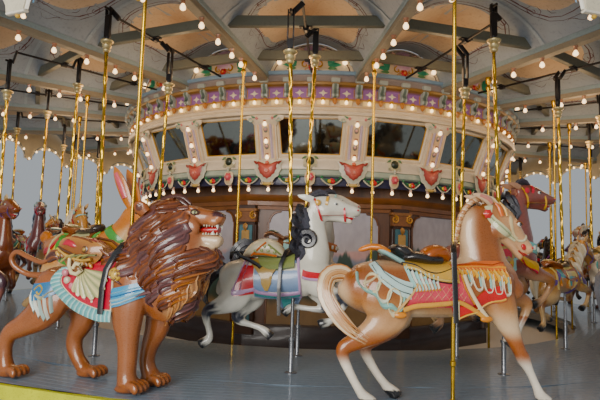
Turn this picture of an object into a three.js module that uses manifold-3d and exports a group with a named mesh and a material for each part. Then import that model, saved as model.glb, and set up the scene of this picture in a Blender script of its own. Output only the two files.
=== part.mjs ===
// Fairground carousel: a turning platform with three rings of carved figures round a fixed
// centre house. Millimetres, +Z up, origin on the axis at ground level. The figures face the
// way the machine turns, anticlockwise seen from above.
import * as THREE from 'three';
import { mergeVertices } from 'three/addons/utils/BufferGeometryUtils.js';
import Module from 'manifold-3d';

const wasm = await Module();
wasm.setup();

// Driving dimensions
const BAYS = 18;
const BAY_ANGLE = 360 / BAYS;
const START_ANGLE = -12;          // first sweep, measured from -Y towards +X
const GAP = 0.3;                  // seat gap between pieces that rest on each other
const RUNNING_GAP = 8;            // between the turning machine and the fixed centre

const PLATFORM_TOP = 350;
const DECK_THICKNESS = 50;
const DECK_INNER_R = 4770;
const DECK_SPLIT_R = 6480;
const DECK_RIM_R = 7240;
const PLATFORM_R = 7300;
const EDGE_HEIGHT = 110;
const JOIST_HEIGHT = 110;
const JOIST_WIDTH = 90;
const JOIST_SETBACK = 40;         // from the deck's rim
const HANGER_ROD_R = 15;

const OUTER_ROW_R = 6900;
const MIDDLE_ROW_R = 6030;
const INNER_ROW_R = 5200;
const HANGER_R = 4715;

const SWEEP_BOTTOM = PLATFORM_TOP + 3500;
const SWEEP_HEIGHT = 340;
const SWEEP_TOP = SWEEP_BOTTOM + SWEEP_HEIGHT;
const SWEEP_WIDTH = 110;
const HUB_R = 620;
const HUB_LAP = 120;              // of the sweeps into the hub
const CROSSBAR_LAP = 15;          // of a crossbar's end into the sweep
const CROSSBAR_RADII = [5450, 4380];
const CROSSBAR_BOTTOM = PLATFORM_TOP + 3640;
const CROSSBAR_HEIGHT = 120;
const CROSSBAR_WIDTH = 75;

const VAULT_SPRING = CROSSBAR_BOTTOM + CROSSBAR_HEIGHT + GAP;
const VAULT_CROWN = PLATFORM_TOP + 4085;
const CEILING_THICKNESS = 22;
const CEILING_JOINER = 50;
const CEILING_EDGE_GAP = 10;      // to the rounding boards
const ARCH_STEPS = 4;

const CRANK_THROW = 150;
const CRANK_BAR = 30;             // a square bar set corner down
const CRANK_CORNER = CRANK_BAR * Math.SQRT1_2;
const CRANK_AXIS_Z = CROSSBAR_BOTTOM - GAP - CRANK_CORNER;
const CRANK_START_R = 1500;
const CRANK_POST = 50;
const CRANK_RING_HEIGHT = 60;
const CRANK_PIN_SIDE = 8;         // between a fork and the crank's cheek
const FORK_CLEARANCE = 0.4;
const FORK_PRONG = 13;
const FORK_RADIAL = 38;
const FORK_DROP = 330;            // from the crank's axis to the foot of the fork
const FORK_SHOULDER = 40;

const MAST_R = 150;
const MAST_FOOT_R = 520;
const MAST_TOP = 5350;
const BEARING_GAP = 0.5;
const CAP_R = 260;
const CAP_HEIGHT = 140;
const TIE_ROD = 26;
const TIE_FOOT_R = 4800;
const TIE_HEAD_Z = MAST_TOP + 50;

const HOUSE_SIDES = 9;
const HOUSE_ANGLE = -18.2;
const HOUSE_WALL_R = 3300;
const HOUSE_WALL_THICKNESS = 40;
const HOUSE_FRAME_R = 3390;
const HOUSE_POST_WIDTH = 250;
const HOUSE_POST_PROUD = 15;
const HOUSE_PLINTH_HEIGHT = 250;
const HOUSE_PLINTH_SETBACK = 20;
const HOUSE_WALL_TOP = PLATFORM_TOP + 2150;
const HOUSE_CORNICE_BOTTOM = PLATFORM_TOP + 1790;
const HOUSE_CORNICE_TOP = PLATFORM_TOP + 1960;

const MIRROR_BOTTOM = [3530, PLATFORM_TOP + 2480];
const MIRROR_TOP = [3750, PLATFORM_TOP + 3070];
const MIRROR_THICKNESS = 50;
const BAND_HEIGHT = 400;
const SOFFIT_HEIGHT = 120;
const CORNICE_R = 3850;
const CORNICE_FACE = CORNICE_R * Math.cos(Math.PI / BAYS) - 25;
const CORNICE_LAP = 20;            // of the lunettes into the cornice
const LUNETTE_THICKNESS = 25;
const LUNETTE_DROP = 12;          // from the ceiling's arch to the lunette's edge
const RIM_R = 7250;
const RIM_THICKNESS = 60;
const RIM_BOTTOM = PLATFORM_TOP + 3160;
const RIM_TOP = PLATFORM_TOP + 4250;
const ARCH_HALF_WIDTH = 520;
const ARCH_HEIGHT = 330;
const RIM_FALL = Math.tan(Math.PI / (2 * BAYS)) * SWEEP_WIDTH / 2;
const SWEEP_END_R = RIM_R - RIM_THICKNESS - RIM_FALL - GAP;

// Finishes
const paint = (color, roughness = 0.45, metalness = 0) =>
  new THREE.MeshStandardMaterial({ color, roughness, metalness });
const FINISH = {
  blackIron: paint(0x17161a, 0.5, 0.6),
  timber: paint(0x8d8572, 0.55),
  deck: paint(0x6d737a, 0.25),
  yellow: paint(0xcfd02a, 0.5),
  ceiling: paint(0xcfb5a4, 0.6),
  cream: paint(0xe7dcbc, 0.45),
  purple: paint(0xa78fb4, 0.5),
  brown: paint(0x5a3a22, 0.5),
  landscape: paint(0xb9aa9c, 0.6),
  mirror: paint(0x5b6468, 0.05, 1),
  white: paint(0xd8d3c4, 0.3),
  palomino: paint(0xb9793f, 0.3),
  lion: paint(0x8a3f1c, 0.3),
  chestnut: paint(0x70391f, 0.3),
  rabbit: paint(0xb86a33, 0.3),
};

// Solids: three.js geometry in, one closed body out
function solid(geometry) {
  const bare = geometry.clone();
  bare.deleteAttribute('normal');
  bare.deleteAttribute('uv');
  const merged = mergeVertices(bare, 1e-3);
  return new wasm.Manifold(new wasm.Mesh({
    numProp: 3,
    vertProperties: new Float32Array(merged.attributes.position.array),
    triVerts: new Uint32Array(merged.index.array),
  }));
}

function union(solids) {
  return solids.reduce((whole, next) => whole.add(next));
}

function geometryOf(body) {
  const mesh = body.getMesh();
  const geometry = new THREE.BufferGeometry();
  geometry.setAttribute('position', new THREE.BufferAttribute(mesh.vertProperties, 3));
  geometry.setIndex(new THREE.BufferAttribute(mesh.triVerts, 1));
  geometry.computeVertexNormals();
  return geometry;
}

function piece(name, body, material) {
  const mesh = new THREE.Mesh(geometryOf(body), material);
  mesh.name = name;
  return mesh;
}

// Places on the machine: radius from the axis, angle from -Y towards +X
const radians = THREE.MathUtils.degToRad;
const turned = (geometry, angle) => geometry.rotateZ(radians(angle));
const sweepAngle = (bay) => START_ANGLE + bay * BAY_ANGLE;
const midBayAngle = (bay) => sweepAngle(bay) + BAY_ANGLE / 2;

// A box across the radius: tangential width, radial span, height span
function radialBox(width, [rLow, rHigh], [zLow, zHigh], angle = 0, aside = 0) {
  const box = new THREE.BoxGeometry(width, rHigh - rLow, zHigh - zLow);
  box.translate(aside, -(rLow + rHigh) / 2, (zLow + zHigh) / 2);
  return turned(box, angle);
}

// A ring turned about the axis from a closed profile of [radius, z] points
function ring(profile, sides = 2 * BAYS, angle = START_ANGLE) {
  const points = [...profile, profile[0]].map(([r, z]) => new THREE.Vector2(r, z));
  return turned(new THREE.LatheGeometry(points, sides).rotateX(Math.PI / 2), angle);
}

const rectangle = ([rLow, rHigh], [zLow, zHigh]) =>
  [[rLow, zLow], [rHigh, zLow], [rHigh, zHigh], [rLow, zHigh]];

// A body carried through stations [x, z, half height, half width, y]: the rings of a cylinder
// are moved onto the path, each square to it. Leading stations come first.
function loft(stations, sides) {
  const last = stations.length - 1;
  const start = sides === 4 ? Math.PI / 4 : 0;
  const bulge = sides === 4 ? Math.SQRT2 : 1;
  const geometry = new THREE.CylinderGeometry(1, 1, 1, sides, last, false, start);
  const position = geometry.attributes.position;
  const point = (i) => new THREE.Vector2(stations[i][0], stations[i][1]);
  for (let i = 0; i < position.count; i += 1) {
    const k = Math.round((0.5 - position.getY(i)) * last);
    const along = point(Math.min(k + 1, last)).sub(point(Math.max(k - 1, 0))).normalize();
    const [x, z, high, wide, aside = 0] = stations[k];
    const up = position.getZ(i) * high * bulge;
    position.setXYZ(i, x - along.y * up, aside + position.getX(i) * wide * bulge, z + along.x * up);
  }
  return solid(geometry);
}

const POLE_R = 19;

function bar(radius, zLow, zHigh, sides = 6) {
  const geometry = new THREE.CylinderGeometry(radius, radius, zHigh - zLow, sides);
  return geometry.rotateX(Math.PI / 2).translate(0, 0, (zLow + zHigh) / 2);
}

// Carved figures, x forward from the pole, z up from the platform, y to the left, which is
// the side towards the centre. A spine runs from the tail's tip to the nose.
const STANDING_HORSE = {
  spines: [[[-640, 470, 25, 25], [-850, 560, 85, 60], [-1000, 880, 75, 55], [-800, 1000, 90, 80],
    [-600, 890, 210, 200], [-180, 850, 205, 215], [210, 880, 225, 200], [340, 1130, 215, 120],
    [230, 1300, 135, 80], [290, 1470, 100, 72], [460, 1400, 120, 78], [700, 1160, 60, 48]]],
  legs: [
    [[-560, 850, 150, 90, -110], [-800, 450, 60, 48, -110], [-610, 0, 60, 46, -110]],
    [[-540, 850, 150, 90, 110], [-660, 440, 60, 48, 110], [-370, 0, 60, 46, 110]],
    [[370, 860, 110, 70, -110], [520, 400, 55, 45, -110], [740, 0, 60, 46, -110]],
    [[380, 820, 100, 70, 110], [740, 790, 60, 50, 110], [590, 440, 44, 44, 110]],
  ],
};

const LION = {
  spines: [
    [[-920, 740, 120, 110], [-700, 780, 190, 170], [-250, 800, 200, 180],
      [150, 860, 330, 230], [480, 980, 420, 230], [620, 1100, 220, 180]],
    [[380, 1120, 360, 250], [640, 1260, 230, 190], [850, 1230, 120, 100]],
    [[-850, 860, 40, 40], [-1100, 850, 36, 36], [-1200, 980, 34, 34], [-1050, 1070, 34, 34],
      [-840, 980, 30, 30], [-700, 1040, 45, 40]],
  ],
  legs: [
    [[-760, 700, 190, 100, -130], [-1120, 300, 65, 55, -130], [-1110, 90, 55, 55, -130],
      [-950, 0, 75, 75, -130]],
    [[-700, 700, 170, 90, 130], [-520, 330, 80, 60, 130], [-440, 90, 55, 55, 130],
      [-300, 0, 75, 75, 130]],
    [[250, 700, 150, 90, -130], [180, 330, 75, 65, -130], [130, 90, 60, 60, -130],
      [220, 0, 90, 80, -130]],
    [[350, 700, 150, 90, 130], [330, 330, 75, 65, 130], [290, 90, 60, 60, 130],
      [370, 0, 90, 80, 130]],
  ],
};

const JUMPING_HORSE = {
  spines: [[[-860, 760, 60, 40], [-640, 1000, 110, 100], [-420, 950, 185, 170],
    [80, 930, 185, 170], [330, 1110, 190, 110], [380, 1300, 110, 62], [520, 1400, 100, 64],
    [790, 1260, 50, 42]]],
  legs: [
    [[-480, 930, 120, 150], [-690, 640, 60, 135], [-780, 330, 44, 130]],
    [[370, 930, 90, 140], [610, 880, 50, 130], [480, 560, 42, 125]],
  ],
};

const JUMPING_RABBIT = {
  spines: [
    [[-760, 1080, 70, 60], [-600, 990, 110, 100], [-420, 950, 185, 170], [80, 930, 185, 170],
      [340, 1120, 180, 130], [520, 1270, 140, 100], [740, 1240, 70, 60]],
    [[480, 1320, 50, 40], [330, 1620, 65, 25], [270, 1840, 20, 12]],
  ],
  legs: [
    [[-420, 900, 170, 150], [-680, 560, 60, 135], [-860, 400, 44, 130]],
    [[330, 900, 100, 140], [590, 780, 46, 130], [740, 640, 40, 125]],
  ],
};

// A smaller figure of the same design, its back kept at one height
const BACK_HEIGHT = 950;
const shrink = (stations, factor) => stations.map(([x, z, high, wide]) =>
  [x * factor, BACK_HEIGHT + (z - BACK_HEIGHT) * factor, high * factor, wide * factor]);
const scaled = (figure, factor) => ({
  spines: figure.spines.map((spine) => shrink(spine, factor)),
  legs: figure.legs.map((leg) => shrink(leg, factor)),
});
const INNER_FIGURE = scaled(JUMPING_HORSE, 0.9);

function carve(figure, sides) {
  return union([
    ...figure.spines.map((spine) => loft(spine, sides.spine)),
    ...figure.legs.map((leg) => loft(leg, sides.leg)),
  ]);
}

const FULL_SIDES = { spine: 6, leg: 4 };
const PLAIN_SIDES = { spine: 5, leg: 3 };

// The lowest points of a standing figure's feet are trimmed to the platform
const FLOOR_BLOCK = 3000;
function standing(figure, sides, zFloor) {
  const below = new THREE.BoxGeometry(FLOOR_BLOCK, FLOOR_BLOCK, FLOOR_BLOCK);
  return carve(figure, sides).subtract(solid(below.translate(0, 0, zFloor - FLOOR_BLOCK / 2)));
}

const JUMPER_LIFT = CRANK_THROW * Math.SQRT1_2;   // all pins rest at 45 degrees
const JUMPER_TRAVEL_OUT = CRANK_THROW - JUMPER_LIFT;
const JUMPER_TRAVEL_BACK = CRANK_THROW + JUMPER_LIFT;
const ROD_BOTTOM = PLATFORM_TOP + 160;
const FORK_BOTTOM = CRANK_AXIS_Z - FORK_DROP;

// A jumper hangs on its crank pin by one flat outline: an iron fork open at the top, a brass
// pole through the figure and a steel rod below it. side moves the pin sideways, high lifts it.
function hanger(side, high) {
  const lift = high * JUMPER_LIFT;
  const aside = side * JUMPER_LIFT;
  const travelUp = high > 0 ? JUMPER_TRAVEL_OUT : JUMPER_TRAVEL_BACK;
  const pinZ = CRANK_AXIS_Z + lift;
  const slotHalf = CRANK_CORNER + FORK_CLEARANCE;
  const slotBottom = pinZ - CRANK_CORNER - travelUp - FORK_CLEARANCE;
  const forkHalf = slotHalf + FORK_PRONG;
  const forkBottom = FORK_BOTTOM + lift - (high > 0 ? 0 : JUMPER_TRAVEL_OUT);
  const forkTop = pinZ + CRANK_CORNER;
  const outline = new THREE.Shape([
    [-POLE_R, ROD_BOTTOM + lift], [POLE_R, ROD_BOTTOM + lift],
    [aside + POLE_R, forkBottom - FORK_SHOULDER], [aside + forkHalf, forkBottom],
    [aside + forkHalf, forkTop], [aside + slotHalf, forkTop], [aside + slotHalf, slotBottom],
    [aside - slotHalf, slotBottom], [aside - slotHalf, forkTop], [aside - forkHalf, forkTop],
    [aside - forkHalf, forkBottom], [aside - POLE_R, forkBottom - FORK_SHOULDER],
  ].map(([x, z]) => new THREE.Vector2(x, z)));
  const flat = new THREE.ExtrudeGeometry(outline, { depth: 2 * POLE_R, bevelEnabled: false });
  return solid(flat.rotateX(Math.PI / 2).translate(0, POLE_R, 0));
}

function jumper(figure, side, high) {
  const lean = Math.atan2(side * JUMPER_LIFT, FORK_BOTTOM - PLATFORM_TOP);
  const carved = carve(figure, PLAIN_SIDES).translate([0, 0, high * JUMPER_LIFT])
    .rotate([0, THREE.MathUtils.radToDeg(lean), 0]).translate([0, 0, PLATFORM_TOP]);
  return carved.add(hanger(side, high));
}

// Centre
function mast() {
  const foot = [[0, 0], [MAST_FOOT_R, 0], [MAST_FOOT_R, 60], [MAST_R + 60, 420], [MAST_R, 700]];
  const profile = [...foot, [MAST_R, MAST_TOP], [0, MAST_TOP]].map(([r, z]) => new THREE.Vector2(r, z));
  return solid(new THREE.LatheGeometry(profile, 12).rotateX(Math.PI / 2));
}

function houseWalls() {
  const span = [HOUSE_WALL_R - HOUSE_WALL_THICKNESS, HOUSE_WALL_R];
  return solid(ring(rectangle(span, [0, HOUSE_WALL_TOP]), HOUSE_SIDES, HOUSE_ANGLE));
}

function houseFrame() {
  const span = [HOUSE_WALL_R + GAP, HOUSE_FRAME_R];
  const plinth = rectangle([span[0], span[1] - HOUSE_PLINTH_SETBACK], [0, HOUSE_PLINTH_HEIGHT]);
  const cornice = rectangle(span, [HOUSE_CORNICE_BOTTOM, HOUSE_CORNICE_TOP]);
  const bands = [plinth, cornice].map((profile) => solid(ring(profile, HOUSE_SIDES, HOUSE_ANGLE)));
  const postSpan = [span[0], HOUSE_FRAME_R + HOUSE_POST_PROUD];
  const posts = Array.from({ length: HOUSE_SIDES }, (_, k) =>
    solid(radialBox(HOUSE_POST_WIDTH, postSpan, [0, HOUSE_CORNICE_BOTTOM + HOUSE_POST_PROUD],
      HOUSE_ANGLE + k * (360 / HOUSE_SIDES))));
  return union([...bands, ...posts]);
}

// Turning frame
const bays = Array.from({ length: BAYS }, (_, bay) => bay);

function sweepFrame() {
  const hubSpan = [MAST_R + RUNNING_GAP, HUB_R];
  const parts = [solid(ring(rectangle(hubSpan, [SWEEP_BOTTOM, SWEEP_TOP]), BAYS))];
  const half = radians(BAY_ANGLE / 2);
  bays.forEach((bay) => {
    parts.push(solid(radialBox(SWEEP_WIDTH, [HUB_R - HUB_LAP, SWEEP_END_R], [SWEEP_BOTTOM, SWEEP_TOP],
      sweepAngle(bay))));
    CROSSBAR_RADII.forEach((radius) => {
      const chord = 2 * (radius * Math.sin(half) - SWEEP_WIDTH / 2 + CROSSBAR_LAP);
      const face = radius * Math.cos(half);
      parts.push(solid(radialBox(chord, [face - CROSSBAR_WIDTH / 2, face + CROSSBAR_WIDTH / 2],
        [CROSSBAR_BOTTOM, CROSSBAR_BOTTOM + CROSSBAR_HEIGHT], midBayAngle(bay))));
    });
  });
  return union(parts);
}

// The ceiling's arch between two sweeps: a part of a circle on the chord that the bay has at
// this distance from the axis. turn runs from -1 at one sweep to 1 at the next.
function archPoint(face, turn) {
  const half = radians(BAY_ANGLE / 2);
  const wide = face * Math.tan(half) - SWEEP_WIDTH / 2 / Math.cos(half) - GAP;
  const rise = VAULT_CROWN - VAULT_SPRING;
  const radius = (wide * wide + rise * rise) / (2 * rise);
  const angle = turn * Math.asin(wide / radius);
  return [radius * Math.sin(angle), VAULT_CROWN - radius * (1 - Math.cos(angle))];
}

// Boards bent to an arch in each bay, wider towards the rim, rest on the crossbars, and a ring
// over the sweeps' ends joins them
function ceiling() {
  const inner = CORNICE_FACE + GAP;
  const outer = (SWEEP_END_R - CEILING_EDGE_GAP) * Math.cos(radians(BAY_ANGLE / 2));
  const board = new THREE.BoxGeometry(2, 1, 1, ARCH_STEPS, 1, 1);
  const position = board.attributes.position;
  for (let i = 0; i < position.count; i += 1) {
    const face = THREE.MathUtils.lerp(inner, outer, 0.5 - position.getY(i));
    const [x, z] = archPoint(face, position.getX(i));
    position.setXYZ(i, x, -face, z + (position.getZ(i) > 0 ? CEILING_THICKNESS : 0));
  }
  const over = SWEEP_TOP + GAP;
  const joiner = solid(ring(rectangle([outer - CEILING_JOINER, outer], [over, over + CEILING_JOINER])));
  return union([joiner, ...bays.map((bay) => solid(turned(board.clone(), midBayAngle(bay))))]);
}

// The cap turns on the mast head and carries a tie rod to each sweep
function tieRods() {
  const [seat, top] = [MAST_TOP + BEARING_GAP, MAST_TOP + CAP_HEIGHT];
  const cap = [[0, seat], [CAP_R, seat], [CAP_R, top], [0, top]]
    .map(([r, z]) => new THREE.Vector2(r, z));
  const lathe = new THREE.LatheGeometry(cap, BAYS).rotateX(Math.PI / 2);
  const parts = [solid(turned(lathe, START_ANGLE + BAY_ANGLE / 2))];
  const fall = TIE_HEAD_Z - (SWEEP_TOP + GAP);
  const run = TIE_FOOT_R - CAP_R / 2;
  const length = Math.hypot(fall, run);
  bays.forEach((bay) => {
    const rod = new THREE.BoxGeometry(TIE_ROD, length, TIE_ROD);
    rod.translate(0, -length / 2, TIE_ROD / 2);
    rod.rotateX(Math.atan2(fall, run)).translate(0, -CAP_R / 2, TIE_HEAD_Z);
    parts.push(solid(turned(rod, sweepAngle(bay))));
  });
  return union(parts);
}

// The rest phase of each bay's crank: which way its middle-row pin points, in the order in
// which neighbouring cranks follow each other a quarter turn apart
const QUARTERS = [{ side: -1, high: -1 }, { side: -1, high: 1 }, { side: 1, high: 1 },
  { side: 1, high: -1 }];
const middlePin = (bay) => QUARTERS[bay % 4];
const innerPin = (bay) => QUARTERS[(bay + 2) % 4];

// One square bar to a crank, bent in one plane: its outline along the radius and the throw.
// The inner ends stand in bearing posts on a ring under the sweeps.
function crankOutline() {
  const half = CRANK_BAR / 2;
  const reach = FORK_RADIAL / 2 + CRANK_PIN_SIDE;
  const path = [
    [CRANK_START_R - CRANK_BAR, 0], [INNER_ROW_R - reach - half, 0],
    [INNER_ROW_R - reach - half, -CRANK_THROW], [INNER_ROW_R + reach + half, -CRANK_THROW],
    [INNER_ROW_R + reach + half, 0], [MIDDLE_ROW_R - reach - half, 0],
    [MIDDLE_ROW_R - reach - half, CRANK_THROW], [MIDDLE_ROW_R + reach + half, CRANK_THROW],
  ].map(([r, t]) => new THREE.Vector2(r, t));
  const last = path.length - 1;
  const edge = (side) => path.map((point, i) => {
    const before = point.clone().sub(path[Math.max(i - 1, 0)]).normalize();
    const after = path[Math.min(i + 1, last)].clone().sub(point).normalize();
    const sum = before.add(after);
    const square = new THREE.Vector2(-sum.y, sum.x);
    return point.clone().addScaledVector(square, side * half);
  });
  return new THREE.Shape([...edge(-1), ...edge(1).reverse()]);
}

function cranks() {
  const span = [CRANK_START_R - CRANK_POST, CRANK_START_R + CRANK_POST];
  const low = SWEEP_BOTTOM - CRANK_RING_HEIGHT;
  const post = [CRANK_START_R - 0.8 * CRANK_POST, CRANK_START_R + 0.8 * CRANK_POST];
  const postHeight = [low + CRANK_RING_HEIGHT / 2, CRANK_AXIS_Z + 0.8 * CRANK_POST];
  const parts = [solid(ring(rectangle(span, [low, SWEEP_BOTTOM - GAP]), BAYS))];
  const flat = new THREE.ExtrudeGeometry(crankOutline(), { depth: CRANK_BAR, bevelEnabled: false });
  flat.translate(0, 0, -CRANK_BAR / 2).rotateZ(-Math.PI / 2);
  bays.forEach((bay) => {
    const pin = middlePin(bay);
    const bar = flat.clone().rotateY(-Math.atan2(pin.high, pin.side)).translate(0, 0, CRANK_AXIS_Z);
    parts.push(solid(turned(bar, midBayAngle(bay))));
    parts.push(solid(radialBox(CRANK_POST, post, postHeight, midBayAngle(bay))));
  });
  return union(parts);
}

// Rounding boards hang on the sweeps' ends, their lower edge cut in two arches a bay
function roundingBoards() {
  const boards = solid(ring(rectangle([RIM_R - RIM_THICKNESS, RIM_R], [RIM_BOTTOM, RIM_TOP])));
  const arches = Array.from({ length: 2 * BAYS }, (_, k) => {
    const arch = new THREE.CylinderGeometry(1, 1, 6 * RIM_THICKNESS, 6, 1, false, Math.PI / 6);
    arch.scale(ARCH_HALF_WIDTH, 1, ARCH_HEIGHT).translate(0, -RIM_R, RIM_BOTTOM);
    return solid(turned(arch, START_ANGLE + (k + 0.5) * (BAY_ANGLE / 2)));
  });
  return boards.subtract(union(arches));
}

// Drum round the centre, from the rail on the sweeps' ends down to the lower band
function corniceRing() {
  const [mirrorR, mirrorZ] = MIRROR_TOP;
  const back = mirrorR - 120;
  const top = SWEEP_BOTTOM - GAP;
  const face = [[CORNICE_R - 20, mirrorZ + SOFFIT_HEIGHT], [CORNICE_R, top - 160], [CORNICE_R + 60, top]];
  return solid(ring([[back, mirrorZ + GAP], [mirrorR + 40, mirrorZ + GAP], ...face, [back, top]]));
}

function mirrors() {
  const [lowR, lowZ] = MIRROR_BOTTOM;
  const [highR, highZ] = MIRROR_TOP;
  return solid(ring([[lowR - MIRROR_THICKNESS, lowZ + GAP], [lowR, lowZ + GAP], [highR, highZ],
    [highR - MIRROR_THICKNESS, highZ]], BAYS));
}

function lowerBand() {
  const [lowR, lowZ] = MIRROR_BOTTOM;
  const [back, foot, face] = [lowR - 90, lowR - 50, lowR + 10];
  return solid(ring([[back, lowZ - BAND_HEIGHT], [foot, lowZ - BAND_HEIGHT], [face, lowZ - SOFFIT_HEIGHT],
    [face, lowZ], [back, lowZ]]));
}

// A lunette board stands on the cornice in each bay, between the sweeps, and the crank bar
// passes through its port
function cornice() {
  const face = CORNICE_FACE - LUNETTE_THICKNESS;
  const edge = Array.from({ length: ARCH_STEPS + 1 }, (_, i) => archPoint(face, 1 - 2 * (i / ARCH_STEPS)));
  const [wide] = edge[0];
  const foot = SWEEP_BOTTOM - CORNICE_LAP;
  const points = [[-wide, foot], [wide, foot], ...edge.map(([x, z]) => [x, z - LUNETTE_DROP])];
  const outline = new THREE.Shape(points.map(([x, z]) => new THREE.Vector2(x, z)));
  const port = CRANK_CORNER + RUNNING_GAP;
  outline.holes.push(new THREE.Path([[-port, -port], [-port, port], [port, port], [port, -port]]
    .map(([x, z]) => new THREE.Vector2(x, CRANK_AXIS_Z + z))));
  const board = new THREE.ExtrudeGeometry(outline, { depth: LUNETTE_THICKNESS, bevelEnabled: false });
  board.rotateX(Math.PI / 2).translate(0, -face, 0);
  const boards = bays.map((bay) => solid(turned(board.clone(), midBayAngle(bay))));
  return union([corniceRing(), ...boards]);
}

// Platform
function innerDeck() {
  const height = [PLATFORM_TOP - DECK_THICKNESS, PLATFORM_TOP];
  return solid(ring(rectangle([DECK_INNER_R, DECK_SPLIT_R], height)));
}

function deckEdge() {
  const height = [PLATFORM_TOP - EDGE_HEIGHT, PLATFORM_TOP];
  return solid(ring(rectangle([DECK_RIM_R + GAP, PLATFORM_R], height)));
}

function underframe() {
  const top = PLATFORM_TOP - DECK_THICKNESS - GAP;
  const bottom = top - JOIST_HEIGHT;
  const ringSpan = [HANGER_R - JOIST_WIDTH / 2, HANGER_R + JOIST_WIDTH / 2];
  const joistSpan = [HANGER_R, DECK_RIM_R - JOIST_SETBACK];
  const parts = [solid(ring(rectangle(ringSpan, [bottom, top]), BAYS))];
  bays.forEach((bay) => {
    parts.push(solid(radialBox(JOIST_WIDTH, joistSpan, [bottom, top], sweepAngle(bay))));
    const rod = bar(HANGER_ROD_R, bottom + JOIST_HEIGHT / 2, SWEEP_BOTTOM - GAP, 4);
    parts.push(solid(turned(rod.translate(0, -HANGER_R, 0), sweepAngle(bay))));
  });
  return union(parts);
}

// A third of the outer deck with the standing figures fixed to it. The bays in apart hold
// the figures that are pieces of their own.
const FOOT_LAP = 20;
function outerRow(first, count, apart) {
  const steps = 2 * count;
  const seam = GAP / DECK_SPLIT_R;
  const arc = (radius) => Array.from({ length: steps + 1 }, (_, i) => {
    const trim = i === 0 ? seam : (i === steps ? -seam : 0);
    const turn = radians(i * BAY_ANGLE / 2) + trim;
    return new THREE.Vector2(radius * Math.sin(turn), -radius * Math.cos(turn));
  });
  const outline = new THREE.Shape([...arc(DECK_RIM_R), ...arc(DECK_SPLIT_R + GAP).reverse()]);
  const deck = new THREE.ExtrudeGeometry(outline, { depth: DECK_THICKNESS, bevelEnabled: false });
  deck.translate(0, 0, PLATFORM_TOP - DECK_THICKNESS);
  const parts = [solid(turned(deck, sweepAngle(first) - BAY_ANGLE / 2))];
  for (let bay = first; bay < first + count; bay += 1) {
    if (!apart.includes(bay)) {
      const figure = standing(STANDING_HORSE, PLAIN_SIDES, -FOOT_LAP).add(solid(standerPole(-FOOT_LAP)));
      parts.push(figure.translate([0, -OUTER_ROW_R, PLATFORM_TOP]).rotate([0, 0, sweepAngle(bay)]));
    }
  }
  return union(parts);
}

function standerPole(bottom) {
  return bar(POLE_R, bottom, SWEEP_BOTTOM - PLATFORM_TOP - GAP);
}

const carousel = new THREE.Group();
const centre = new THREE.Group();
centre.add(piece('centre_pole', mast(), FINISH.timber));
centre.add(piece('house_walls', houseWalls(), FINISH.landscape));
centre.add(piece('house_frame', houseFrame(), FINISH.brown));
carousel.add(centre);

const turntable = new THREE.Group();
turntable.add(piece('sweep_frame', sweepFrame(), FINISH.timber));
turntable.add(piece('ceiling', ceiling(), FINISH.ceiling));
turntable.add(piece('tie_rods', tieRods(), FINISH.blackIron));
turntable.add(piece('crank_set', cranks(), FINISH.blackIron));
turntable.add(piece('rounding_boards', roundingBoards(), FINISH.cream));
turntable.add(piece('cornice', cornice(), FINISH.purple));
turntable.add(piece('mirrors', mirrors(), FINISH.mirror));
turntable.add(piece('lower_band', lowerBand(), FINISH.cream));
turntable.add(piece('inner_deck', innerDeck(), FINISH.deck));
turntable.add(piece('deck_edge', deckEdge(), FINISH.yellow));
turntable.add(piece('underframe', underframe(), FINISH.timber));

const LION_BAY = 0;
const HORSE_BAY = 1;
const thirds = [0, 6, 12];
thirds.forEach((first, i) => {
  turntable.add(piece(`outer_row_${i + 1}`, outerRow(first, 6, [LION_BAY, HORSE_BAY]),
    FINISH.chestnut));
});

// A figure's own mesh stands in its bay, turned with it
function placed(mesh, radius, angle, z = 0) {
  const bayGroup = new THREE.Group();
  bayGroup.rotation.z = radians(angle);
  mesh.position.set(0, -radius, z);
  bayGroup.add(mesh);
  return bayGroup;
}

const stander = (name, figure, bay, finish) => {
  const body = standing(figure, FULL_SIDES, GAP).add(solid(standerPole(GAP)));
  turntable.add(placed(piece(name, body, finish), OUTER_ROW_R, sweepAngle(bay), PLATFORM_TOP));
};
stander('lion', LION, LION_BAY, FINISH.lion);
stander('outer_horse', STANDING_HORSE, HORSE_BAY, FINISH.palomino);
carousel.add(turntable);

const RABBIT_BAY = 17;
bays.forEach((bay) => {
  const middle = middlePin(bay);
  const inner = innerPin(bay);
  const figure = bay === RABBIT_BAY ? JUMPING_RABBIT : JUMPING_HORSE;
  const finish = bay === RABBIT_BAY ? FINISH.rabbit : FINISH.white;
  carousel.add(placed(piece(`middle_jumper_${bay + 1}`, jumper(figure, middle.side, middle.high),
    finish), MIDDLE_ROW_R, midBayAngle(bay)));
  carousel.add(placed(piece(`inner_jumper_${bay + 1}`, jumper(INNER_FIGURE, inner.side, inner.high),
    FINISH.chestnut), INNER_ROW_R, midBayAngle(bay)));
});

export default carousel;
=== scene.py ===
# Fairground carousel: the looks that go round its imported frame. Metres, +Z up, the origin on the
# axis at ground level. Angles are in degrees from -Y towards +X, and the figures face along them.
import math
from collections import namedtuple

import bmesh
import bpy
import numpy as np
from mathutils import Matrix, Vector


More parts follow.
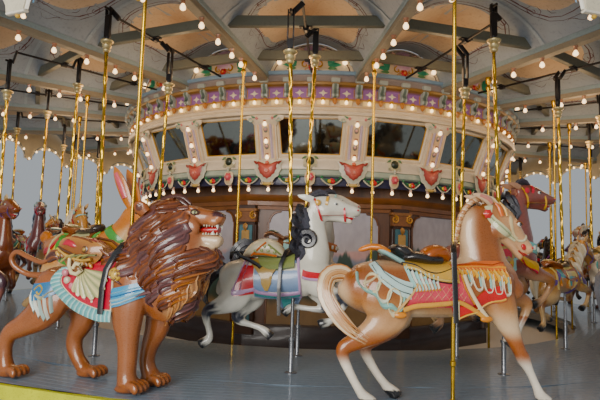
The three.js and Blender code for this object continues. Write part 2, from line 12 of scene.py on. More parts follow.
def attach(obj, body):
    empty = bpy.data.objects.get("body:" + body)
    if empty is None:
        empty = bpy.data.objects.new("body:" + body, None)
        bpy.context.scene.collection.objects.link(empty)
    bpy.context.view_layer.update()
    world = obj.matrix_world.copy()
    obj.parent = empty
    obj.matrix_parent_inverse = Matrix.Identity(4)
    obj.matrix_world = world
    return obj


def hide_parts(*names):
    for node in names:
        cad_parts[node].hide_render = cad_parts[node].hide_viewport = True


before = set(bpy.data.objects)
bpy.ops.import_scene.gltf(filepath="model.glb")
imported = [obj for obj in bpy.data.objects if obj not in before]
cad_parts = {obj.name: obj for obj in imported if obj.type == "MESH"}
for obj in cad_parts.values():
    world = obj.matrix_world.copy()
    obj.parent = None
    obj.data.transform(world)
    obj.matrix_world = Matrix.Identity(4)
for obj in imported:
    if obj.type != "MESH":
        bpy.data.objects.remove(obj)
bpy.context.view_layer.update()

# The camera stands four metres outside the platform's edge, at the height of the figures' bellies,
# and looks a little up into the ceiling.
EYE = (0.0, -11.189, 1.498)
YAW, PITCH, ROLL = (math.radians(angle) for angle in (-1.91, 5.31, -1.77))
ahead = Vector((math.sin(YAW) * math.cos(PITCH), math.cos(YAW) * math.cos(PITCH), math.sin(PITCH)))
level = Vector((math.cos(YAW), -math.sin(YAW), 0.0))
upright = level.cross(ahead)
right = math.cos(ROLL) * level - math.sin(ROLL) * upright
above = math.sin(ROLL) * level + math.cos(ROLL) * upright
camera = bpy.data.objects.new("camera", bpy.data.cameras.new("camera"))
camera.matrix_world = Matrix.Translation(EYE) @ Matrix((right, above, -ahead)).transposed().to_4x4()
camera.data.sensor_width = 36.0
camera.data.lens = 32.28
camera.data.clip_end = 200.0
bpy.context.collection.objects.link(camera)
bpy.context.scene.camera = camera

# A plain pale floor, a pale surrounding and one broad soft lamp before the machine, with small
# warm lamps under the ceiling where the rows of bulbs shed their light.
FLOOR_HALF = 60.0
floor_mesh = bpy.data.meshes.new("studio_floor")
floor_mesh.from_pydata([(-FLOOR_HALF, -FLOOR_HALF, 0), (FLOOR_HALF, -FLOOR_HALF, 0),
                        (FLOOR_HALF, FLOOR_HALF, 0), (-FLOOR_HALF, FLOOR_HALF, 0)], [], [(0, 1, 2, 3)])
studio_floor = bpy.data.objects.new("studio_floor", floor_mesh)
floor_paint = bpy.data.materials.new("studio_floor")
floor_paint.use_nodes = True
floor_paint.node_tree.nodes["Principled BSDF"].inputs["Base Color"].default_value = (0.62, 0.62, 0.6, 1)
floor_paint.node_tree.nodes["Principled BSDF"].inputs["Roughness"].default_value = 0.7
floor_mesh.materials.append(floor_paint)
bpy.context.collection.objects.link(studio_floor)

world = bpy.data.worlds.new("studio")
world.use_nodes = True
world.node_tree.nodes["Background"].inputs["Color"].default_value = (0.8, 0.86, 0.92, 1)
world.node_tree.nodes["Background"].inputs["Strength"].default_value = 0.47
bpy.context.scene.world = world


def soft_lamp(name, place, aim, size, power, colour):
    """A square lamp of the given side at a place, its face turned to the point aimed at."""
    lamp = bpy.data.lights.new(name, "AREA")
    lamp.size, lamp.energy, lamp.color = size, power, colour
    holder = bpy.data.objects.new(name, lamp)
    holder.location = place
    holder.rotation_mode = "QUATERNION"
    holder.rotation_quaternion = (Vector(aim) - Vector(place)).to_track_quat("-Z", "Y")
    bpy.context.collection.objects.link(holder)
    return holder


soft_lamp("front_lamp", (-4.0, -17.0, 4.2), (0, -5, 1.0), 7.0, 1650.0, (1.0, 0.96, 0.9))
WARM_LAMPS, WARM_RADIUS, WARM_HEIGHT = 18, 5.0, 3.55
for lamp_number in range(WARM_LAMPS):
    turn = math.radians(lamp_number * 360 / WARM_LAMPS - 2)
    spot = (WARM_RADIUS * math.sin(turn), -WARM_RADIUS * math.cos(turn), WARM_HEIGHT)
    glow = bpy.data.lights.new(f"bulb_glow_{lamp_number}", "POINT")
    glow.energy, glow.color, glow.shadow_soft_size = 23.0, (1.0, 0.62, 0.3), 0.35
    glow_holder = bpy.data.objects.new(glow.name, glow)
    glow_holder.location = spot
    bpy.context.collection.objects.link(glow_holder)

# Sweeps and hub: eighteen planed timbers run out from a wooden hub, painted tan grey, with a
# pale blue strip nailed along both sides under the ceiling boards.
BAYS, BAY, FIRST = 18, 20.0, -12.0
SWEEPS = FIRST + BAY * np.arange(BAYS)
MIDBAYS = SWEEPS + BAY / 2
TOP = 0.35                                   # the platform's upper face
SWEEP_HALF, SWEEP_LOW, SWEEP_HIGH, SWEEP_END = 0.055, TOP + 3.5, TOP + 3.84, 7.184
SWEEP_START, HUB_RADII = 0.5, (0.158, 0.62)
STRIP_SPAN, STRIP_PROUD = (TOP + 3.565, TOP + 3.625), 0.014
Form = namedtuple("Form", "points faces uv paint finish")


def circle(count):
    """So many angles, evenly round a circle from 0."""
    return np.linspace(0, 2 * math.pi, count, endpoint=False)


def net(rows, columns, around=False, along=False):
    """The four-cornered faces of a grid of points, numbered row by row, closed on itself on request."""
    r, c = np.meshgrid(np.arange(rows if along else rows - 1),
                       np.arange(columns if around else columns - 1),
                       indexing="ij")
    below, beside = (r + 1) % rows, (c + 1) % columns
    corners = [r * columns + c, r * columns + beside, below * columns + beside, below * columns + c]
    return np.stack(corners, -1).reshape(-1, 4)


def surface(points, around=False, along=False, ends=False, paint=(1, 1, 1), finish=0):
    """A grid of points (rows, columns, 3) as a form, painted one colour or one for each column. ends
    closes the first and last row with a fan to the row's middle, whose faces name a corner twice."""
    points = np.asarray(points, float)
    rows, columns = points.shape[:2]
    faces = net(rows, columns, around, along)
    flat = points.reshape(-1, 3)
    across, down = np.meshgrid(np.linspace(0, 1, columns), np.linspace(0, 1, rows))
    uv = np.stack([across, down], -1).reshape(-1, 2)
    if ends:
        start = len(flat)
        flat = np.vstack([flat, points[0].mean(0), points[-1].mean(0)])
        uv = np.vstack([uv, [0.5, 0], [0.5, 1]])
        c = np.arange(columns)
        beside, last = (c + 1) % columns, (rows - 1) * columns
        pole = np.full(columns, start)
        faces = np.vstack([faces, np.stack([pole, beside, c, c], -1),
                           np.stack([pole + 1, last + c, last + beside, last + beside], -1)])
    paint = np.asarray(paint, float)
    if len(paint) == columns and paint.ndim == 2:
        paint = np.tile(paint, (rows, 1))
    paint = np.broadcast_to(paint, (len(flat), 3)).copy()
    return Form(flat, faces, uv, paint, np.full(len(faces), finish))


def joined(forms):
    """Several forms as one, their faces renumbered after the points before them."""
    starts = np.cumsum([0] + [len(f.points) for f in forms[:-1]])
    return Form(np.vstack([f.points for f in forms]),
                np.vstack([f.faces + start for f, start in zip(forms, starts)]),
                np.vstack([f.uv for f in forms]), np.vstack([f.paint for f in forms]),
                np.concatenate([f.finish for f in forms]))


def copies(form, places):
    """The form repeated at each place: arrays of points (number of places, points, 3)."""
    number, count = places.shape[:2]
    offsets = (np.arange(number) * count)[:, None, None]
    return Form(places.reshape(-1, 3), (form.faces[None] + offsets).reshape(-1, 4),
                np.tile(form.uv, (number, 1)), np.tile(form.paint, (number, 1)),
                np.tile(form.finish, number))


def turned(form, angles, radius=0.0):
    """Copies of a form turned about the axis. The form stands in its own frame: x along the way of
    turning, y towards the centre, and its origin this radius out."""
    turn = np.radians(np.atleast_1d(angles))[:, None]
    x, y, z = form.points[:, 0][None], form.points[:, 1][None] - radius, form.points[:, 2][None]
    places = np.stack([x * np.cos(turn) - y * np.sin(turn), x * np.sin(turn) + y * np.cos(turn),
                       np.broadcast_to(z, (turn.shape[0], z.shape[1]))], -1)
    return copies(form, places)


def moved(form, by):
    """The form shifted by a vector, or repeated at each of several vectors."""
    by = np.atleast_2d(np.asarray(by, float))
    return copies(form, form.points[None] + by[:, None])


def block(x, y, z, chamfer=0.004, paint=(1, 1, 1), finish=0):
    """A board between two x, two y and two z, its four long edges along y cut at 45 degrees."""
    (x0, x1), (y0, y1), (z0, z1), c = x, y, z, chamfer
    outline = np.array([(x0 + c, z0), (x1 - c, z0), (x1, z0 + c), (x1, z1 - c),
                        (x1 - c, z1), (x0 + c, z1), (x0, z1 - c), (x0, z0 + c)])
    rows = np.array([y0, y0 + c, y1 - c, y1])
    middle = outline.mean(0)
    inset = np.array([1 - 2 * c / (x1 - x0 + z1 - z0), 1, 1, 1 - 2 * c / (x1 - x0 + z1 - z0)])
    flat = middle + (outline - middle)[None] * inset[:, None, None]
    points = np.stack([flat[..., 0], np.broadcast_to(rows[:, None], flat.shape[:2]), flat[..., 1]], -1)
    return surface(points, around=True, ends=True, paint=paint, finish=finish)


def ring(profile, sides=72, paint=(1, 1, 1), finish=0, first=FIRST):
    """A closed outline of (radius, height) points carried once round the axis."""
    outline = np.asarray(profile, float)
    turn = np.radians(first + np.arange(sides) * 360 / sides)[:, None]
    points = np.stack([outline[:, 0] * np.sin(turn), -outline[:, 0] * np.cos(turn),
                       np.broadcast_to(outline[:, 1], (sides, len(outline)))], -1)
    return surface(points, around=True, along=True, paint=paint, finish=finish)


def rectangle(radii, heights):
    """The outline of a plain ring."""
    return [(radii[0], heights[0]), (radii[1], heights[0]), (radii[1], heights[1]), (radii[0], heights[1])]


def weathered_group():
    """Aged paint: broad noise darkens and lightens the colour, fine noise specks it, roughens it
    and lifts it a little in the bump, and the whole is made richer or duller."""
    group = bpy.data.node_groups.new("weathered_paint", "ShaderNodeTree")
    group.interface.new_socket("Color", in_out="INPUT", socket_type="NodeSocketColor")
    for name, start in (("Shade", 0.2), ("Specks", 0.1), ("Scale", 3.0), ("Roughness", 0.4), ("Bump", 0.1),
                        ("Richness", 1.1)):
        socket = group.interface.new_socket(name, in_out="INPUT", socket_type="NodeSocketFloat")
        socket.default_value = start
    group.interface.new_socket("Color", in_out="OUTPUT", socket_type="NodeSocketColor")
    group.interface.new_socket("Roughness", in_out="OUTPUT", socket_type="NodeSocketFloat")
    group.interface.new_socket("Normal", in_out="OUTPUT", socket_type="NodeSocketVector")
    nodes, link = group.nodes, group.links.new
    given, result = nodes.new("NodeGroupInput"), nodes.new("NodeGroupOutput")
    place = nodes.new("ShaderNodeTexCoord")

    def noise(scale_factor, detail):
        texture, factor = nodes.new("ShaderNodeTexNoise"), nodes.new("ShaderNodeMath")
        factor.operation = "MULTIPLY"
        factor.inputs[1].default_value = scale_factor
        texture.inputs["Detail"].default_value = detail
        link(given.outputs["Scale"], factor.inputs[0])
        link(factor.outputs[0], texture.inputs["Scale"])
        link(place.outputs["Object"], texture.inputs["Vector"])
        return texture.outputs["Fac"]

    def maths(operation, first, second, third=None):
        node = nodes.new("ShaderNodeMath")
        node.operation = operation
        for socket, value in zip(node.inputs, (first, second, third)):
            if isinstance(value, (int, float)):
                socket.default_value = value
            elif value is not None:
                link(value, socket)
        return node.outputs[0]

    broad, fine = noise(1.0, 3.0), noise(14.0, 5.0)
    swing = maths("MULTIPLY", maths("SUBTRACT", broad, 0.52), 2.6)
    speck = maths("SMOOTH_MIN", maths("MULTIPLY", maths("SUBTRACT", fine, 0.56), 9.0), 1.0, 0.2)
    speck = maths("MAXIMUM", speck, 0.0)
    light = maths("ADD", maths("MULTIPLY", swing, given.outputs["Shade"]), 1.0)
    light = maths("SUBTRACT", light, maths("MULTIPLY", speck, given.outputs["Specks"]))
    tint = nodes.new("ShaderNodeVectorMath")
    tint.operation = "SCALE"
    link(given.outputs["Color"], tint.inputs[0])
    link(light, tint.inputs["Scale"])
    rich = nodes.new("ShaderNodeHueSaturation")
    rich.inputs["Value"].default_value = 0.88
    link(given.outputs["Richness"], rich.inputs["Saturation"])
    link(tint.outputs[0], rich.inputs["Color"])
    link(rich.outputs[0], result.inputs["Color"])
    rough = maths("ADD", given.outputs["Roughness"], maths("MULTIPLY", maths("SUBTRACT", fine, 0.5), 0.3))
    link(maths("MAXIMUM", rough, 0.05), result.inputs["Roughness"])
    bump = nodes.new("ShaderNodeBump")
    bump.inputs["Distance"].default_value = 0.004
    link(given.outputs["Bump"], bump.inputs["Strength"])
    link(fine, bump.inputs["Height"])
    link(bump.outputs[0], result.inputs["Normal"])
    return group


WEATHERED = weathered_group()


def finish(name, colour=None, roughness=0.4, shade=0.18, specks=0.12, scale=3.0, bump=0.12, coat=0.0,
           metallic=0.0, rich=1.15):
    """A painted or metal finish. Without a colour it takes the paint that is stored on the piece."""
    made = bpy.data.materials.new(name)
    made.use_nodes = True
    nodes, link = made.node_tree.nodes, made.node_tree.links.new
    shader = nodes["Principled BSDF"]
    aged = nodes.new("ShaderNodeGroup")
    aged.node_tree = WEATHERED
    for socket, value in (("Shade", shade), ("Specks", specks), ("Scale", scale), ("Roughness", roughness),
                          ("Bump", bump), ("Richness", rich)):
        aged.inputs[socket].default_value = value
    if colour is None:
        stored = nodes.new("ShaderNodeAttribute")
        stored.attribute_name = "paint"
        link(stored.outputs["Color"], aged.inputs["Color"])
    else:
        aged.inputs["Color"].default_value = (*colour, 1)
    link(aged.outputs["Color"], shader.inputs["Base Color"])
    link(aged.outputs["Roughness"], shader.inputs["Roughness"])
    link(aged.outputs["Normal"], shader.inputs["Normal"])
    shader.inputs["Metallic"].default_value = metallic
    shader.inputs["Coat Weight"].default_value = coat
    shader.inputs["Coat Roughness"].default_value = 0.08
    return made


def mesh_of(name, form):
    """A mesh of the form, and the number of the point at each corner of its faces; a face that
    names its last corner twice has three corners."""
    mesh = bpy.data.meshes.new(name)
    kept = np.ones(form.faces.shape, bool)
    kept[:, 3] = form.faces[:, 3] != form.faces[:, 2]
    corners, sizes = form.faces[kept], kept.sum(1)
    mesh.vertices.add(len(form.points))
    mesh.vertices.foreach_set("co", form.points.astype(np.float32).ravel())
    mesh.loops.add(len(corners))
    mesh.loops.foreach_set("vertex_index", corners.astype(np.int32))
    mesh.polygons.add(len(sizes))
    mesh.polygons.foreach_set("loop_start", np.concatenate([[0], np.cumsum(sizes)[:-1]]).astype(np.int32))
    return mesh, corners


def piece(name, form, body, finishes, replaced=(), sharp=35.0):
    """Makes a form a mesh in place, with its paint and its finishes, and lets it ride on a body."""
    mesh, corners = mesh_of(name, form)
    mesh.polygons.foreach_set("material_index", form.finish.astype(np.int32))
    mesh.uv_layers.new(name="UVMap").data.foreach_set("uv", form.uv[corners].astype(np.float32).ravel())
    stored = mesh.color_attributes.new("paint", "FLOAT_COLOR", "POINT")
    stored.data.foreach_set("color", np.column_stack([form.paint, np.ones(len(form.paint))]).ravel())
    mesh.update(calc_edges=True)
    mesh.validate()
    shell = bmesh.new()
    shell.from_mesh(mesh)
    bmesh.ops.recalc_face_normals(shell, faces=shell.faces)
    shell.to_mesh(mesh)
    shell.free()
    mesh.shade_smooth()
    mesh.set_sharp_from_angle(angle=math.radians(sharp))
    for material in finishes:
        mesh.materials.append(material)
    made = bpy.data.objects.new(name, mesh)
    bpy.context.collection.objects.link(made)
    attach(made, body)
    if replaced:
        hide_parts(*replaced)
    return made


TAN, PALE_BLUE = (0.25, 0.225, 0.175), (0.26, 0.34, 0.38)
sweep = block((-SWEEP_HALF, SWEEP_HALF), (-SWEEP_END, -SWEEP_START), (SWEEP_LOW, SWEEP_HIGH), 0.006,
              paint=TAN)
strips = [block((side * SWEEP_HALF - STRIP_PROUD, side * SWEEP_HALF + STRIP_PROUD), (-SWEEP_END, -3.8),
                STRIP_SPAN, 0.005, paint=PALE_BLUE) for side in (-1, 1)]
hub = ring(rectangle(HUB_RADII, (SWEEP_LOW, SWEEP_HIGH)), sides=BAYS, paint=TAN)
TIMBER = finish("painted_timber", roughness=0.5, shade=0.16, scale=2.5, bump=0.2)
piece("sweeps", joined([hub, turned(joined([sweep, *strips]), SWEEPS)]), "turntable", [TIMBER],
      ["sweep_frame"])

# Crossbars: two straight timbers, painted grey green, tie each pair of sweeps and carry the cranks
# under them and the ceiling boards above them.
CROSSBAR_RADII, CROSSBAR_HALF = (5.45, 4.38), 0.0375
CROSSBAR_SPAN = (TOP + 3.64, TOP + 3.76)
GREY_GREEN = (0.15, 0.155, 0.125)
half_bay = math.radians(BAY / 2)
bars = []
for bar_radius in CROSSBAR_RADII:
    face, reach = bar_radius * math.cos(half_bay), bar_radius * math.sin(half_bay) - SWEEP_HALF + 0.012
    bar = block((-CROSSBAR_HALF, CROSSBAR_HALF), (-reach, reach), CROSSBAR_SPAN, 0.006, paint=GREY_GREEN)
    bar.points[:, :2] = np.stack([bar.points[:, 1], bar.points[:, 0] - face], -1)
    bars.append(bar)
piece("crossbars", turned(joined(bars), MIDBAYS), "turntable", [TIMBER])

# Ceiling: thin boards bent to a vault in every bay, nailed to the strips on the sweeps and
# resting on the crossbars, with a batten over the joint, painted pale blue with scrollwork.
VAULT_LOW, VAULT_CROWN, VAULT_REACH, VAULT_THICK = TOP + 3.62, TOP + 4.075, (3.8, 7.06), 0.018
BATTEN_AT, BATTEN_WIDTH = 5.56, 0.045


def vault(along, aside, lift=0.0):
    """The vault over a bay, in the bay's frame: along is the distance from the axis and aside the
    way round the arch from its crown. The arch is part of a circle on the chord between the
    sweeps there, and lift raises the point outwards from it."""
    wide = along * math.tan(half_bay) - SWEEP_HALF / math.cos(half_bay)
    rise = VAULT_CROWN - VAULT_LOW
    radius = (wide ** 2 + rise ** 2) / (2 * rise)
    most = np.arcsin(np.minimum(wide / radius, 1))
    angle = np.clip(aside / radius, -most, most)
    out = radius + lift
    return np.stack(np.broadcast_arrays(out * np.sin(angle), -along,
                                        VAULT_CROWN - radius + out * np.cos(angle)), -1)


def arch_reach(along):
    """Half the length of the arch at a distance from the axis."""
    wide = along * math.tan(half_bay) - SWEEP_HALF / math.cos(half_bay)
    rise = VAULT_CROWN - VAULT_LOW
    radius = (wide ** 2 + rise ** 2) / (2 * rise)
    return radius * np.arcsin(wide / radius)


def vault_board(reach, rows, columns, low, high, paint):
    """Boards on the vault between two distances and two lifts, their ends brought to an edge."""
    along = np.linspace(*reach, rows)[:, None]
    aside = arch_reach(along) * np.linspace(-1, 1, columns)[None]
    under, over = vault(along, aside, low), vault(along, aside, high)
    over[[0, -1]] = under[[0, -1]]
    return surface(np.concatenate([under, over[:, ::-1]], 1), around=True, paint=paint)


VAULT_BLUE, BATTEN_BLUE, SALMON, BLUSH, MAROON = ((0.31, 0.36, 0.42), (0.36, 0.43, 0.5), (0.44, 0.3, 0.2),
                                                  (0.62, 0.5, 0.38), (0.1, 0.04, 0.045))
boards = vault_board(VAULT_REACH, 13, 15, 0.0, VAULT_THICK, VAULT_BLUE)
batten = vault_board((BATTEN_AT - BATTEN_WIDTH / 2, BATTEN_AT + BATTEN_WIDTH / 2), 4, 15, -0.008,
                     0.001, BATTEN_BLUE)


def field(middle, half_length, share, square=3.6, lobes=6):
    """A painted field, a shallow plate on the vault: its edge is a rounded oblong, scalloped by the
    bumps of a raised sine, and it grows paler from its middle to its edge."""
    share_out = np.array([0.0, 0.55, 0.85, 1.0, 1.0, 0.0])[:, None]
    lift = np.array([-0.0022, -0.0022, -0.0022, -0.0022, 0.003, 0.003])[:, None]
    turn = circle(48)[None]
    oblong = (np.abs(np.cos(turn)) ** square + np.abs(np.sin(turn)) ** square) ** (-1 / square)
    edge = oblong * (0.96 + 0.04 * np.abs(np.sin(lobes * turn / 2 + math.pi / 4)) ** 0.7)
    along = middle + half_length * share_out * edge * np.cos(turn)
    aside = share * arch_reach(along) * share_out * edge * np.sin(turn)
    paint = np.array(SALMON) + (np.array(BLUSH) - np.array(SALMON)) * share_out[..., None] ** 2
    paint = np.broadcast_to(paint, (6, 48, 3)).reshape(-1, 3)
    plate = surface(vault(along, aside, lift), around=True)
    return plate._replace(paint=paint.copy())


def ribbon(along, aside, width, paint=MAROON):
    """A painted line on the vault: a flat strip that follows the points and narrows to its ends."""
    path = np.stack([along, aside], -1)
    way = np.gradient(path, axis=0)
    way /= np.linalg.norm(way, axis=1)[:, None] + 1e-9
    taper = width / 2 * np.minimum(1, 0.25 + 2.4 * np.sin(np.linspace(0, math.pi, len(path))))
    square = np.stack([-way[:, 1], way[:, 0]], -1) * taper[:, None]
    left, right_side = path + square, path - square
    points = np.stack([vault(left[:, 0], left[:, 1], 0.001), vault(path[:, 0], path[:, 1], -0.0045),
                       vault(right_side[:, 0], right_side[:, 1], 0.001)], 1)
    return surface(points, around=True, paint=paint)


def curl(along, aside, size, heading, turns=1.35, hand=1, width=0.015):
    """A volute: the radius falls in step with the angle, from size to a sixth of it."""
    share = np.linspace(0, 1, 11)
    radius = size * (1 - 0.84 * share)
    angle = math.radians(heading) + hand * share * turns * 2 * math.pi
    middle = (along - size * math.cos(math.radians(heading)),
              aside - size * math.sin(math.radians(heading)))
    return ribbon(middle[0] + radius * np.cos(angle), middle[1] + radius * np.sin(angle), width)


def scroll_border(middle, half_length, share, square=3.6, gap=1.07):
    """Two lines round a field, bowed in at the middle of each side, with volutes at the corners."""
    turn = np.linspace(0, 2 * math.pi, 37)
    oblong = (np.abs(np.cos(turn)) ** square + np.abs(np.sin(turn)) ** square) ** (-1 / square)
    lines = []
    for spread, width, bow in ((gap, 0.02, 0.045), (gap + 0.075, 0.008, 0.03)):
        edge = spread * oblong * (1 - bow * np.cos(4 * turn))
        along = middle + half_length * edge * np.cos(turn)
        lines.append(ribbon(along, share * arch_reach(along) * edge * np.sin(turn), width))
    for side in (-1, 1):
        for end in (-1, 1):
            corner = middle + end * half_length * 0.98
            out = side * share * arch_reach(np.float64(corner)) * 0.92
            lines.append(curl(corner, out, 0.105, 90 * side, hand=side * end))
            lines.append(curl(corner - end * 0.2, out + side * 0.07, 0.07, 90 * side,
                              hand=-side * end, width=0.01))
        flank = side * share * arch_reach(np.float64(middle)) * gap
        for end in (-1, 1):
            lines.append(curl(middle + end * 0.06, flank + side * 0.02, 0.085, 90 * side,
                              hand=side * end, width=0.012))
            share_along = np.linspace(0, 1, 7)
            lines.append(ribbon(middle + end * (0.1 + 0.26 * share_along),
                                flank + side * (0.06 + 0.05 * np.sin(share_along * 5.5)), 0.008))
    return lines


OUTER_FIELD, INNER_FIELD = (6.33, 0.6, 0.74), (4.72, 0.6, 0.7)
scrollwork = [f for middle, half, share in (OUTER_FIELD, INNER_FIELD)
              for f in scroll_border(middle, half, share)]
fields = [field(*OUTER_FIELD), field(*INNER_FIELD, lobes=4)]
CEILING_PAINT = finish("ceiling_paint", roughness=0.55, shade=0.22, specks=0.16, scale=2.2, bump=0.15)
piece("ceiling_boards", turned(joined([boards, batten]), MIDBAYS), "turntable", [CEILING_PAINT],
      ["ceiling"], sharp=30)
piece("ceiling_fields", turned(joined(fields), MIDBAYS), "turntable", [CEILING_PAINT],
      sharp=50)
piece("ceiling_scrolls", turned(joined(scrollwork), MIDBAYS), "turntable", [CEILING_PAINT],
      sharp=80)

# Lamps: a row of glowing bulbs under each sweep, pear shapes of warm glass in short sockets of
# rose brown porcelain.
BULB_RADIUS, BULB_LENGTH = 0.031, 0.072
SWEEP_LAMP_RADII = (4.29, 4.82, 5.135, 5.56, 6.0, 6.43, 6.79)
PINK, LIT = (0.4, 0.2, 0.13), (1.0, 0.7, 0.38)


def spun(profile, sides=8, paint=(1, 1, 1), finish=0):
    """A turned shape: an outline of (radius, height) from its lower end to its upper one, spun
    round the upright axis, its ends closed."""
    outline = np.asarray(profile, float)
    turn = circle(sides)[None]
    radius = outline[:, :1]
    points = np.stack([radius * np.cos(turn), radius * np.sin(turn),
                       np.broadcast_to(outline[:, 1:2], (len(outline), sides))], -1)
    if np.ndim(paint) == 2:
        paint = np.vstack([np.repeat(paint, sides, 0), paint[0], paint[-1]])
    return surface(points, around=True, ends=True, paint=paint, finish=finish)


def bulb(size=1.0, finish=1, sides=8):
    """A bulb hanging from the origin: narrow neck, round end."""
    outline = [(0.42, -1.0), (0.96, -0.8), (0.98, -0.5), (0.5, -0.12), (0.42, 0.0)]
    return spun([(r * BULB_RADIUS * size, z * BULB_LENGTH * size) for r, z in outline], sides, LIT, finish)


socket = spun([(0.018, -0.048), (0.022, -0.04), (0.02, -0.02), (0.032, 0.002)], 7, PINK)
hung_lamp = joined([moved(bulb(), (0, 0, -0.042)), socket])


def lamp_glass():
    """Lit glass: a warm light that is whitest where the glass faces out."""
    made = bpy.data.materials.new("lamp_glass")
    made.use_nodes = True
    nodes, link = made.node_tree.nodes, made.node_tree.links.new
    shader, edge = nodes["Principled BSDF"], nodes.new("ShaderNodeLayerWeight")
    mix = nodes.new("ShaderNodeMix")
    mix.data_type = "RGBA"
    mix.inputs["A"].default_value = (1.0, 0.76, 0.42, 1)
    mix.inputs["B"].default_value = (1.0, 0.44, 0.13, 1)
    edge.inputs["Blend"].default_value = 0.35
    link(edge.outputs["Facing"], mix.inputs["Factor"])
    link(mix.outputs["Result"], shader.inputs["Emission Color"])
    shader.inputs["Emission Strength"].default_value = 3.0
    shader.inputs["Base Color"].default_value = (0.9, 0.8, 0.6, 1)
    shader.inputs["Roughness"].default_value = 0.1
    return made


LAMP_GLASS = lamp_glass()
SOCKET_PAINT = finish("socket_porcelain", roughness=0.3, coat=0.3)
sweep_lamps = joined([moved(hung_lamp, (0, -r, SWEEP_LOW)) for r in SWEEP_LAMP_RADII])
piece("sweep_lamps", turned(sweep_lamps, SWEEPS), "turntable", [SOCKET_PAINT, LAMP_GLASS])

# Cornice of the drum: turned and moulded pine round the centre, painted cream, grey and purple,
# with grey scroll brackets, cream lozenges on the purple and a row of bulbs under them.
CORNICE_PROFILE = [(3.64, 3.075), (3.76, 3.075), (3.775, 3.043), (3.815, 3.05), (3.83, 3.09), (3.8, 3.125),
                   (3.82, 3.151), (3.765, 3.162), (3.74, 3.19), (3.735, 3.25), (3.775, 3.275), (3.8, 3.29),
                   (3.8, 3.42), (3.83, 3.447), (3.872, 3.457), (3.885, 3.49), (3.87, 3.511), (3.868, 3.585),
                   (3.905, 3.597), (3.905, 3.645), (3.86, 3.653), (3.64, 3.653)]
CREAM, PURPLE, GREY_WHITE = (0.76, 0.65, 0.49), (0.28, 0.15, 0.37), (0.38, 0.43, 0.42)
DRUM_TAN, DARK_GILT = (0.28, 0.25, 0.25), (0.22, 0.125, 0.03)
RAIL_BLUE, GOLD = (0.26, 0.38, 0.52), (0.55, 0.32, 0.07)
cornice_paint = ([CREAM] * 7 + [GOLD, CREAM, CREAM, GOLD] + [PURPLE] * 2 + [DARK_GILT] * 3
                 + [DRUM_TAN] * 2 + [RAIL_BLUE] * 4)
BRACKETS = np.arange(FIRST, FIRST + 360, 5.0)
BETWEEN = BRACKETS + 2.5


def above_deck(profile):
    """Heights measured from the platform turned into heights from the ground."""
    return [(r, TOP + z) for r, z in profile]


def plate(outline, height, rounding=0.5, rows=4, centre=None, paint=(1, 1, 1), rim=None, finish=0):
    """A carved plate in the x-z plane that faces the front (-y): the outline drawn in towards its
    centre while the height rises, quickly at the edge and slowly in the middle, over a flat back."""
    outline = np.asarray(outline, float)
    centre = outline.mean(0) if centre is None else np.asarray(centre, float)
    share = np.concatenate([[0.0], np.linspace(1, 0, rows + 1)])[:, None]
    rise = height * (1 - share ** (1 / rounding)) ** rounding
    rise[0] = 0.0
    ring_points = centre + (outline - centre)[None] * share[..., None]
    points = np.stack([ring_points[..., 0], np.broadcast_to(-rise, ring_points.shape[:2]),
                       ring_points[..., 1]], -1)
    made = surface(points, around=True, paint=paint, finish=finish)
    if rim is not None:
        near_edge = np.clip(share * 2.2 - 1.2, 0, 1)[..., None]
        tone = np.asarray(paint) + (np.asarray(rim) - np.asarray(paint)) * near_edge
        made = made._replace(paint=np.broadcast_to(tone, points.shape).reshape(-1, 3).copy())
    return made


def prism(outline, low, high, bevel=0.004, paint=(1, 1, 1), finish=0):
    """A board sawn to an outline in the y-z plane, its faces at two x and its edges eased."""
    outline = np.asarray(outline, float)
    centre = outline.mean(0)
    size = np.abs(outline - centre).max()
    rows = np.array([low, low + bevel, high - bevel, high])
    inset = np.array([1 - bevel / size, 1, 1, 1 - bevel / size])
    flat = centre + (outline - centre)[None] * inset[:, None, None]
    points = np.stack([np.broadcast_to(rows[:, None], flat.shape[:2]), flat[..., 0], flat[..., 1]], -1)
    return surface(points, around=True, ends=True, paint=paint, finish=finish)


BRACKET_SIDE = [(0.005, 3.29), (-0.03, 3.285), (-0.052, 3.3), (-0.056, 3.33), (-0.035, 3.352),
                (-0.032, 3.39),
                (-0.055, 3.41), (-0.078, 3.44), (-0.075, 3.475), (-0.05, 3.487), (0.005, 3.487)]
bracket_outline = np.array([(-3.8 + out, TOP + z) for out, z in BRACKET_SIDE])
bracket = joined([prism(bracket_outline, -0.045, 0.045, 0.008, GREY_WHITE),
                  prism(bracket_outline - [0.006, 0.0], -0.018, 0.018, 0.004, (0.13, 0.18, 0.16))])
bracket_cap = block((-0.062, 0.062), (-3.915, -3.8), (TOP + 3.485, TOP + 3.545), 0.006, GREY_WHITE)
bracket_drop = moved(spun([(0.006, -0.085), (0.03, -0.06), (0.034, -0.02), (0.026, 0.0)], 6,
                          (0.5, 0.24, 0.09)),
                     (0, -3.79, TOP + 3.285))
LOZENGE = [(0, 0.048), (0.02, 0.016), (0.066, 0), (0.02, -0.016), (0, -0.048), (-0.02, -0.016),
           (-0.066, 0), (-0.02, 0.016)]
lozenge = moved(plate(LOZENGE, 0.014, rows=2, paint=(0.8, 0.72, 0.55)), (0, -3.8, TOP + 3.355))
# Behind each bulb a board painted bright warm yellow: a painted glow of the bulb's light on it.
glow_painted_board = block((-0.088, 0.088), (-3.765, -3.7), (TOP + 3.196, TOP + 3.268), 0.004, (0.95, 0.78, 0.42))
side_fillet = [moved(plate([(-0.006, -0.06), (0.006, -0.06), (0.006, 0.06), (-0.006, 0.06)], 0.008,
                           rows=2, paint=GOLD),
                     (side * 0.105, -3.8, TOP + 3.355)) for side in (-1, 1)]
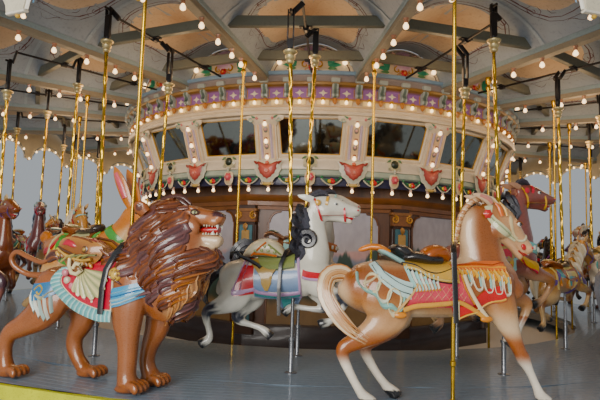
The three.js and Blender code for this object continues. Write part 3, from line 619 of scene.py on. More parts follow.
cornice_lamp = moved(joined([bulb(0.8, sides=7), spun([(0.024, -0.006), (0.034, 0.004), (0.03, 0.03)],
                                                      7, GOLD)]),
                     (0, -3.785, TOP + 3.262))
DRUM_PAINT = finish("drum_paint", roughness=0.42, shade=0.15, specks=0.15, scale=5.0, bump=0.15, coat=0.15)
cornice_ring = ring(above_deck(CORNICE_PROFILE), sides=108, paint=np.array(cornice_paint))
piece("drum_cornice", joined([
    cornice_ring, turned(joined([bracket_cap, bracket_drop]), BRACKETS),
    turned(bracket, BRACKETS), turned(joined([lozenge, glow_painted_board, *side_fillet]), BETWEEN)]),
    "turntable", [DRUM_PAINT], ["cornice"], sharp=40)
piece("cornice_lamps", turned(cornice_lamp, BETWEEN), "turntable", [SOCKET_PAINT, LAMP_GLASS])

# Lunettes: boards that fill the vaults' inner ends over the cornice, cream, each with a carved
# lilac shield in gold scrolls, green leaves, red roses and a pair of lamps.
LUNETTE_AT = 3.795
arch_half = float(arch_reach(np.float64(LUNETTE_AT)))
arch_line = vault(np.full(25, LUNETTE_AT), np.linspace(-arch_half, arch_half, 25), -0.006)[:, [0, 2]]
lunette_outline = np.vstack([arch_line, [(0.6, TOP + 3.64), (-0.6, TOP + 3.64)]])
lunette = moved(plate(lunette_outline, 0.012, 0.2, 3, centre=(0, TOP + 3.75), paint=(0.74, 0.66, 0.52)),
                (0, -LUNETTE_AT, 0))


def tube(path, radii, sides=8, upward=(0, 0, 1), paint=(1, 1, 1), finish=0):
    """A round or flattened bar carried along a path: at each point a ring lies square to the path,
    its first radius along the side vector and its second along the other. radii is one number, a
    pair, one number for each point, or a pair for each point."""
    path, radii = np.asarray(path, float), np.asarray(radii, float)
    if radii.ndim < 2 and radii.shape != (2,):
        radii = np.stack([np.broadcast_to(radii, len(path))] * 2, -1)
    radii = np.broadcast_to(radii, (len(path), 2))
    way = np.gradient(path, axis=0)
    way /= np.linalg.norm(way, axis=1)[:, None] + 1e-12
    side = np.cross(way, np.asarray(upward, float))
    side /= np.linalg.norm(side, axis=1)[:, None] + 1e-12
    square = np.cross(side, way)
    turn = circle(sides)
    points = (path[:, None] + radii[:, :1, None] * np.cos(turn)[None, :, None] * side[:, None]
              + radii[:, 1:, None] * np.sin(turn)[None, :, None] * square[:, None])
    return surface(points, around=True, ends=True, paint=paint, finish=finish)


def spline(knots, count):
    """A smooth curve through the knots: each span is a cubic whose slope at a knot is half the
    chord between the knots beside it."""
    knots = np.asarray(knots, float)
    padded = np.vstack([2 * knots[0] - knots[1], knots, 2 * knots[-1] - knots[-2]])
    share = np.linspace(0, len(knots) - 1, count)
    first = np.minimum(share.astype(int), len(knots) - 2)
    f = (share - first)[:, None]
    a, b, c, d = (padded[first + i] for i in range(4))
    return 0.5 * (2 * b + (c - a) * f + (2 * a - 5 * b + 4 * c - d) * f ** 2
                  + (3 * b - a - 3 * c + d) * f ** 3)


def blossom(size, petals=5, heart=(0.75, 0.35, 0.1), paint=(0.55, 0.04, 0.06), depth=0.5):
    """A carved rose facing the front: a flattened ball whose radius waves once for each petal, the
    inner ring of petals turned by half a petal."""
    share = np.linspace(0, 1, 5)[:, None]
    turn = circle(3 * petals)[None]
    twist = np.where(share < 0.5, math.pi / petals, 0.0)
    radius = size * share * (1 + 0.16 * np.cos(petals * turn + petals * twist))
    rise = size * depth * (np.cos(share * math.pi / 2) + 0.16 * np.cos(share * 14))
    points = np.stack([radius * np.cos(turn), np.broadcast_to(-rise, radius.shape),
                       radius * np.sin(turn)], -1)
    made = surface(points, around=True)
    outward = np.clip(share * 2.2, 0, 1)[..., None]
    tone = np.asarray(heart) + (np.asarray(paint) - np.asarray(heart)) * outward
    return made._replace(paint=np.broadcast_to(tone, points.shape).reshape(-1, 3).copy())


def leaf(start, end, width, paint=(0.05, 0.22, 0.1), lift=0.02):
    """A carved leaf between two points of the x-z plane, widest at a third, humped to the front."""
    share = np.linspace(0, 1, 5)
    start, end = np.array(start), np.array(end)
    line = start + (end - start) * share[:, None]
    path = np.stack([line[:, 0], -0.004 - lift * np.sin(share * math.pi), line[:, 1]], -1)
    wide = width * np.sin(math.pi * share ** 0.7) + 0.001
    return tube(path, np.stack([wide, 0.008 * np.sin(share * math.pi) + 0.001], -1), 4, (0, 1, 0.01),
                paint=paint)


def volute(centre, size, hand, turns=1.2, thick=0.014, paint=GOLD, start=90):
    """A gilded scroll in the x-z plane, its radius falling in step with its angle."""
    share = np.linspace(0, 1, 11)
    angle = math.radians(start) + hand * share * turns * 2 * math.pi
    radius = size * (1 - 0.8 * share)
    path = np.stack([centre[0] + radius * np.cos(angle), np.full(11, -0.014),
                     centre[1] + radius * np.sin(angle)], -1)
    return tube(path, thick * (1.1 - 0.5 * share), 5, (0, 1, 0.001), paint=paint)


LILAC, ROSE_RED, SEA_GREEN = (0.5, 0.3, 0.5), (0.62, 0.07, 0.08), (0.05, 0.3, 0.2)
turn = circle(28)
shield_line = np.stack([0.17 * np.cos(turn), 0.15 * np.sin(turn) - 0.03 * (np.sin(turn) < 0)
                        * np.abs(np.sin(turn))], -1)
lunette_parts = [moved(plate(shield_line, 0.06, 0.5, 3, paint=LILAC, rim=(0.7, 0.55, 0.62)), (0, 0, 0.24))]
for side in (-1, 1):
    lunette_parts += [
        volute((side * 0.19, 0.26), 0.085, side, paint=(0.75, 0.5, 0.42)),
        volute((side * 0.1, 0.1), 0.07, -side, paint=GOLD, start=200 if side > 0 else -20),
        volute((side * 0.07, 0.03), 0.05, side, paint=(0.7, 0.42, 0.22)),
        leaf((side * 0.22, 0.1), (side * 0.36, 0.22), 0.035, SEA_GREEN),
        leaf((side * 0.22, 0.09), (side * 0.42, 0.1), 0.035, SEA_GREEN),
        leaf((side * 0.22, 0.12), (side * 0.3, 0.3), 0.03, SEA_GREEN),
        leaf((side * 0.22, 0.05), (side * 0.36, 0.04), 0.025, (0.12, 0.3, 0.14)),
        moved(blossom(0.055, paint=ROSE_RED, heart=(0.75, 0.2, 0.2)), (side * 0.33, -0.01, 0.21)),
        moved(bulb(1.2), (side * 0.46, -0.05, 0.17))]
lunette_parts.append(moved(blossom(0.05, 6, (0.85, 0.6, 0.2), ROSE_RED), (0, -0.03, 0.055)))
lunette_trim = moved(joined(lunette_parts), (0, -LUNETTE_AT - 0.012, TOP + 3.655))
lunette_line = arch_line * [0.93, 1.0] - [0, 0.03]
lunette_edge = tube(np.stack([lunette_line[:, 0], np.full(25, -LUNETTE_AT - 0.012), lunette_line[:, 1]],
                             -1)[::2], 0.006, 4,
                    (0, 1, 0.001), paint=MAROON)
piece("lunettes", turned(joined([lunette, lunette_edge, lunette_trim]), MIDBAYS), "turntable",
      [DRUM_PAINT, LAMP_GLASS], sharp=40)

# Mirrors: eighteen leaning panes of old silvered glass in cream frames with a gilt inner edge.
MIRROR_LOW, MIRROR_HIGH = (3.53, TOP + 2.48), (3.75, TOP + 3.07)
FRAME_WIDTH, PILASTER_HALF = 0.055, 0.155
lean_length = math.hypot(MIRROR_HIGH[0] - MIRROR_LOW[0], MIRROR_HIGH[1] - MIRROR_LOW[1])
MIRROR_LEAN = math.atan2(MIRROR_HIGH[0] - MIRROR_LOW[0], MIRROR_HIGH[1] - MIRROR_LOW[1])


def leaned(form, face_radius):
    """A form drawn upright (x across, z up from 0, front at -y) laid on the leaning mirrors, whose
    foot lies this far out, in the bay's frame."""
    x, y, z = form.points.T
    c, s = math.cos(MIRROR_LEAN), math.sin(MIRROR_LEAN)
    points = np.stack([x, -face_radius + y * c - z * s, MIRROR_LOW[1] + z * c + y * s], -1)
    return form._replace(points=points)


def frame_of(width_low, width_high, height, bar, depth, paint, finish=0):
    """Four mitred bars round an opening that is wider at its top, each with a rounded face."""
    corners = np.array([(-width_low, 0), (width_low, 0), (width_high, height), (-width_high, height)])
    centre = corners.mean(0)
    shrink = 1 - bar / np.abs(corners - centre)
    outer, inner = corners, centre + (corners - centre) * shrink
    rows = [(outer, 0.002), (outer, -depth * 0.6), (outer + (inner - outer) * 0.3, -depth),
            (outer + (inner - outer) * 0.7, -depth), (inner, -depth * 0.5), (inner, 0.002)]
    points = np.stack([np.column_stack([p[:, 0], np.full(4, y), p[:, 1]]) for p, y in rows], 1)
    return surface(points, around=True, along=True, paint=paint, finish=finish)


mirror_face = MIRROR_LOW[0] * math.cos(half_bay)
half_low, half_high = MIRROR_LOW[0] * math.sin(half_bay), MIRROR_HIGH[0] * math.sin(half_bay)
glass = leaned(block((-half_low + 0.01, half_low - 0.01), (0.0, 0.012), (0.0, lean_length),
                     0.003), mirror_face)
outer_frame = frame_of(half_low - PILASTER_HALF + 0.02, half_high - PILASTER_HALF + 0.02,
                       lean_length, FRAME_WIDTH,
                       0.03, CREAM)
gilt_frame = moved(frame_of(half_low - PILASTER_HALF - 0.03, half_high - PILASTER_HALF - 0.03,
                            lean_length - 2 * FRAME_WIDTH + 0.01, 0.016, 0.016, GOLD),
                   (0, 0, FRAME_WIDTH - 0.005))
MIRROR = finish("mirror_glass", (0.27, 0.29, 0.28), roughness=0.03, shade=0.12, specks=0.1, scale=1.6,
                bump=0.02, metallic=1.0)
piece("drum_mirrors", turned(glass, MIDBAYS), "turntable", [MIRROR], ["mirrors"], sharp=20)
piece("mirror_frames", turned(leaned(joined([outer_frame, gilt_frame]), mirror_face), MIDBAYS), "turntable",
      [DRUM_PAINT], sharp=40)

# Pilasters: a leaning board over each joint of the mirrors, cream with lilac flutes, two painted
# ovals and three lamps one over another.
PEACH, FLUTE = (0.8, 0.56, 0.34), (0.52, 0.42, 0.52)
oval_turn = circle(12)
oval = np.stack([0.03 * np.cos(oval_turn), 0.042 * np.sin(oval_turn)], -1)
pilaster_parts = [block((-PILASTER_HALF, PILASTER_HALF), (-0.05, 0.0), (-0.03, lean_length), 0.008, CREAM),
                  block((-0.045, 0.045), (-0.062, -0.045), (0.0, lean_length - 0.02), 0.006, PEACH)]
for side in (-1, 1):
    pilaster_parts += [
        tube([(side * 0.072, -0.052, z) for z in np.linspace(0.0, lean_length - 0.02, 4)], (0.018, 0.016),
             8, (0, 1, 0.01),
             paint=FLUTE),
        tube([(side * 0.118, -0.048, z) for z in np.linspace(-0.02, lean_length - 0.01, 4)],
             (0.014, 0.012), 8,
             (0, 1, 0.01), paint=PEACH)]
for height in (0.175, 0.415):
    pilaster_parts += [moved(plate(oval * 1.25, 0.012, rows=2, paint=(0.16, 0.18, 0.15),
                                   rim=(0.3, 0.28, 0.22)), (0, -0.06, height)),
                       moved(blossom(0.022, 5, (0.8, 0.7, 0.5), (0.66, 0.36, 0.34)), (0, -0.07, height))]
for height in (0.065, 0.295, 0.545):
    pilaster_parts += [moved(bulb(0.95, sides=7), (0, -0.085, height - 0.01)),
                       moved(spun([(0.02, -0.01), (0.026, 0.004), (0.016, 0.012)], 7, PINK),
                             (0, -0.08, height))]
capital = [(-0.165, -0.115), (0.165, -0.115), (0.2, -0.07), (0.27, -0.035), (0.285, 0.02), (0.2, 0.03),
           (-0.2, 0.03), (-0.285, 0.02),
           (-0.27, -0.035), (-0.2, -0.07)]
pilaster_parts.append(moved(plate(capital, 0.03, 0.3, 2, (0, -0.03), CREAM),
                            (0, -0.052, lean_length - 0.04)))
for side in (-1, 1):
    pilaster_parts += [moved(volute((side * 0.205, 0.0), 0.038, side, 1.0, 0.009, (0.4, 0.52, 0.42),
                                    200 if side > 0 else -20),
                             (0, -0.075, lean_length - 0.065)),
                       moved(blossom(0.022, 4, (0.75, 0.5, 0.4), (0.66, 0.24, 0.24)),
                             (side * 0.115, -0.085, lean_length - 0.05)),
                       moved(leaf((side * 0.13, 0.0), (side * 0.2, 0.035), 0.014, (0.14, 0.3, 0.2)),
                             (0, -0.078, lean_length - 0.045))]
pilaster = leaned(joined(pilaster_parts), MIRROR_LOW[0] - 0.005)
piece("drum_pilasters", turned(pilaster, SWEEPS), "turntable", [DRUM_PAINT, LAMP_GLASS],
      sharp=40)

# Lower band: a cream and grey-green moulding under the mirrors, a dark blue coving behind carved
# swags of leaves and roses, with red shields under the pilasters and gilt shells between them.
BAND_PROFILE = [(3.44, 2.082), (3.47, 2.082), (3.475, 2.1), (3.475, 2.2), (3.52, 2.215), (3.535, 2.235),
                (3.525, 2.3), (3.545, 2.312), (3.545, 2.4), (3.56, 2.425), (3.56, 2.455), (3.54, 2.478),
                (3.44, 2.478)]
NAVY, BAND_GREEN = (0.035, 0.035, 0.075), (0.36, 0.42, 0.34)
band_paint = [NAVY] * 4 + [BAND_GREEN] * 3 + [CREAM] * 6
SWAG_LAMPS = np.arange(FIRST, FIRST + 360, 5.0)
band_ring = ring(above_deck(BAND_PROFILE), sides=72, paint=np.array(band_paint))


def swag(width, fall):
    """A garland between two pegs: a hanging parabola of rope, thickest in the middle, with leaves
    fanned along it and three flowers in its fold."""
    share = np.linspace(-1, 1, 9)
    path = np.stack([share * width, np.full(9, -0.012), fall * (share ** 2 - 1)], -1)
    thick = 0.01 + 0.012 * (1 - share ** 2)
    parts = [tube(path, thick, 5, (0, 1, 0.001), paint=(0.035, 0.1, 0.05)),
             tube(path + [0, -0.004, -0.036], 0.01, 4, (0, 1, 0.001), paint=(0.66, 0.64, 0.5))]
    for s in np.linspace(-0.8, 0.8, 5):
        foot = np.array([s * width, fall * (s ** 2 - 1)])
        tip = foot + np.array([0.045 * s, 0.05 - 0.02 * abs(s)])
        parts.append(leaf(foot, tip, 0.021, (0.06, 0.25, 0.1) if abs(s) > 0.3 else (0.16, 0.32, 0.08),
                          0.02))
    parts += [moved(blossom(0.034, 5, (0.7, 0.1, 0.05), (0.6, 0.03, 0.04)), (0.022, -0.03, -fall + 0.012)),
              moved(blossom(0.028, 5, (0.6, 0.4, 0.05), (0.7, 0.48, 0.06)),
                    (-0.026, -0.028, -fall + 0.018)),
              moved(blossom(0.018, 5, (0.5, 0.1, 0.05), (0.6, 0.06, 0.05)), (0.004, -0.035, -fall + 0.042))]
    return joined(parts)


def crest():
    """A shield under a pilaster: a pink and red heart in a silvery leafy border, with a rose in it
    and a gilt foot."""
    half = [(0.0, 0.0), (0.07, 0.006), (0.13, 0.03), (0.185, 0.05), (0.235, 0.04), (0.215, -0.005),
            (0.195, -0.055), (0.205, -0.1),
            (0.175, -0.145), (0.165, -0.195), (0.115, -0.225), (0.085, -0.27), (0.035, -0.29), (0.0, -0.32)]
    line = np.array(half + [(-x, z) for x, z in half[-2:0:-1]])
    parts = [plate(line, 0.03, 0.5, 3, (0, -0.12), paint=(0.34, 0.36, 0.28), rim=(0.66, 0.62, 0.48)),
             moved(plate(line * [0.74, 0.74] - [0, 0.022], 0.042, 0.5, 3, (0, -0.12),
                         paint=(0.56, 0.16, 0.13), rim=(0.22, 0.03, 0.03)),
                   (0, -0.014, 0)),
             moved(blossom(0.055, 6, (0.72, 0.34, 0.28), (0.6, 0.2, 0.16)), (0, -0.048, -0.125)),
             moved(blossom(0.028, 5, (0.75, 0.5, 0.3), (0.66, 0.14, 0.1)), (0, -0.04, -0.01)),
             moved(plate([(-0.085, 0), (-0.03, -0.022), (0.03, -0.022), (0.085, 0), (0.05, 0.022),
                          (-0.05, 0.022)], 0.022, rows=2,
                         paint=(0.6, 0.42, 0.16)), (0, -0.012, -0.315))]
    for side in (-1, 1):
        parts += [volute((side * 0.085, -0.305), 0.024, side, 1.0, 0.008, (0.66, 0.55, 0.36)),
                  leaf((side * 0.14, -0.03), (side * 0.215, 0.025), 0.018, (0.3, 0.06, 0.05), 0.03)]
    return joined(parts)


def shell():
    """A dark glass roundel in a scalloped gilt frame, over beads and a rose on a cream shield."""
    fan = circle(20)
    scallops = 0.1 * (1 + 0.09 * np.cos(fan * 5 + math.pi / 2))
    line = scallops[:, None] * np.stack([np.cos(fan), np.sin(fan)], -1)
    shield = np.stack([0.105 * np.sin(fan) * (0.86 + 0.14 * np.cos(2 * fan)),
                       0.105 * np.cos(fan) - 0.02 * np.cos(fan) ** 2], -1)
    parts = [moved(plate(line, 0.026, 0.5, 2, paint=(0.46, 0.44, 0.26), rim=(0.62, 0.52, 0.34)),
                   (0, 0, 0.015)),
             moved(plate(line[::2] * 0.62, 0.03, 0.5, 3, paint=(0.02, 0.03, 0.016)), (0, -0.02, 0.015)),
             moved(plate(shield, 0.026, 0.5, 2, paint=(0.6, 0.4, 0.22), rim=(0.7, 0.6, 0.42)),
                   (0, 0, -0.215)),
             moved(blossom(0.058, 6, (0.74, 0.34, 0.34), (0.62, 0.14, 0.16)), (0, -0.026, -0.215))]
    for side in (-1, 1):
        parts += [leaf((side * 0.05, 0.085), (side * 0.125, 0.04), 0.016, (0.14, 0.24, 0.12), 0.02),
                  volute((side * 0.075, -0.055), 0.026, -side, 1.0, 0.008, (0.52, 0.5, 0.34))]
    for k, z in enumerate((-0.085, -0.115)):
        bead = 0.02 - 0.003 * k
        parts.append(moved(spun([(0.004, -bead), (bead, -bead / 2), (bead, bead / 2), (0.004, bead)], 6,
                                (0.62, 0.62, 0.5)), (0, -0.022, z)))
    return joined(parts)


drop_lamp = joined([bulb(0.85, sides=7), spun([(0.012, -0.004), (0.026, 0.006), (0.018, 0.03),
                                               (0.028, 0.045), (0.01, 0.06)], 7,
                                     (0.7, 0.5, 0.42))])
BAND_FACE = 3.545
garland = moved(swag(0.15, 0.088), (0, -3.505, TOP + 2.215))
trims = [turned(garland, SWEEPS + 5), turned(garland, SWEEPS - 5),
         turned(moved(crest(), (0, -BAND_FACE - 0.015, TOP + 2.4)), SWEEPS),
         turned(moved(shell(), (0, -BAND_FACE - 0.012, TOP + 2.41)), MIDBAYS),
         turned(moved(drop_lamp, (0, -3.5, TOP + 2.045)), SWAG_LAMPS)]
piece("lower_mouldings", band_ring, "turntable", [DRUM_PAINT], ["lower_band"], sharp=40)
piece("swags_and_shields", joined(trims), "turntable", [DRUM_PAINT, LAMP_GLASS], sharp=45)

# Rounding boards: bent boards round the rim, sawn to two arches a bay, with a white beaded edge,
# bulbs along the arches and turned drops between them. Outside they are panelled and gilded.
RIM_INSIDE, RIM_MIDDLE, RIM_OUTSIDE, RIM_LOW, RIM_HIGH = 7.19, 7.215, 7.244, TOP + 3.16, TOP + 4.245
ARCH_HALF, ARCH_RISE = 4.15, 0.33            # half an arch's width in degrees, and its rise
CENTRES = FIRST + BAY / 4 + BAY / 2 * np.arange(2 * BAYS)


def arch_height(aside):
    """The lower edge over a bay's half, an ellipse of the arch's half width and rise."""
    return RIM_LOW + ARCH_RISE * np.sqrt(np.maximum(0, 1 - (aside / ARCH_HALF) ** 2))


aside = np.concatenate([[-5.0, -4.4], -ARCH_HALF * np.cos(np.linspace(0, math.pi, 13)), [4.4, 4.9999]])
turn = np.radians(aside)
low = arch_height(aside)
shape = [(RIM_INSIDE, low + 0.004), (RIM_OUTSIDE - 0.004, low), (RIM_OUTSIDE, low + 0.01),
         (RIM_OUTSIDE, np.full(len(aside), RIM_HIGH)), (RIM_INSIDE, np.full(len(aside), RIM_HIGH))]
points = np.stack([np.stack([r * np.sin(turn), -r * np.cos(turn), z], -1) for r, z in shape], 1)
rim_board = surface(points, around=True, paint=(0.62, 0.57, 0.44))
arch_turn = np.radians(-ARCH_HALF * np.cos(np.linspace(0, math.pi, 13)) * 0.999)
arch_z = arch_height(np.degrees(arch_turn))
edge_path = np.stack([RIM_MIDDLE * np.sin(arch_turn), -RIM_MIDDLE * np.cos(arch_turn), arch_z], -1)
edge_bead = tube(edge_path, (0.028, 0.016), 6, (0, 1, 0.001), paint=(0.8, 0.76, 0.66))
inner_line = tube(np.stack([RIM_INSIDE * np.sin(arch_turn * 0.9), -RIM_INSIDE * np.cos(arch_turn * 0.9),
                            arch_z + 0.06], -1), 0.008, 4, (0, 1, 0.001), paint=(0.1, 0.2, 0.3))
foot_path = np.stack([RIM_MIDDLE * np.sin(np.radians([4.1, 4.6, 5.4, 5.9])),
                      -RIM_MIDDLE * np.cos(np.radians([4.1, 4.6, 5.4, 5.9])),
                      np.full(4, RIM_LOW)], -1)
foot_bead = tube(foot_path, (0.028, 0.016), 8, (0, 0, 1), paint=(0.8, 0.76, 0.66))
pendant_turn = math.radians(5.0)
pendant = moved(spun([(0.006, -0.05), (0.018, -0.042), (0.024, -0.028), (0.014, -0.016), (0.028, -0.008),
                      (0.03, 0.0)],
                     10, (0.6, 0.4, 0.12)),
                (7.205 * math.sin(pendant_turn), -7.205 * math.cos(pendant_turn), RIM_LOW + 0.002))
rim_lamps = [moved(bulb(0.75, sides=6), (7.16 * math.sin(t), -7.16 * math.cos(t),
                                         arch_height(math.degrees(t)) + 0.02))
             for t in np.radians([-4.9, -3.3, -1.7, 0, 1.7, 3.3])]
rail_low = [(RIM_INSIDE + 0.01, TOP + 3.66), (7.246, TOP + 3.66), (7.249, TOP + 3.7), (7.246, TOP + 3.74),
            (RIM_INSIDE + 0.01, TOP + 3.74)]
rail_high = [(RIM_INSIDE, TOP + 4.16), (7.249, TOP + 4.16), (7.249, TOP + 4.249), (RIM_INSIDE, TOP + 4.249)]
medal_turn = circle(24)
medal_line = np.stack([0.34 * np.cos(medal_turn), 0.17 * np.sin(medal_turn)], -1) * (
    1 + 0.05 * np.cos(8 * medal_turn))[:, None]


def flipped(form):
    """A form that faced the front (-y) as it stands on a board's outer face at the rim: its own
    depth is pressed so that it stays inside the machine's outline."""
    return form._replace(points=form.points * [1, 0.05, 1])


def rimmed(form):
    """A flat form on the rim bent round it: what lies aside goes round by its angle."""
    x, y, z = form.points.T
    out, turn = 7.243 - y, x / 7.243
    return form._replace(points=np.stack([out * np.sin(turn), -out * np.cos(turn), z + TOP + 3.95], -1))


medallion = joined([flipped(plate(medal_line * 1.12, 0.05, rows=2, paint=(0.55, 0.36, 0.1))),
                    moved(flipped(plate(medal_line, 0.05, rows=2, paint=(0.3, 0.45, 0.52),
                                        rim=(0.66, 0.6, 0.48))), (0, -0.002, 0)),
                    *[moved(flipped(leaf((side * 0.4, 0.0), (side * 0.72, 0.06 * k), 0.05,
                                         (0.2, 0.32, 0.18))), (0, -0.001, 0))
                      for side in (-1, 1) for k in (-1.2, 1.2)]])
rim_turned = [turned(joined([rim_board, edge_bead, inner_line, foot_bead, pendant, *rim_lamps]), CENTRES),
              ring(rail_low, 108, (0.55, 0.18, 0.12)), ring(rail_high, 108, (0.3, 0.42, 0.48)),
              turned(rimmed(medallion), CENTRES)]
rim_form = joined(rim_turned)
lamp_faces = np.all(np.isclose(rim_form.paint[rim_form.faces[:, 0]], LIT), axis=1)
RIM_PAINT = finish("rim_paint", roughness=0.45, shade=0.18, specks=0.14, scale=3.0, bump=0.15)
piece("rounding_boards_carved", rim_form._replace(finish=lamp_faces.astype(int)), "turntable",
      [RIM_PAINT, LAMP_GLASS],
      ["rounding_boards"], sharp=40)

# Cranks: round iron bars, forged into two throws, one for each ring of jumpers. They turn in iron
# brackets that are bolted under the crossbars, and in posts on an inner ring.
MIDDLE_ROW, INNER_ROW = 6.03, 5.2
BAR_SIDE, THROW, CRANK_RADIUS, REACH = 0.03, 0.15, 0.0148, 0.042
CRANK_HEIGHT = TOP + 3.64 - 0.0003 - BAR_SIDE * math.sqrt(0.5)
QUARTERS = [(-1, -1), (-1, 1), (1, 1), (1, -1)]      # side and height of a bay's middle pin, in order
IRON = (0.018, 0.018, 0.022)
crank_line = [(1.47, 0), (3.2, 0), (INNER_ROW - REACH, 0), (INNER_ROW - REACH, -THROW),
              (INNER_ROW + REACH, -THROW), (INNER_ROW + REACH, 0), (5.6, 0), (MIDDLE_ROW - REACH, 0),
              (MIDDLE_ROW - REACH, THROW), (MIDDLE_ROW + REACH, THROW)]


def crank(side, high):
    """The bar's straight stretches as overlapping rods along the radius and along the throw."""
    across, up = side * math.sqrt(0.5), high * math.sqrt(0.5)
    parts = []
    for (r0, t0), (r1, t1) in zip(crank_line, crank_line[1:]):
        ends = np.array([(t0 * across, -r0, CRANK_HEIGHT + t0 * up),
                         (t1 * across, -r1, CRANK_HEIGHT + t1 * up)])
        way = (ends[1] - ends[0]) / np.linalg.norm(ends[1] - ends[0])
        ends += np.outer([-0.012, 0.012], way)
        thick = (CRANK_RADIUS, BAR_SIDE) if t1 != t0 else CRANK_RADIUS
        parts.append(tube(np.linspace(*ends, 3), thick, 8, (up, 0.01, -across), paint=IRON))
    return joined(parts)


bracket_parts = []
for bar_radius in CROSSBAR_RADII:
    face = bar_radius * math.cos(half_bay)
    bracket_parts += [block((-0.075, 0.075), (-face - 0.036, -face + 0.036),
                            (TOP + 3.626, TOP + 3.641), 0.003, IRON),
                      tube([(0, -face - 0.034, CRANK_HEIGHT), (0, -face, CRANK_HEIGHT),
                            (0, -face + 0.034, CRANK_HEIGHT)],
                           0.034, 12, paint=IRON)]
    bracket_parts += [moved(spun([(0.01, -0.008), (0.012, 0.0), (0.006, 0.006)], 6, IRON),
                            (x, -face, TOP + 3.626))
                      for x in (-0.058, 0.058)]
post_parts = [block((-0.025, 0.025), (-1.54, -1.46), (TOP + 3.47, CRANK_HEIGHT + 0.04), 0.004, IRON)]
cranks = [ring(rectangle((1.45, 1.55), (TOP + 3.44, TOP + 3.4997)), BAYS, IRON)]
for bay, angle in enumerate(MIDBAYS):
    cranks.append(turned(joined([crank(*QUARTERS[bay % 4]), *bracket_parts, *post_parts]), angle))
BLACK_IRON = finish("black_iron", roughness=0.38, shade=0.3, specks=0.3, scale=9.0, bump=0.3, metallic=0.35)
piece("cranks", joined(cranks), "turntable", [BLACK_IRON], ["crank_set"])

# Platform: narrow boards laid square to each bay's middle, painted grey blue and varnished, with
# a hair of shadow between them, over the joists and the ring that hang on brass rods.
DECK_INNER, DECK_SPLIT, DECK_RIM, BOARD, SEAM, BOARD_THICK = 4.772, 6.48, 7.24, 0.082, 0.0026, 0.05
TILTED = math.radians(BAY / 2)


def deck(inner, rim, paint):
    """The boards of one bay between two radii: each is a bar across the bay whose ends lie on the
    bay's sides, and whose upper edges are eased; the outermost follow the rim by a curved cut."""
    rows = np.arange(inner * math.cos(TILTED), rim, BOARD)
    bars = []
    for near in rows:
        far = min(near + BOARD - SEAM, rim - 0.0005)
        if far - near < 0.004:
            continue
        depth = np.array([near, near + 0.0015, far - 0.0015, far])
        most = np.degrees(np.arccos(np.clip(depth / rim, -1, 1)))
        least = np.degrees(np.arccos(np.clip(depth / inner, -1, 1)))
        for low_side, high_side in ([(-1, 1)] if near > inner else [(-1, 0), (0, 1)]):
            span = np.linspace(0, 1, 2)[:, None]
            outer = np.minimum(BAY / 2, most)
            start = -outer if low_side < 0 else np.minimum(least, outer)
            stop = outer if high_side > 0 else -np.minimum(least, outer)
            angle = np.radians(start + (stop - start) * span)
            x = depth * np.tan(angle)
            tops = np.array([-0.0012, 0, 0, -0.0012])
            upper = np.stack([x, np.broadcast_to(-depth, x.shape), np.broadcast_to(TOP + tops, x.shape)],
                             -1)
            lower = upper[:, ::-1].copy()
            lower[..., 2] = TOP - BOARD_THICK
            bars.append(surface(np.concatenate([upper, lower], 1), around=True, ends=True, paint=paint))
    return joined(bars)


DECK_GREY = (0.195, 0.245, 0.3)
inner_boards = deck(DECK_INNER, DECK_SPLIT - 0.001, DECK_GREY)
outer_boards = deck(DECK_SPLIT, DECK_RIM, DECK_GREY)
DECK_PAINT = finish("deck_varnish", roughness=0.34, shade=0.08, specks=0.04, scale=1.4, bump=0.03,
                    coat=0.35)
piece("inner_deck_boards", turned(inner_boards, MIDBAYS), "turntable", [DECK_PAINT],
      ["inner_deck"], sharp=20)
piece("outer_deck_boards", turned(outer_boards, MIDBAYS), "turntable", [DECK_PAINT],
      ["outer_row_1", "outer_row_2", "outer_row_3"], sharp=20)

# Underframe: planed joists under the boards, painted tan, that run out from a timber ring, which
# hangs on turned brass rods from the iron ring over the house.
UNDER_TOP, JOIST_HEIGHT, HANGER_RADIUS = TOP - 0.0503, 0.11, 4.715
JOIST_TAN = (0.2, 0.19, 0.17)
joist = block((-0.045, 0.045), (-7.195, -HANGER_RADIUS), (UNDER_TOP - JOIST_HEIGHT, UNDER_TOP), 0.005,
              JOIST_TAN)
under_ring = ring(rectangle((HANGER_RADIUS - 0.045, HANGER_RADIUS + 0.045),
                            (UNDER_TOP - JOIST_HEIGHT, UNDER_TOP)), 72, JOIST_TAN)
hanger_profile = [(0.015, UNDER_TOP - 0.05), (0.015, TOP + 0.9), (0.021, TOP + 0.91), (0.021, TOP + 0.95),
                  (0.015, TOP + 0.96),
                  (0.015, TOP + 3.3), (0.034, TOP + 3.36), (0.02, TOP + 3.4), (0.04, TOP + 3.46),
                  (0.04, TOP + 3.4997)]
hanger = moved(spun(hanger_profile, 10, finish=1), (0, -HANGER_RADIUS, 0))
BRASS = finish("brass", (0.6, 0.4, 0.1), roughness=0.24, shade=0.35, specks=0.25, scale=6.0,
               bump=0.12, metallic=0.9)
piece("joists_and_hangers", joined([under_ring, turned(joist, SWEEPS), turned(hanger, SWEEPS)]),
      "turntable",
      [TIMBER, BRASS], ["underframe"])


def refinish(node, material):
    """Gives a node of the frame another finish in place of its plain colour."""
    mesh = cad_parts[node].data
    mesh.materials.clear()
    mesh.materials.append(material)


refinish("deck_edge", finish("edge_yellow", (0.55, 0.57, 0.06), roughness=0.4, shade=0.2, specks=0.3,
                             scale=6.0))
refinish("tie_rods", BLACK_IRON)
refinish("centre_pole", finish("pole_paint", (0.36, 0.34, 0.28), roughness=0.5, shade=0.2, specks=0.2,
                               scale=4.0))

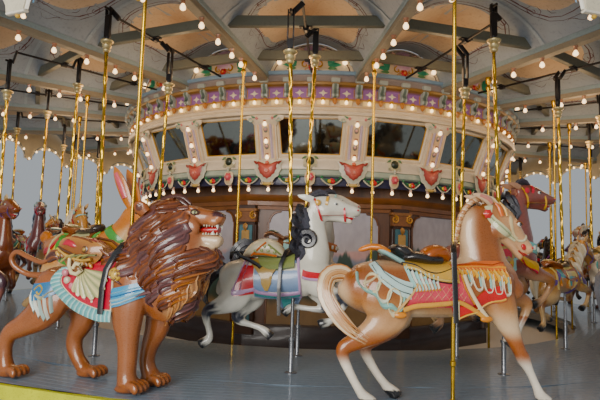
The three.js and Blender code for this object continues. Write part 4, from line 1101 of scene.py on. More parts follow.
# Centre house: nine brown boarded sides that stand on the ground, each with a landscape painted on
# a tall board between ochre strips, its upper corners notched and rounded.
HOUSE_SIDES, HOUSE_FIRST, WALL_RADIUS = 9, -18.2, 3.3
WALL_FACE = WALL_RADIUS * math.cos(math.radians(180 / HOUSE_SIDES))
CORNERS = HOUSE_FIRST + 40 * np.arange(HOUSE_SIDES)
HOUSE_FACES = CORNERS + 20
BROWN, DARK_BROWN = (0.16, 0.065, 0.025), (0.045, 0.022, 0.014)
OCHRE, TEAL = (0.42, 0.27, 0.11), (0.07, 0.16, 0.19)
PANEL_HALF, PANEL_LOW, PANEL_HIGH, NOTCH = 0.83, TOP + 0.02, TOP + 1.74, 0.16


def grained_group():
    """Wood under varnish: noise drawn out along the height tells dark grain from light."""
    group = bpy.data.node_groups.new("wood_grain", "ShaderNodeTree")
    for name in ("Light", "Dark"):
        group.interface.new_socket(name, in_out="INPUT", socket_type="NodeSocketColor")
    group.interface.new_socket("Fineness", in_out="INPUT", socket_type="NodeSocketFloat")
    group.interface.new_socket("Color", in_out="OUTPUT", socket_type="NodeSocketColor")
    group.interface.new_socket("Normal", in_out="OUTPUT", socket_type="NodeSocketVector")
    nodes, link = group.nodes, group.links.new
    given, result = nodes.new("NodeGroupInput"), nodes.new("NodeGroupOutput")
    place, stretch = nodes.new("ShaderNodeTexCoord"), nodes.new("ShaderNodeMapping")
    grain, mix = nodes.new("ShaderNodeTexNoise"), nodes.new("ShaderNodeMix")
    bump = nodes.new("ShaderNodeBump")
    stretch.inputs["Scale"].default_value = (9, 9, 0.8)
    grain.inputs["Detail"].default_value = 6
    mix.data_type = "RGBA"
    bump.inputs["Strength"].default_value = 0.2
    bump.inputs["Distance"].default_value = 0.003
    link(place.outputs["Object"], stretch.inputs["Vector"])
    link(stretch.outputs[0], grain.inputs["Vector"])
    link(given.outputs["Fineness"], grain.inputs["Scale"])
    link(grain.outputs["Fac"], mix.inputs["Factor"])
    link(given.outputs["Dark"], mix.inputs["A"])
    link(given.outputs["Light"], mix.inputs["B"])
    link(grain.outputs["Fac"], bump.inputs["Height"])
    link(mix.outputs["Result"], result.inputs["Color"])
    link(bump.outputs[0], result.inputs["Normal"])
    return group


GRAINED = grained_group()


def varnished(name, light, dark, fineness=1.6, roughness=0.35):
    """Varnished wood in two tones."""
    made = bpy.data.materials.new(name)
    made.use_nodes = True
    nodes, link = made.node_tree.nodes, made.node_tree.links.new
    shader, grain = nodes["Principled BSDF"], nodes.new("ShaderNodeGroup")
    grain.node_tree = GRAINED
    grain.inputs["Light"].default_value = (*light, 1)
    grain.inputs["Dark"].default_value = (*dark, 1)
    grain.inputs["Fineness"].default_value = fineness
    link(grain.outputs["Color"], shader.inputs["Base Color"])
    link(grain.outputs["Normal"], shader.inputs["Normal"])
    shader.inputs["Roughness"].default_value = roughness
    return made


refinish("house_walls", varnished("house_boards", BROWN, DARK_BROWN))
PANEL_FACE = WALL_FACE + 0.004
corner_turn = np.linspace(0, math.pi / 2, 7)


def panel_outline(half, low, high):
    """A board whose upper corners are cut back in a hollow curve below a short square step."""
    right_side = np.vstack([[(half, low), (half, high - NOTCH - 0.03)],
                            np.stack([half - NOTCH * (1 - np.cos(corner_turn)) - 0.02,
                                      high - 0.03 - NOTCH * (1 - np.sin(corner_turn))], -1),
                            [(half - NOTCH - 0.03, high)]])
    return np.vstack([right_side, right_side[::-1] * [-1, 1]])


def landscape_paint():
    """A painted view: a dusk sky paler towards the hills, pink and blue hills, masses of dark firs
    and an ochre meadow, each laid over the last below its own wavering height."""
    made = bpy.data.materials.new("landscape_paint")
    made.use_nodes = True
    nodes, link = made.node_tree.nodes, made.node_tree.links.new
    shader, where = nodes["Principled BSDF"], nodes.new("ShaderNodeUVMap")
    split = nodes.new("ShaderNodeSeparateXYZ")
    where.uv_map = "UVMap"
    link(where.outputs["UV"], split.inputs[0])

    def noise(across, up, detail, shift):
        stretch, texture = nodes.new("ShaderNodeMapping"), nodes.new("ShaderNodeTexNoise")
        stretch.inputs["Scale"].default_value = (across, up, 1)
        stretch.inputs["Location"].default_value = (shift, shift * 2, shift)
        texture.inputs["Scale"].default_value = 1.0
        texture.inputs["Detail"].default_value = detail
        link(where.outputs["UV"], stretch.inputs["Vector"])
        link(stretch.outputs[0], texture.inputs["Vector"])
        return texture.outputs["Fac"]

    def below(height, wave, texture, soft):
        """One where the point lies under height plus wave times the noise."""
        lifted, span = nodes.new("ShaderNodeMath"), nodes.new("ShaderNodeMapRange")
        lifted.operation = "MULTIPLY_ADD"
        lifted.inputs[1].default_value = -wave
        link(texture, lifted.inputs[0])
        link(split.outputs["Y"], lifted.inputs[2])
        span.interpolation_type = "SMOOTHSTEP"
        span.inputs["From Min"].default_value = height - wave / 2 + soft
        span.inputs["From Max"].default_value = height - wave / 2 - soft
        link(lifted.outputs[0], span.inputs["Value"])
        return span.outputs["Result"]

    def over(base, colour, mask):
        mix = nodes.new("ShaderNodeMix")
        mix.data_type = "RGBA"
        mix.inputs["B"].default_value = (*colour, 1)
        link(mask, mix.inputs["Factor"])
        if isinstance(base, tuple):
            mix.inputs["A"].default_value = (*base, 1)
        else:
            link(base, mix.inputs["A"])
        return mix.outputs["Result"]

    view = over((0.34, 0.32, 0.36), (0.5, 0.42, 0.4), below(0.62, 0.3, noise(1.5, 3, 3, 1.0), 0.28))
    view = over(view, (0.5, 0.3, 0.28), below(0.66, 0.45, noise(1.6, 0.3, 2, 4.0), 0.015))
    view = over(view, (0.2, 0.23, 0.3), below(0.6, 0.35, noise(2.6, 0.5, 4, 9.0), 0.03))
    view = over(view, (0.03, 0.06, 0.045), below(0.64, 1.5, noise(3.0, 0.6, 6, 13.0), 0.03))
    view = over(view, (0.03, 0.045, 0.025), below(0.3, 0.35, noise(9.0, 3.0, 5, 17.0), 0.03))
    view = over(view, (0.22, 0.13, 0.045), below(0.22, 0.3, noise(3.0, 2.0, 5, 21.0), 0.05))
    streak = nodes.new("ShaderNodeMapRange")
    streak.inputs["To Min"].default_value, streak.inputs["To Max"].default_value = 0.72, 1.25
    link(noise(16.0, 9.0, 6, 30.0), streak.inputs["Value"])
    tint = nodes.new("ShaderNodeVectorMath")
    tint.operation = "SCALE"
    link(view, tint.inputs[0])
    link(streak.outputs["Result"], tint.inputs["Scale"])
    link(tint.outputs[0], shader.inputs["Base Color"])
    shader.inputs["Roughness"].default_value = 0.45
    return made


panel_line = panel_outline(PANEL_HALF, PANEL_LOW, PANEL_HIGH)
panel = plate(panel_line, 0.008, 0.1, 2, (0, (PANEL_LOW + PANEL_HIGH) / 2))
panel = panel._replace(uv=np.stack([panel.points[:, 0] / (2 * PANEL_HALF) + 0.5,
                                    (panel.points[:, 2] - PANEL_LOW) / (PANEL_HIGH - PANEL_LOW)], -1))
views = turned(moved(panel, (0, -PANEL_FACE, 0)), HOUSE_FACES)
views = views._replace(uv=views.uv + np.repeat(np.arange(HOUSE_SIDES) * 3.7, len(panel.points))[:, None]
                       * [1, 0])
piece("landscape_boards", views, "centre", [landscape_paint()])

# House frame: dark plinth, cornice and square corner posts with ochre panels edged in blue green,
# under carved capitals with gilded volutes.
CORNICE_LINE = [(3.32, 1.74), (3.33, 1.74), (3.335, 1.79), (3.36, 1.8), (3.365, 1.86), (3.4, 1.89),
                (3.42, 1.955),
                (3.32, 1.96)]
house_parts = [ring(above_deck(CORNICE_LINE), HOUSE_SIDES, (0.2, 0.085, 0.035), first=HOUSE_FIRST),
               ring([(3.28, 0), (3.385, 0), (3.385, 0.36), (3.36, 0.4), (3.28, 0.4)], HOUSE_SIDES,
                    (0.03, 0.02, 0.02),
                    first=HOUSE_FIRST)]
side_parts = []
for side in (-1, 1):
    side_parts.append(tube(np.stack([panel_line[:len(panel_line) // 2, 0] * side,
                                     np.full(len(panel_line) // 2, -0.008),
                                     panel_line[:len(panel_line) // 2, 1]], -1), 0.014, 6,
                           (0, 1, 0.001), paint=BROWN))
side_parts.append(tube([(x, -0.008, PANEL_HIGH) for x in np.linspace(-0.66, 0.66, 5)], 0.014, 6,
                       (0, 1, 0.001), paint=BROWN))
house_parts.append(turned(moved(joined(side_parts), (0, -PANEL_FACE, 0)), HOUSE_FACES))
POST_HALF, POST_FRONT = 0.135, 3.402
post = [block((-POST_HALF, POST_HALF), (-POST_FRONT + 0.03, -3.24), (0.25, TOP + 1.8), 0.01, DARK_BROWN),
        block((-0.105, 0.105), (-POST_FRONT + 0.012, -3.36), (TOP + 0.06, TOP + 1.5), 0.012, TEAL),
        block((-0.062, 0.062), (-POST_FRONT + 0.003, -3.38), (TOP + 0.14, TOP + 1.42), 0.01, OCHRE),
        block((-0.16, 0.16), (-POST_FRONT + 0.001, -3.3), (TOP + 1.54, TOP + 1.7), 0.012,
              (0.2, 0.09, 0.04)),
        block((-0.175, 0.175), (-POST_FRONT - 0.002, -3.3), (TOP + 1.7, TOP + 1.745), 0.012,
              (0.25, 0.12, 0.05)),
        block((-0.16, 0.16), (-POST_FRONT + 0.01, -3.3), (TOP - 0.1, TOP + 0.06), 0.012, DARK_BROWN)]
for side in (-1, 1):
    scroll = volute((side * 0.125, TOP + 1.64), 0.062, side, 1.5, 0.014, (0.5, 0.27, 0.09), start=90)
    post.append(moved(scroll, (0, -POST_FRONT + 0.005, 0)))
    post.append(tube([(side * 0.145, -3.36, z) for z in (TOP + 0.1, TOP + 0.8, TOP + 1.5)], (0.016, 0.02),
                     8, (0, 1, 0.01),
                     paint=DARK_BROWN))
post.append(moved(leaf((0, TOP + 1.53), (0, TOP + 1.4), 0.04, (0.3, 0.16, 0.06), 0.02),
                  (0, -POST_FRONT + 0.01, 0)))
house_parts.append(turned(joined(post), CORNERS))
HOUSE_PAINT = finish("house_paint", roughness=0.35, shade=0.3, specks=0.25, scale=6.0, bump=0.25, coat=0.2)
piece("house_woodwork", joined(house_parts), "centre", [HOUSE_PAINT], ["house_frame"])

# Palomino: the tall standing horse of the outer ring, glued up from basswood blocks and carved,
# mahogany brown shading to cream under gloss varnish, with a roached mane and one raised foreleg.
OUTER_ROW, HORSE_BAY, LION_BAY, HORSE_AHEAD = 6.9, 1, 0, 0.1


def limb(stations, sides=14, per_span=5, paint=(1, 1, 1), finish=0):
    """A carved limb through stations (forward, height, half height, half width, aside): a spline
    with an oval square to its path in the x-z plane at every step, closed at both ends."""
    stations = np.array([list(s) + [0.0] * (5 - len(s)) for s in stations], float)
    line = spline(stations, per_span * (len(stations) - 1) + 1)
    way = np.gradient(line[:, [0, 1]], axis=0)
    way /= np.linalg.norm(way, axis=1)[:, None] + 1e-9
    turn = circle(sides)[None]
    high = np.maximum(line[:, 2:3], 0.002) * np.sin(turn)
    wide = np.maximum(line[:, 3:4], 0.002) * np.cos(turn)
    points = np.stack([line[:, 0:1] - way[:, 1:2] * high, line[:, 4:5] + wide,
                       line[:, 1:2] + way[:, 0:1] * high], -1)
    return surface(points, around=True, ends=True, paint=paint, finish=finish)


def muscle(centre, half_sizes, tilt=0.0, sides=14, paint=(1, 1, 1), finish=0):
    """An egg shape at (forward, aside, height), its long axis tilted up by an angle in degrees."""
    turn = circle(sides)[None]
    rise = np.linspace(-1, 1, 9 if sides > 10 else 7)[1:-1, None] * math.pi / 2
    x, y, z = (half_sizes[0] * np.sin(rise) + 0 * turn, half_sizes[1] * np.cos(rise) * np.cos(turn),
               half_sizes[2] * np.cos(rise) * np.sin(turn))
    c, s = math.cos(math.radians(tilt)), math.sin(math.radians(tilt))
    points = np.stack([centre[0] + x * c - z * s, centre[1] + y, centre[2] + x * s + z * c], -1)
    return surface(points, around=True, ends=True, paint=paint, finish=finish)


def egg_pair(forward, aside, height, half_sizes, tilt=0.0):
    """Two egg shapes, one on each side of the middle."""
    return [muscle((forward, side * aside, height), half_sizes, tilt) for side in (-1, 1)]


def leg_line(asides, stations):
    """A leg's stations with how far aside each lies; the last of the asides holds for the rest."""
    return [(*station, asides[min(k, len(asides) - 1)]) for k, station in enumerate(stations)]


def fresh_object(name, form):
    """A working mesh of a form, for the modifiers that fuse or fit it."""
    mesh = mesh_of(name, form)[0]
    mesh.update(calc_edges=True)
    made = bpy.data.objects.new(name, mesh)
    bpy.context.collection.objects.link(made)
    return made


def read_back(worked, finish=0):
    """The form of an object's mesh after its modifiers, four-cornered or three-cornered faces."""
    bpy.context.view_layer.update()
    seen = worked.evaluated_get(bpy.context.evaluated_depsgraph_get())
    mesh = seen.to_mesh()
    points = np.empty(len(mesh.vertices) * 3, np.float32)
    mesh.vertices.foreach_get("co", points)
    starts, sizes = np.empty(len(mesh.polygons), np.int32), np.empty(len(mesh.polygons), np.int32)
    mesh.polygons.foreach_get("loop_start", starts)
    mesh.polygons.foreach_get("loop_total", sizes)
    loops = np.empty(len(mesh.loops), np.int32)
    mesh.loops.foreach_get("vertex_index", loops)
    corner = starts[:, None] + np.minimum(np.arange(4)[None], sizes[:, None] - 1)
    points = points.reshape(-1, 3).astype(float)
    seen.to_mesh_clear()
    return Form(points, loops[corner], np.zeros((len(points), 2)), np.ones((len(points), 3)),
                np.full(len(sizes), finish))


def discard(worked):
    """Removes a working object with its mesh."""
    mesh = worked.data
    bpy.data.objects.remove(worked)
    bpy.data.meshes.remove(mesh)


def carved(parts, grain, rubs=4, keep=1.0):
    """The parts fused to one skin on a lattice of this grain and rubbed smooth. keep is the share of
    the faces that stays where the figure stands far off."""
    block_of_wood = fresh_object("carving", joined(parts))
    fuse = block_of_wood.modifiers.new("fuse", "REMESH")
    fuse.mode, fuse.voxel_size = "VOXEL", grain
    rub = block_of_wood.modifiers.new("rub", "SMOOTH")
    rub.factor, rub.iterations = 0.5, rubs
    if keep < 1:
        block_of_wood.modifiers.new("spare", "DECIMATE").ratio = keep
    form = read_back(block_of_wood)
    discard(block_of_wood)
    return form


def blended(weight, first, second):
    """Colours between two paints, by a weight for each point."""
    first = np.asarray(first, float)
    return first + (np.asarray(second, float) - first) * np.clip(weight, 0, 1)[:, None]


def ramp(values, low, high):
    """0 below low, 1 above high, smooth between."""
    share = np.clip((values - low) / (high - low), 0, 1)
    return share * share * (3 - 2 * share)


def laid(wood, axis, along, around, far=0.6):
    """Where a grid of points meets the carving when it is drawn in from a distance towards an axis,
    and which way the covering faces there. The points lie along the axis in metres and round it in
    degrees (0 up, 90 on the outer side); the axis is two points (forward, height)."""
    (x0, z0), (x1, z1) = axis
    way = np.array([x1 - x0, z1 - z0]) / math.hypot(x1 - x0, z1 - z0)
    along, around = np.broadcast_arrays(np.asarray(along, float), np.radians(around))
    up = np.array([-way[1], way[0]])
    out = np.stack([up[0] * np.cos(around), -np.sin(around), up[1] * np.cos(around)], -1)
    spine = np.stack([x0 + way[0] * along, np.zeros(along.shape), z0 + way[1] * along], -1)
    loose = fresh_object("loose", surface(spine + out * far))
    draw = loose.modifiers.new("draw", "SHRINKWRAP")
    draw.target, draw.wrap_method = wood, "PROJECT"
    draw.use_negative_direction = draw.use_positive_direction = True
    draw.project_limit = far * 0.98
    met = read_back(loose).points.reshape(spine.shape)
    discard(loose)
    reach = ((met - spine) * out).sum(-1)
    lost = (reach > 0.9 * far) | (reach < 0.01)
    if lost.any():                           # rays that passed the wood take the others' usual depth
        reach[lost] = np.median(reach[~lost]) if (~lost).any() else 0.05
        met = spine + out * reach[..., None]
    square = np.cross(np.gradient(met, axis=0), np.gradient(met, axis=1))
    square /= np.linalg.norm(square, axis=-1)[..., None] + 1e-12
    square *= np.sign((square * out).sum(-1))[..., None]
    return met, square * 0.6 + out * 0.4


def fitted(wood, axis, along, around, lift=0.006, depth=0.012, far=0.6, paint=(1, 1, 1), finish=0):
    """A covering laid on the carving, raised by lift, its back sunk in the wood."""
    met, square = laid(wood, axis, along, around, far)
    grid = np.concatenate([met + square * lift, (met - square * depth)[:, ::-1]], 1)
    made = surface(grid, around=True, ends=True, paint=paint, finish=finish)
    rows, columns = met.shape[:2]
    across, down = np.meshgrid(np.linspace(0, 1, columns), np.linspace(0, 1, rows))
    uv = np.concatenate([np.stack([across, down], -1), np.stack([across, down], -1)[:, ::-1]],
                        1).reshape(-1, 2)
    return made._replace(uv=np.vstack([uv, [[0.5, 0], [0.5, 1]]]))


def strap(wood, axis, knots, width, steps=40, lift=0.008, far=0.6, paint=(1, 1, 1), crown=0.3,
          girth=0.22, columns=5):
    """A band of leather on the carving, along a spline of knots (metres along the axis, degrees
    round it). Its width lies square to its path, where a full turn counts as the girth's length."""
    line = spline(knots, steps)
    flat = np.stack([line[:, 0], np.radians(line[:, 1]) * girth], -1)
    way = np.gradient(flat, axis=0)
    way /= np.linalg.norm(way, axis=1)[:, None] + 1e-9
    place = np.linspace(-1, 1, columns)
    across = place[None, :, None] * width / 2 * np.stack([-way[:, 1], way[:, 0]], -1)[:, None]
    grid = flat[:, None] + across
    humped = lift * (1 - crown + crown * np.sqrt(1 - place ** 2))[None]
    return fitted(wood, axis, grid[..., 0], np.degrees(grid[..., 1] / girth), humped[..., None],
                  far=far, paint=paint)


def placed(form, radius, angle):
    """A figure drawn round its pole's foot, stood on the machine at a radius and an angle."""
    return turned(moved(form, (0, 0, TOP)), angle, radius)


def strand(path, radius, count, spread, wave, sides=6, steps=22, seed=1, paints=((1, 1, 1),), flat=0.6):
    """Carved hair: locks that run side by side along a path (forward, aside, height), each swinging
    in a slow wave of its own and tapering to its end."""
    rng = np.random.default_rng(seed)
    spine = spline(path, steps)
    share = np.linspace(0, 1, steps)
    way = np.gradient(spine, axis=0)
    way /= np.linalg.norm(way, axis=1)[:, None]
    side = np.cross(way, [0, 1, 0])
    side /= np.linalg.norm(side, axis=1)[:, None] + 1e-9
    locks = []
    for k in range(count):
        place = (k / max(count - 1, 1) - 0.5) * 2
        swing = wave * np.sin(share * (5 + 2 * rng.random()) + rng.random() * 6) * share
        body_of_hair = np.sin(math.pi * np.clip(share * 0.92 + 0.08, 0, 1) ** 0.75)
        offset = (spread * place * (0.35 + 0.65 * body_of_hair) + swing)[:, None] * side
        offset = offset + np.outer(radius * 0.6 * (rng.random() - 0.5) * body_of_hair, [0, 1, 0])
        offset[:, 1] -= 0.5 * radius * (1 - place ** 2) * body_of_hair
        thick = radius * (0.3 + 0.7 * body_of_hair) * (1 - 0.92 * ramp(share, 0.72, 1.0))
        locks.append(tube(spine + offset, np.stack([thick, thick * flat], -1), sides, (0, 1, 0.001),
                          paint=paints[k % len(paints)]))
    return joined(locks)


PALOMINO_LEGS = [
    leg_line((-0.1, -0.13, -0.135), [(0.33, 0.92, 0.15, 0.1), (0.38, 0.74, 0.125, 0.085),
        (0.45, 0.57, 0.075, 0.06), (0.515, 0.43, 0.052, 0.048), (0.55, 0.365, 0.054, 0.05),
        (0.6, 0.27, 0.034, 0.034), (0.655, 0.155, 0.033, 0.033), (0.685, 0.09, 0.044, 0.042),
        (0.73, 0.045, 0.05, 0.05), (0.755, 0.008, 0.06, 0.056)]),
    leg_line((0.11, 0.13, 0.135), [(0.36, 0.88, 0.12, 0.09), (0.5, 0.82, 0.095, 0.07),
        (0.64, 0.8, 0.066, 0.055), (0.725, 0.765, 0.055, 0.05), (0.715, 0.68, 0.036, 0.036),
        (0.66, 0.57, 0.032, 0.032), (0.63, 0.51, 0.042, 0.04), (0.59, 0.46, 0.046, 0.046),
        (0.555, 0.425, 0.055, 0.052)]),
    leg_line((-0.1, -0.125, -0.13), [(-0.56, 0.9, 0.2, 0.12), (-0.52, 0.72, 0.185, 0.105),
        (-0.6, 0.585, 0.125, 0.08), (-0.75, 0.49, 0.075, 0.058), (-0.865, 0.425, 0.056, 0.05),
        (-0.855, 0.34, 0.042, 0.04), (-0.79, 0.21, 0.034, 0.036), (-0.735, 0.12, 0.036, 0.038),
        (-0.7, 0.075, 0.044, 0.044), (-0.655, 0.04, 0.05, 0.05), (-0.635, 0.008, 0.06, 0.056)]),
    leg_line((0.1, 0.125, 0.13), [(-0.5, 0.9, 0.18, 0.12), (-0.4, 0.72, 0.175, 0.1),
        (-0.44, 0.57, 0.115, 0.075), (-0.55, 0.47, 0.07, 0.056), (-0.635, 0.405, 0.056, 0.05),
        (-0.62, 0.32, 0.042, 0.04), (-0.54, 0.19, 0.034, 0.036), (-0.48, 0.115, 0.036, 0.038),
        (-0.445, 0.075, 0.044, 0.044), (-0.4, 0.04, 0.05, 0.05), (-0.375, 0.008, 0.06, 0.056)])]
PALOMINO_BODY = [
    limb([(-0.86, 0.93, 0.07, 0.07), (-0.8, 0.9, 0.15, 0.15), (-0.66, 0.875, 0.205, 0.2),
          (-0.46, 0.87, 0.225, 0.235),
          (-0.22, 0.86, 0.212, 0.225), (0.02, 0.868, 0.215, 0.225), (0.24, 0.895, 0.22, 0.215),
          (0.42, 0.93, 0.19, 0.18),
          (0.53, 0.95, 0.13, 0.13)], 20),
    limb([(0.16, 0.92, 0.2, 0.15), (0.28, 1.03, 0.215, 0.145), (0.275, 1.17, 0.185, 0.115),
          (0.245, 1.3, 0.155, 0.092),
          (0.245, 1.41, 0.135, 0.082), (0.31, 1.49, 0.105, 0.075)], 18),
    limb([(0.27, 1.44, 0.1, 0.075), (0.36, 1.46, 0.135, 0.088), (0.47, 1.415, 0.125, 0.088),
          (0.565, 1.33, 0.092, 0.072),
          (0.64, 1.245, 0.066, 0.056), (0.7, 1.18, 0.058, 0.052), (0.725, 1.145, 0.04, 0.04)], 18),
    limb([(0.42, 1.335, 0.085, 0.072), (0.5, 1.265, 0.055, 0.055), (0.57, 1.185, 0.036, 0.042),
          (0.625, 1.125, 0.034, 0.036),
          (0.645, 1.1, 0.022, 0.026)], 14),
    *egg_pair(0.42, 0.055, 1.36, (0.105, 0.055, 0.095), -45),
    *egg_pair(0.565, 0.06, 1.405, (0.05, 0.03, 0.032), -40),
    *egg_pair(0.705, 0.038, 1.185, (0.038, 0.024, 0.034), -50),
    *egg_pair(0.33, 0.14, 0.9, (0.17, 0.075, 0.14), 60),
    muscle((-0.56, -0.14, 0.82), (0.2, 0.1, 0.19), 70), muscle((-0.54, 0.14, 0.82), (0.2, 0.1, 0.19), 70),
    *egg_pair(0.47, 0.085, 0.9, (0.1, 0.07, 0.12), 70)]
horse = carved(PALOMINO_BODY + [limb(leg, 14) for leg in PALOMINO_LEGS], 0.0105, 5, 0.38)
MAHOGANY, HONEY, CREAM_COAT, SOCK, HOOF = ((0.27, 0.095, 0.036), (0.44, 0.21, 0.085), (0.72, 0.52, 0.33),
                                           (0.8, 0.72, 0.6), (0.012, 0.011, 0.012))


def palomino_paint(points):
    """Brown in the middle of each form, shading to cream at the neck's edges, the rump's back, the
    belly and the legs' rims, with white socks under brown knees and black hooves."""
    x, y, z = points.T
    coat = blended(ramp(z, 0.6, 0.78), CREAM_COAT, HONEY)
    coat = coat + (np.array(MAHOGANY) - coat) * ramp(z, 0.7, 0.9)[:, None]
    neck = ramp(z, 1.0, 1.12) * ramp(np.abs(x - 0.3), 0.07, 0.18)
    rear = ramp(-x - 0.3 * (z - 0.75), 0.76, 0.86) * ramp(z, 0.5, 0.6)
    thigh = ramp(-x, 0.3, 0.4) * ramp(0.76 - z, 0.0, 0.08)
    coat = coat + (np.array(HONEY) - coat) * (thigh * 0.7)[:, None]
    front_rim = ramp(x + 0.62 * (0.62 - z), -0.44, -0.34) * ramp(-x, 0.2, 0.3) * ramp(0.74 - z, 0, 0.05)
    for rim in (neck * 0.8, rear, front_rim):
        coat = coat + (np.array(CREAM_COAT) - coat) * rim[:, None]
    shin = blended(ramp(z, 0.29, 0.4), SOCK, (0.33, 0.11, 0.04))
    coat = coat + (shin - coat) * ramp(0.6 - z, 0, 0.12)[:, None]
    raised = (x > 0.5) & (z < 0.66) & (z > 0.4) & (y > 0.05)
    coat[raised] = blended(ramp(z[raised], 0.56, 0.66), SOCK, (0.33, 0.11, 0.04))
    hoof = (z < 0.062) | (raised & (z < 0.475 + (x - 0.58) * 0.5))
    coat[hoof] = HOOF
    head = ramp(x + z * 0.35, 0.8, 0.95) * ramp(z, 1.05, 1.1)
    face_tone = blended(ramp(z, 1.1, 1.45), (0.6, 0.34, 0.19), (0.52, 0.27, 0.13))
    return coat + (face_tone - coat) * (head * 0.75)[:, None]


horse = horse._replace(paint=palomino_paint(horse.points))
wood = fresh_object("palomino_wood", horse)
BARREL, HEAD = ((-0.95, 0.87), (0.65, 0.87)), ((0.25, 1.5), (0.72, 1.15))
RED, BLACK, YELLOW = (0.55, 0.05, 0.05), (0.012, 0.011, 0.012), (0.75, 0.52, 0.14)
ROSE, WHITE = (0.62, 0.11, 0.14), (0.74, 0.72, 0.64)


def seen(axis, places, side=1, wide=0.225, high=0.215):
    """Knots on a lengthwise axis for places (forward, height) as they are seen from the side, on a
    barrel of these half sizes; 1 is the outer side and -1 the inner one."""
    places = np.asarray(places, float)
    rise = np.clip((places[..., 1] - axis[0][1]) / high, -0.97, 0.97)
    return np.stack([places[..., 0] - axis[0][0],
                     side * np.degrees(np.arctan2(wide * np.sqrt(1 - rise ** 2), high * rise))], -1)


def both_sides(maker):
    """What the maker lays on the outer side (1), and the same on the inner side (-1)."""
    return [maker(1), maker(-1)]


SHOULDER = (0.17, 1.0)


# Its dress: a red quilted cloth with a cream net in a gilt frame, a feathered shoulder band with
# pointed loops, a saddle of ochre and black bands over a plumed flap, and cords over the rump.
def cord(side, places, width, paint, lift=0.016, steps=24, shape=(0.225, 0.215), crown=0.7):
    """A carved cord or band through places on the barrel."""
    return strap(wood, BARREL, seen(BARREL, places, side, *shape), width, steps, lift, paint=paint,
                 crown=crown, columns=3)


def patch(side, upper, lower, rows, columns, lift, paint, shape=(0.225, 0.215)):
    """A cloth on the barrel between an upper and a lower line of places."""
    top, bottom = spline(upper, rows)[:, None], spline(lower, rows)[:, None]
    share = np.linspace(0, 1, columns)[None, :, None]
    knots = seen(BARREL, top + (bottom - top) * share, side, *shape)
    return fitted(wood, BARREL, knots[..., 0], knots[..., 1], lift, paint=paint)


def frame_bar(side, places, width, paint, out=0.238):
    """A carved bar that stands free of the belly, in a plane beside it."""
    line = spline(places, 5 * len(places))
    return tube(np.stack([line[:, 0], np.full(len(line), -side * out), line[:, 1]], -1),
                (width / 2, 0.012), 6, (0, 1, 0.001),
                paint=paint)


def quilt(side):
    """The cloth, with two families of thin cream cords crossing on it."""
    made = [patch(side, [(-0.34, 0.93), (-0.15, 0.95), (0.025, 0.97)],
                  [(-0.405, 0.77), (-0.12, 0.775), (0.125, 0.775)], 17, 7,
                  0.01, ROSE)]
    for k in range(10):
        for slant in (-1, 1):
            foot = -0.4 + 0.058 * k
            places = np.array([(foot + slant * 0.13 * s, 0.775 + 0.165 * s) for s in np.linspace(0, 1, 4)])
            over_foot = places[:, 1] - 0.77
            inside = (places[:, 0] > -0.4 + 0.4 * over_foot) & (places[:, 0] < 0.12 - 0.5 * over_foot)
            if inside.sum() > 1:
                made.append(cord(side, places[inside], 0.007, (0.72, 0.42, 0.26), 0.014, 6))
    return joined(made)


def belly_frame(side):
    """The gilt frame round the cloth, its two knobs, and the red pieces beside the girth."""
    made = [frame_bar(side, [(-0.33, 0.925), (-0.365, 0.86), (-0.42, 0.79), (-0.5, 0.7)], 0.022,
                      (0.7, 0.45, 0.2)),
            frame_bar(side, [(-0.44, 0.725), (-0.343, 0.757), (-0.204, 0.77), (-0.079, 0.783),
                             (-0.03, 0.79)], 0.036, (0.68, 0.36, 0.1)),
            frame_bar(side, [(-0.03, 0.8), (0.046, 0.772), (0.143, 0.715), (0.212, 0.672)], 0.034,
                      (0.68, 0.34, 0.09)),
            frame_bar(side, [(0.03, 1.0), (0.075, 0.89), (0.145, 0.77), (0.215, 0.68)], 0.03,
                      (0.74, 0.6, 0.38)),
            frame_bar(side, [(0.005, 1.0), (0.045, 0.89), (0.11, 0.78)], 0.012, (0.7, 0.3, 0.08)),
            cord(side, [(0.125, 0.775), (0.22, 0.838), (0.37, 0.868)], 0.07, RED, 0.014, 12, SHOULDER, 0.3),
            cord(side, [(0.15, 0.735), (0.24, 0.8), (0.37, 0.828)], 0.018, (0.72, 0.42, 0.12), 0.02,
                 12, SHOULDER),
            limb([(-0.05, 0.7, 0.05, 0.008, -side * 0.232), (0.02, 0.72, 0.045, 0.01, -side * 0.232),
                  (0.1, 0.73, 0.02, 0.01, -side * 0.232)],
                 8, 3, paint=RED),
            frame_bar(side, [(-0.03, 0.665), (0.05, 0.7), (0.13, 0.722)], 0.012, YELLOW, 0.243),
            frame_bar(side, [(-0.02, 0.8), (-0.018, 0.72), (-0.015, 0.665)], 0.02, (0.74, 0.6, 0.36),
                      0.243)]
    for x, z in ((-0.462, 0.69), (0.205, 0.672)):
        made.append(muscle((x, -side * 0.236, z), (0.05, 0.022, 0.026), 0, 10, (0.68, 0.26, 0.05)))
    return joined(made)


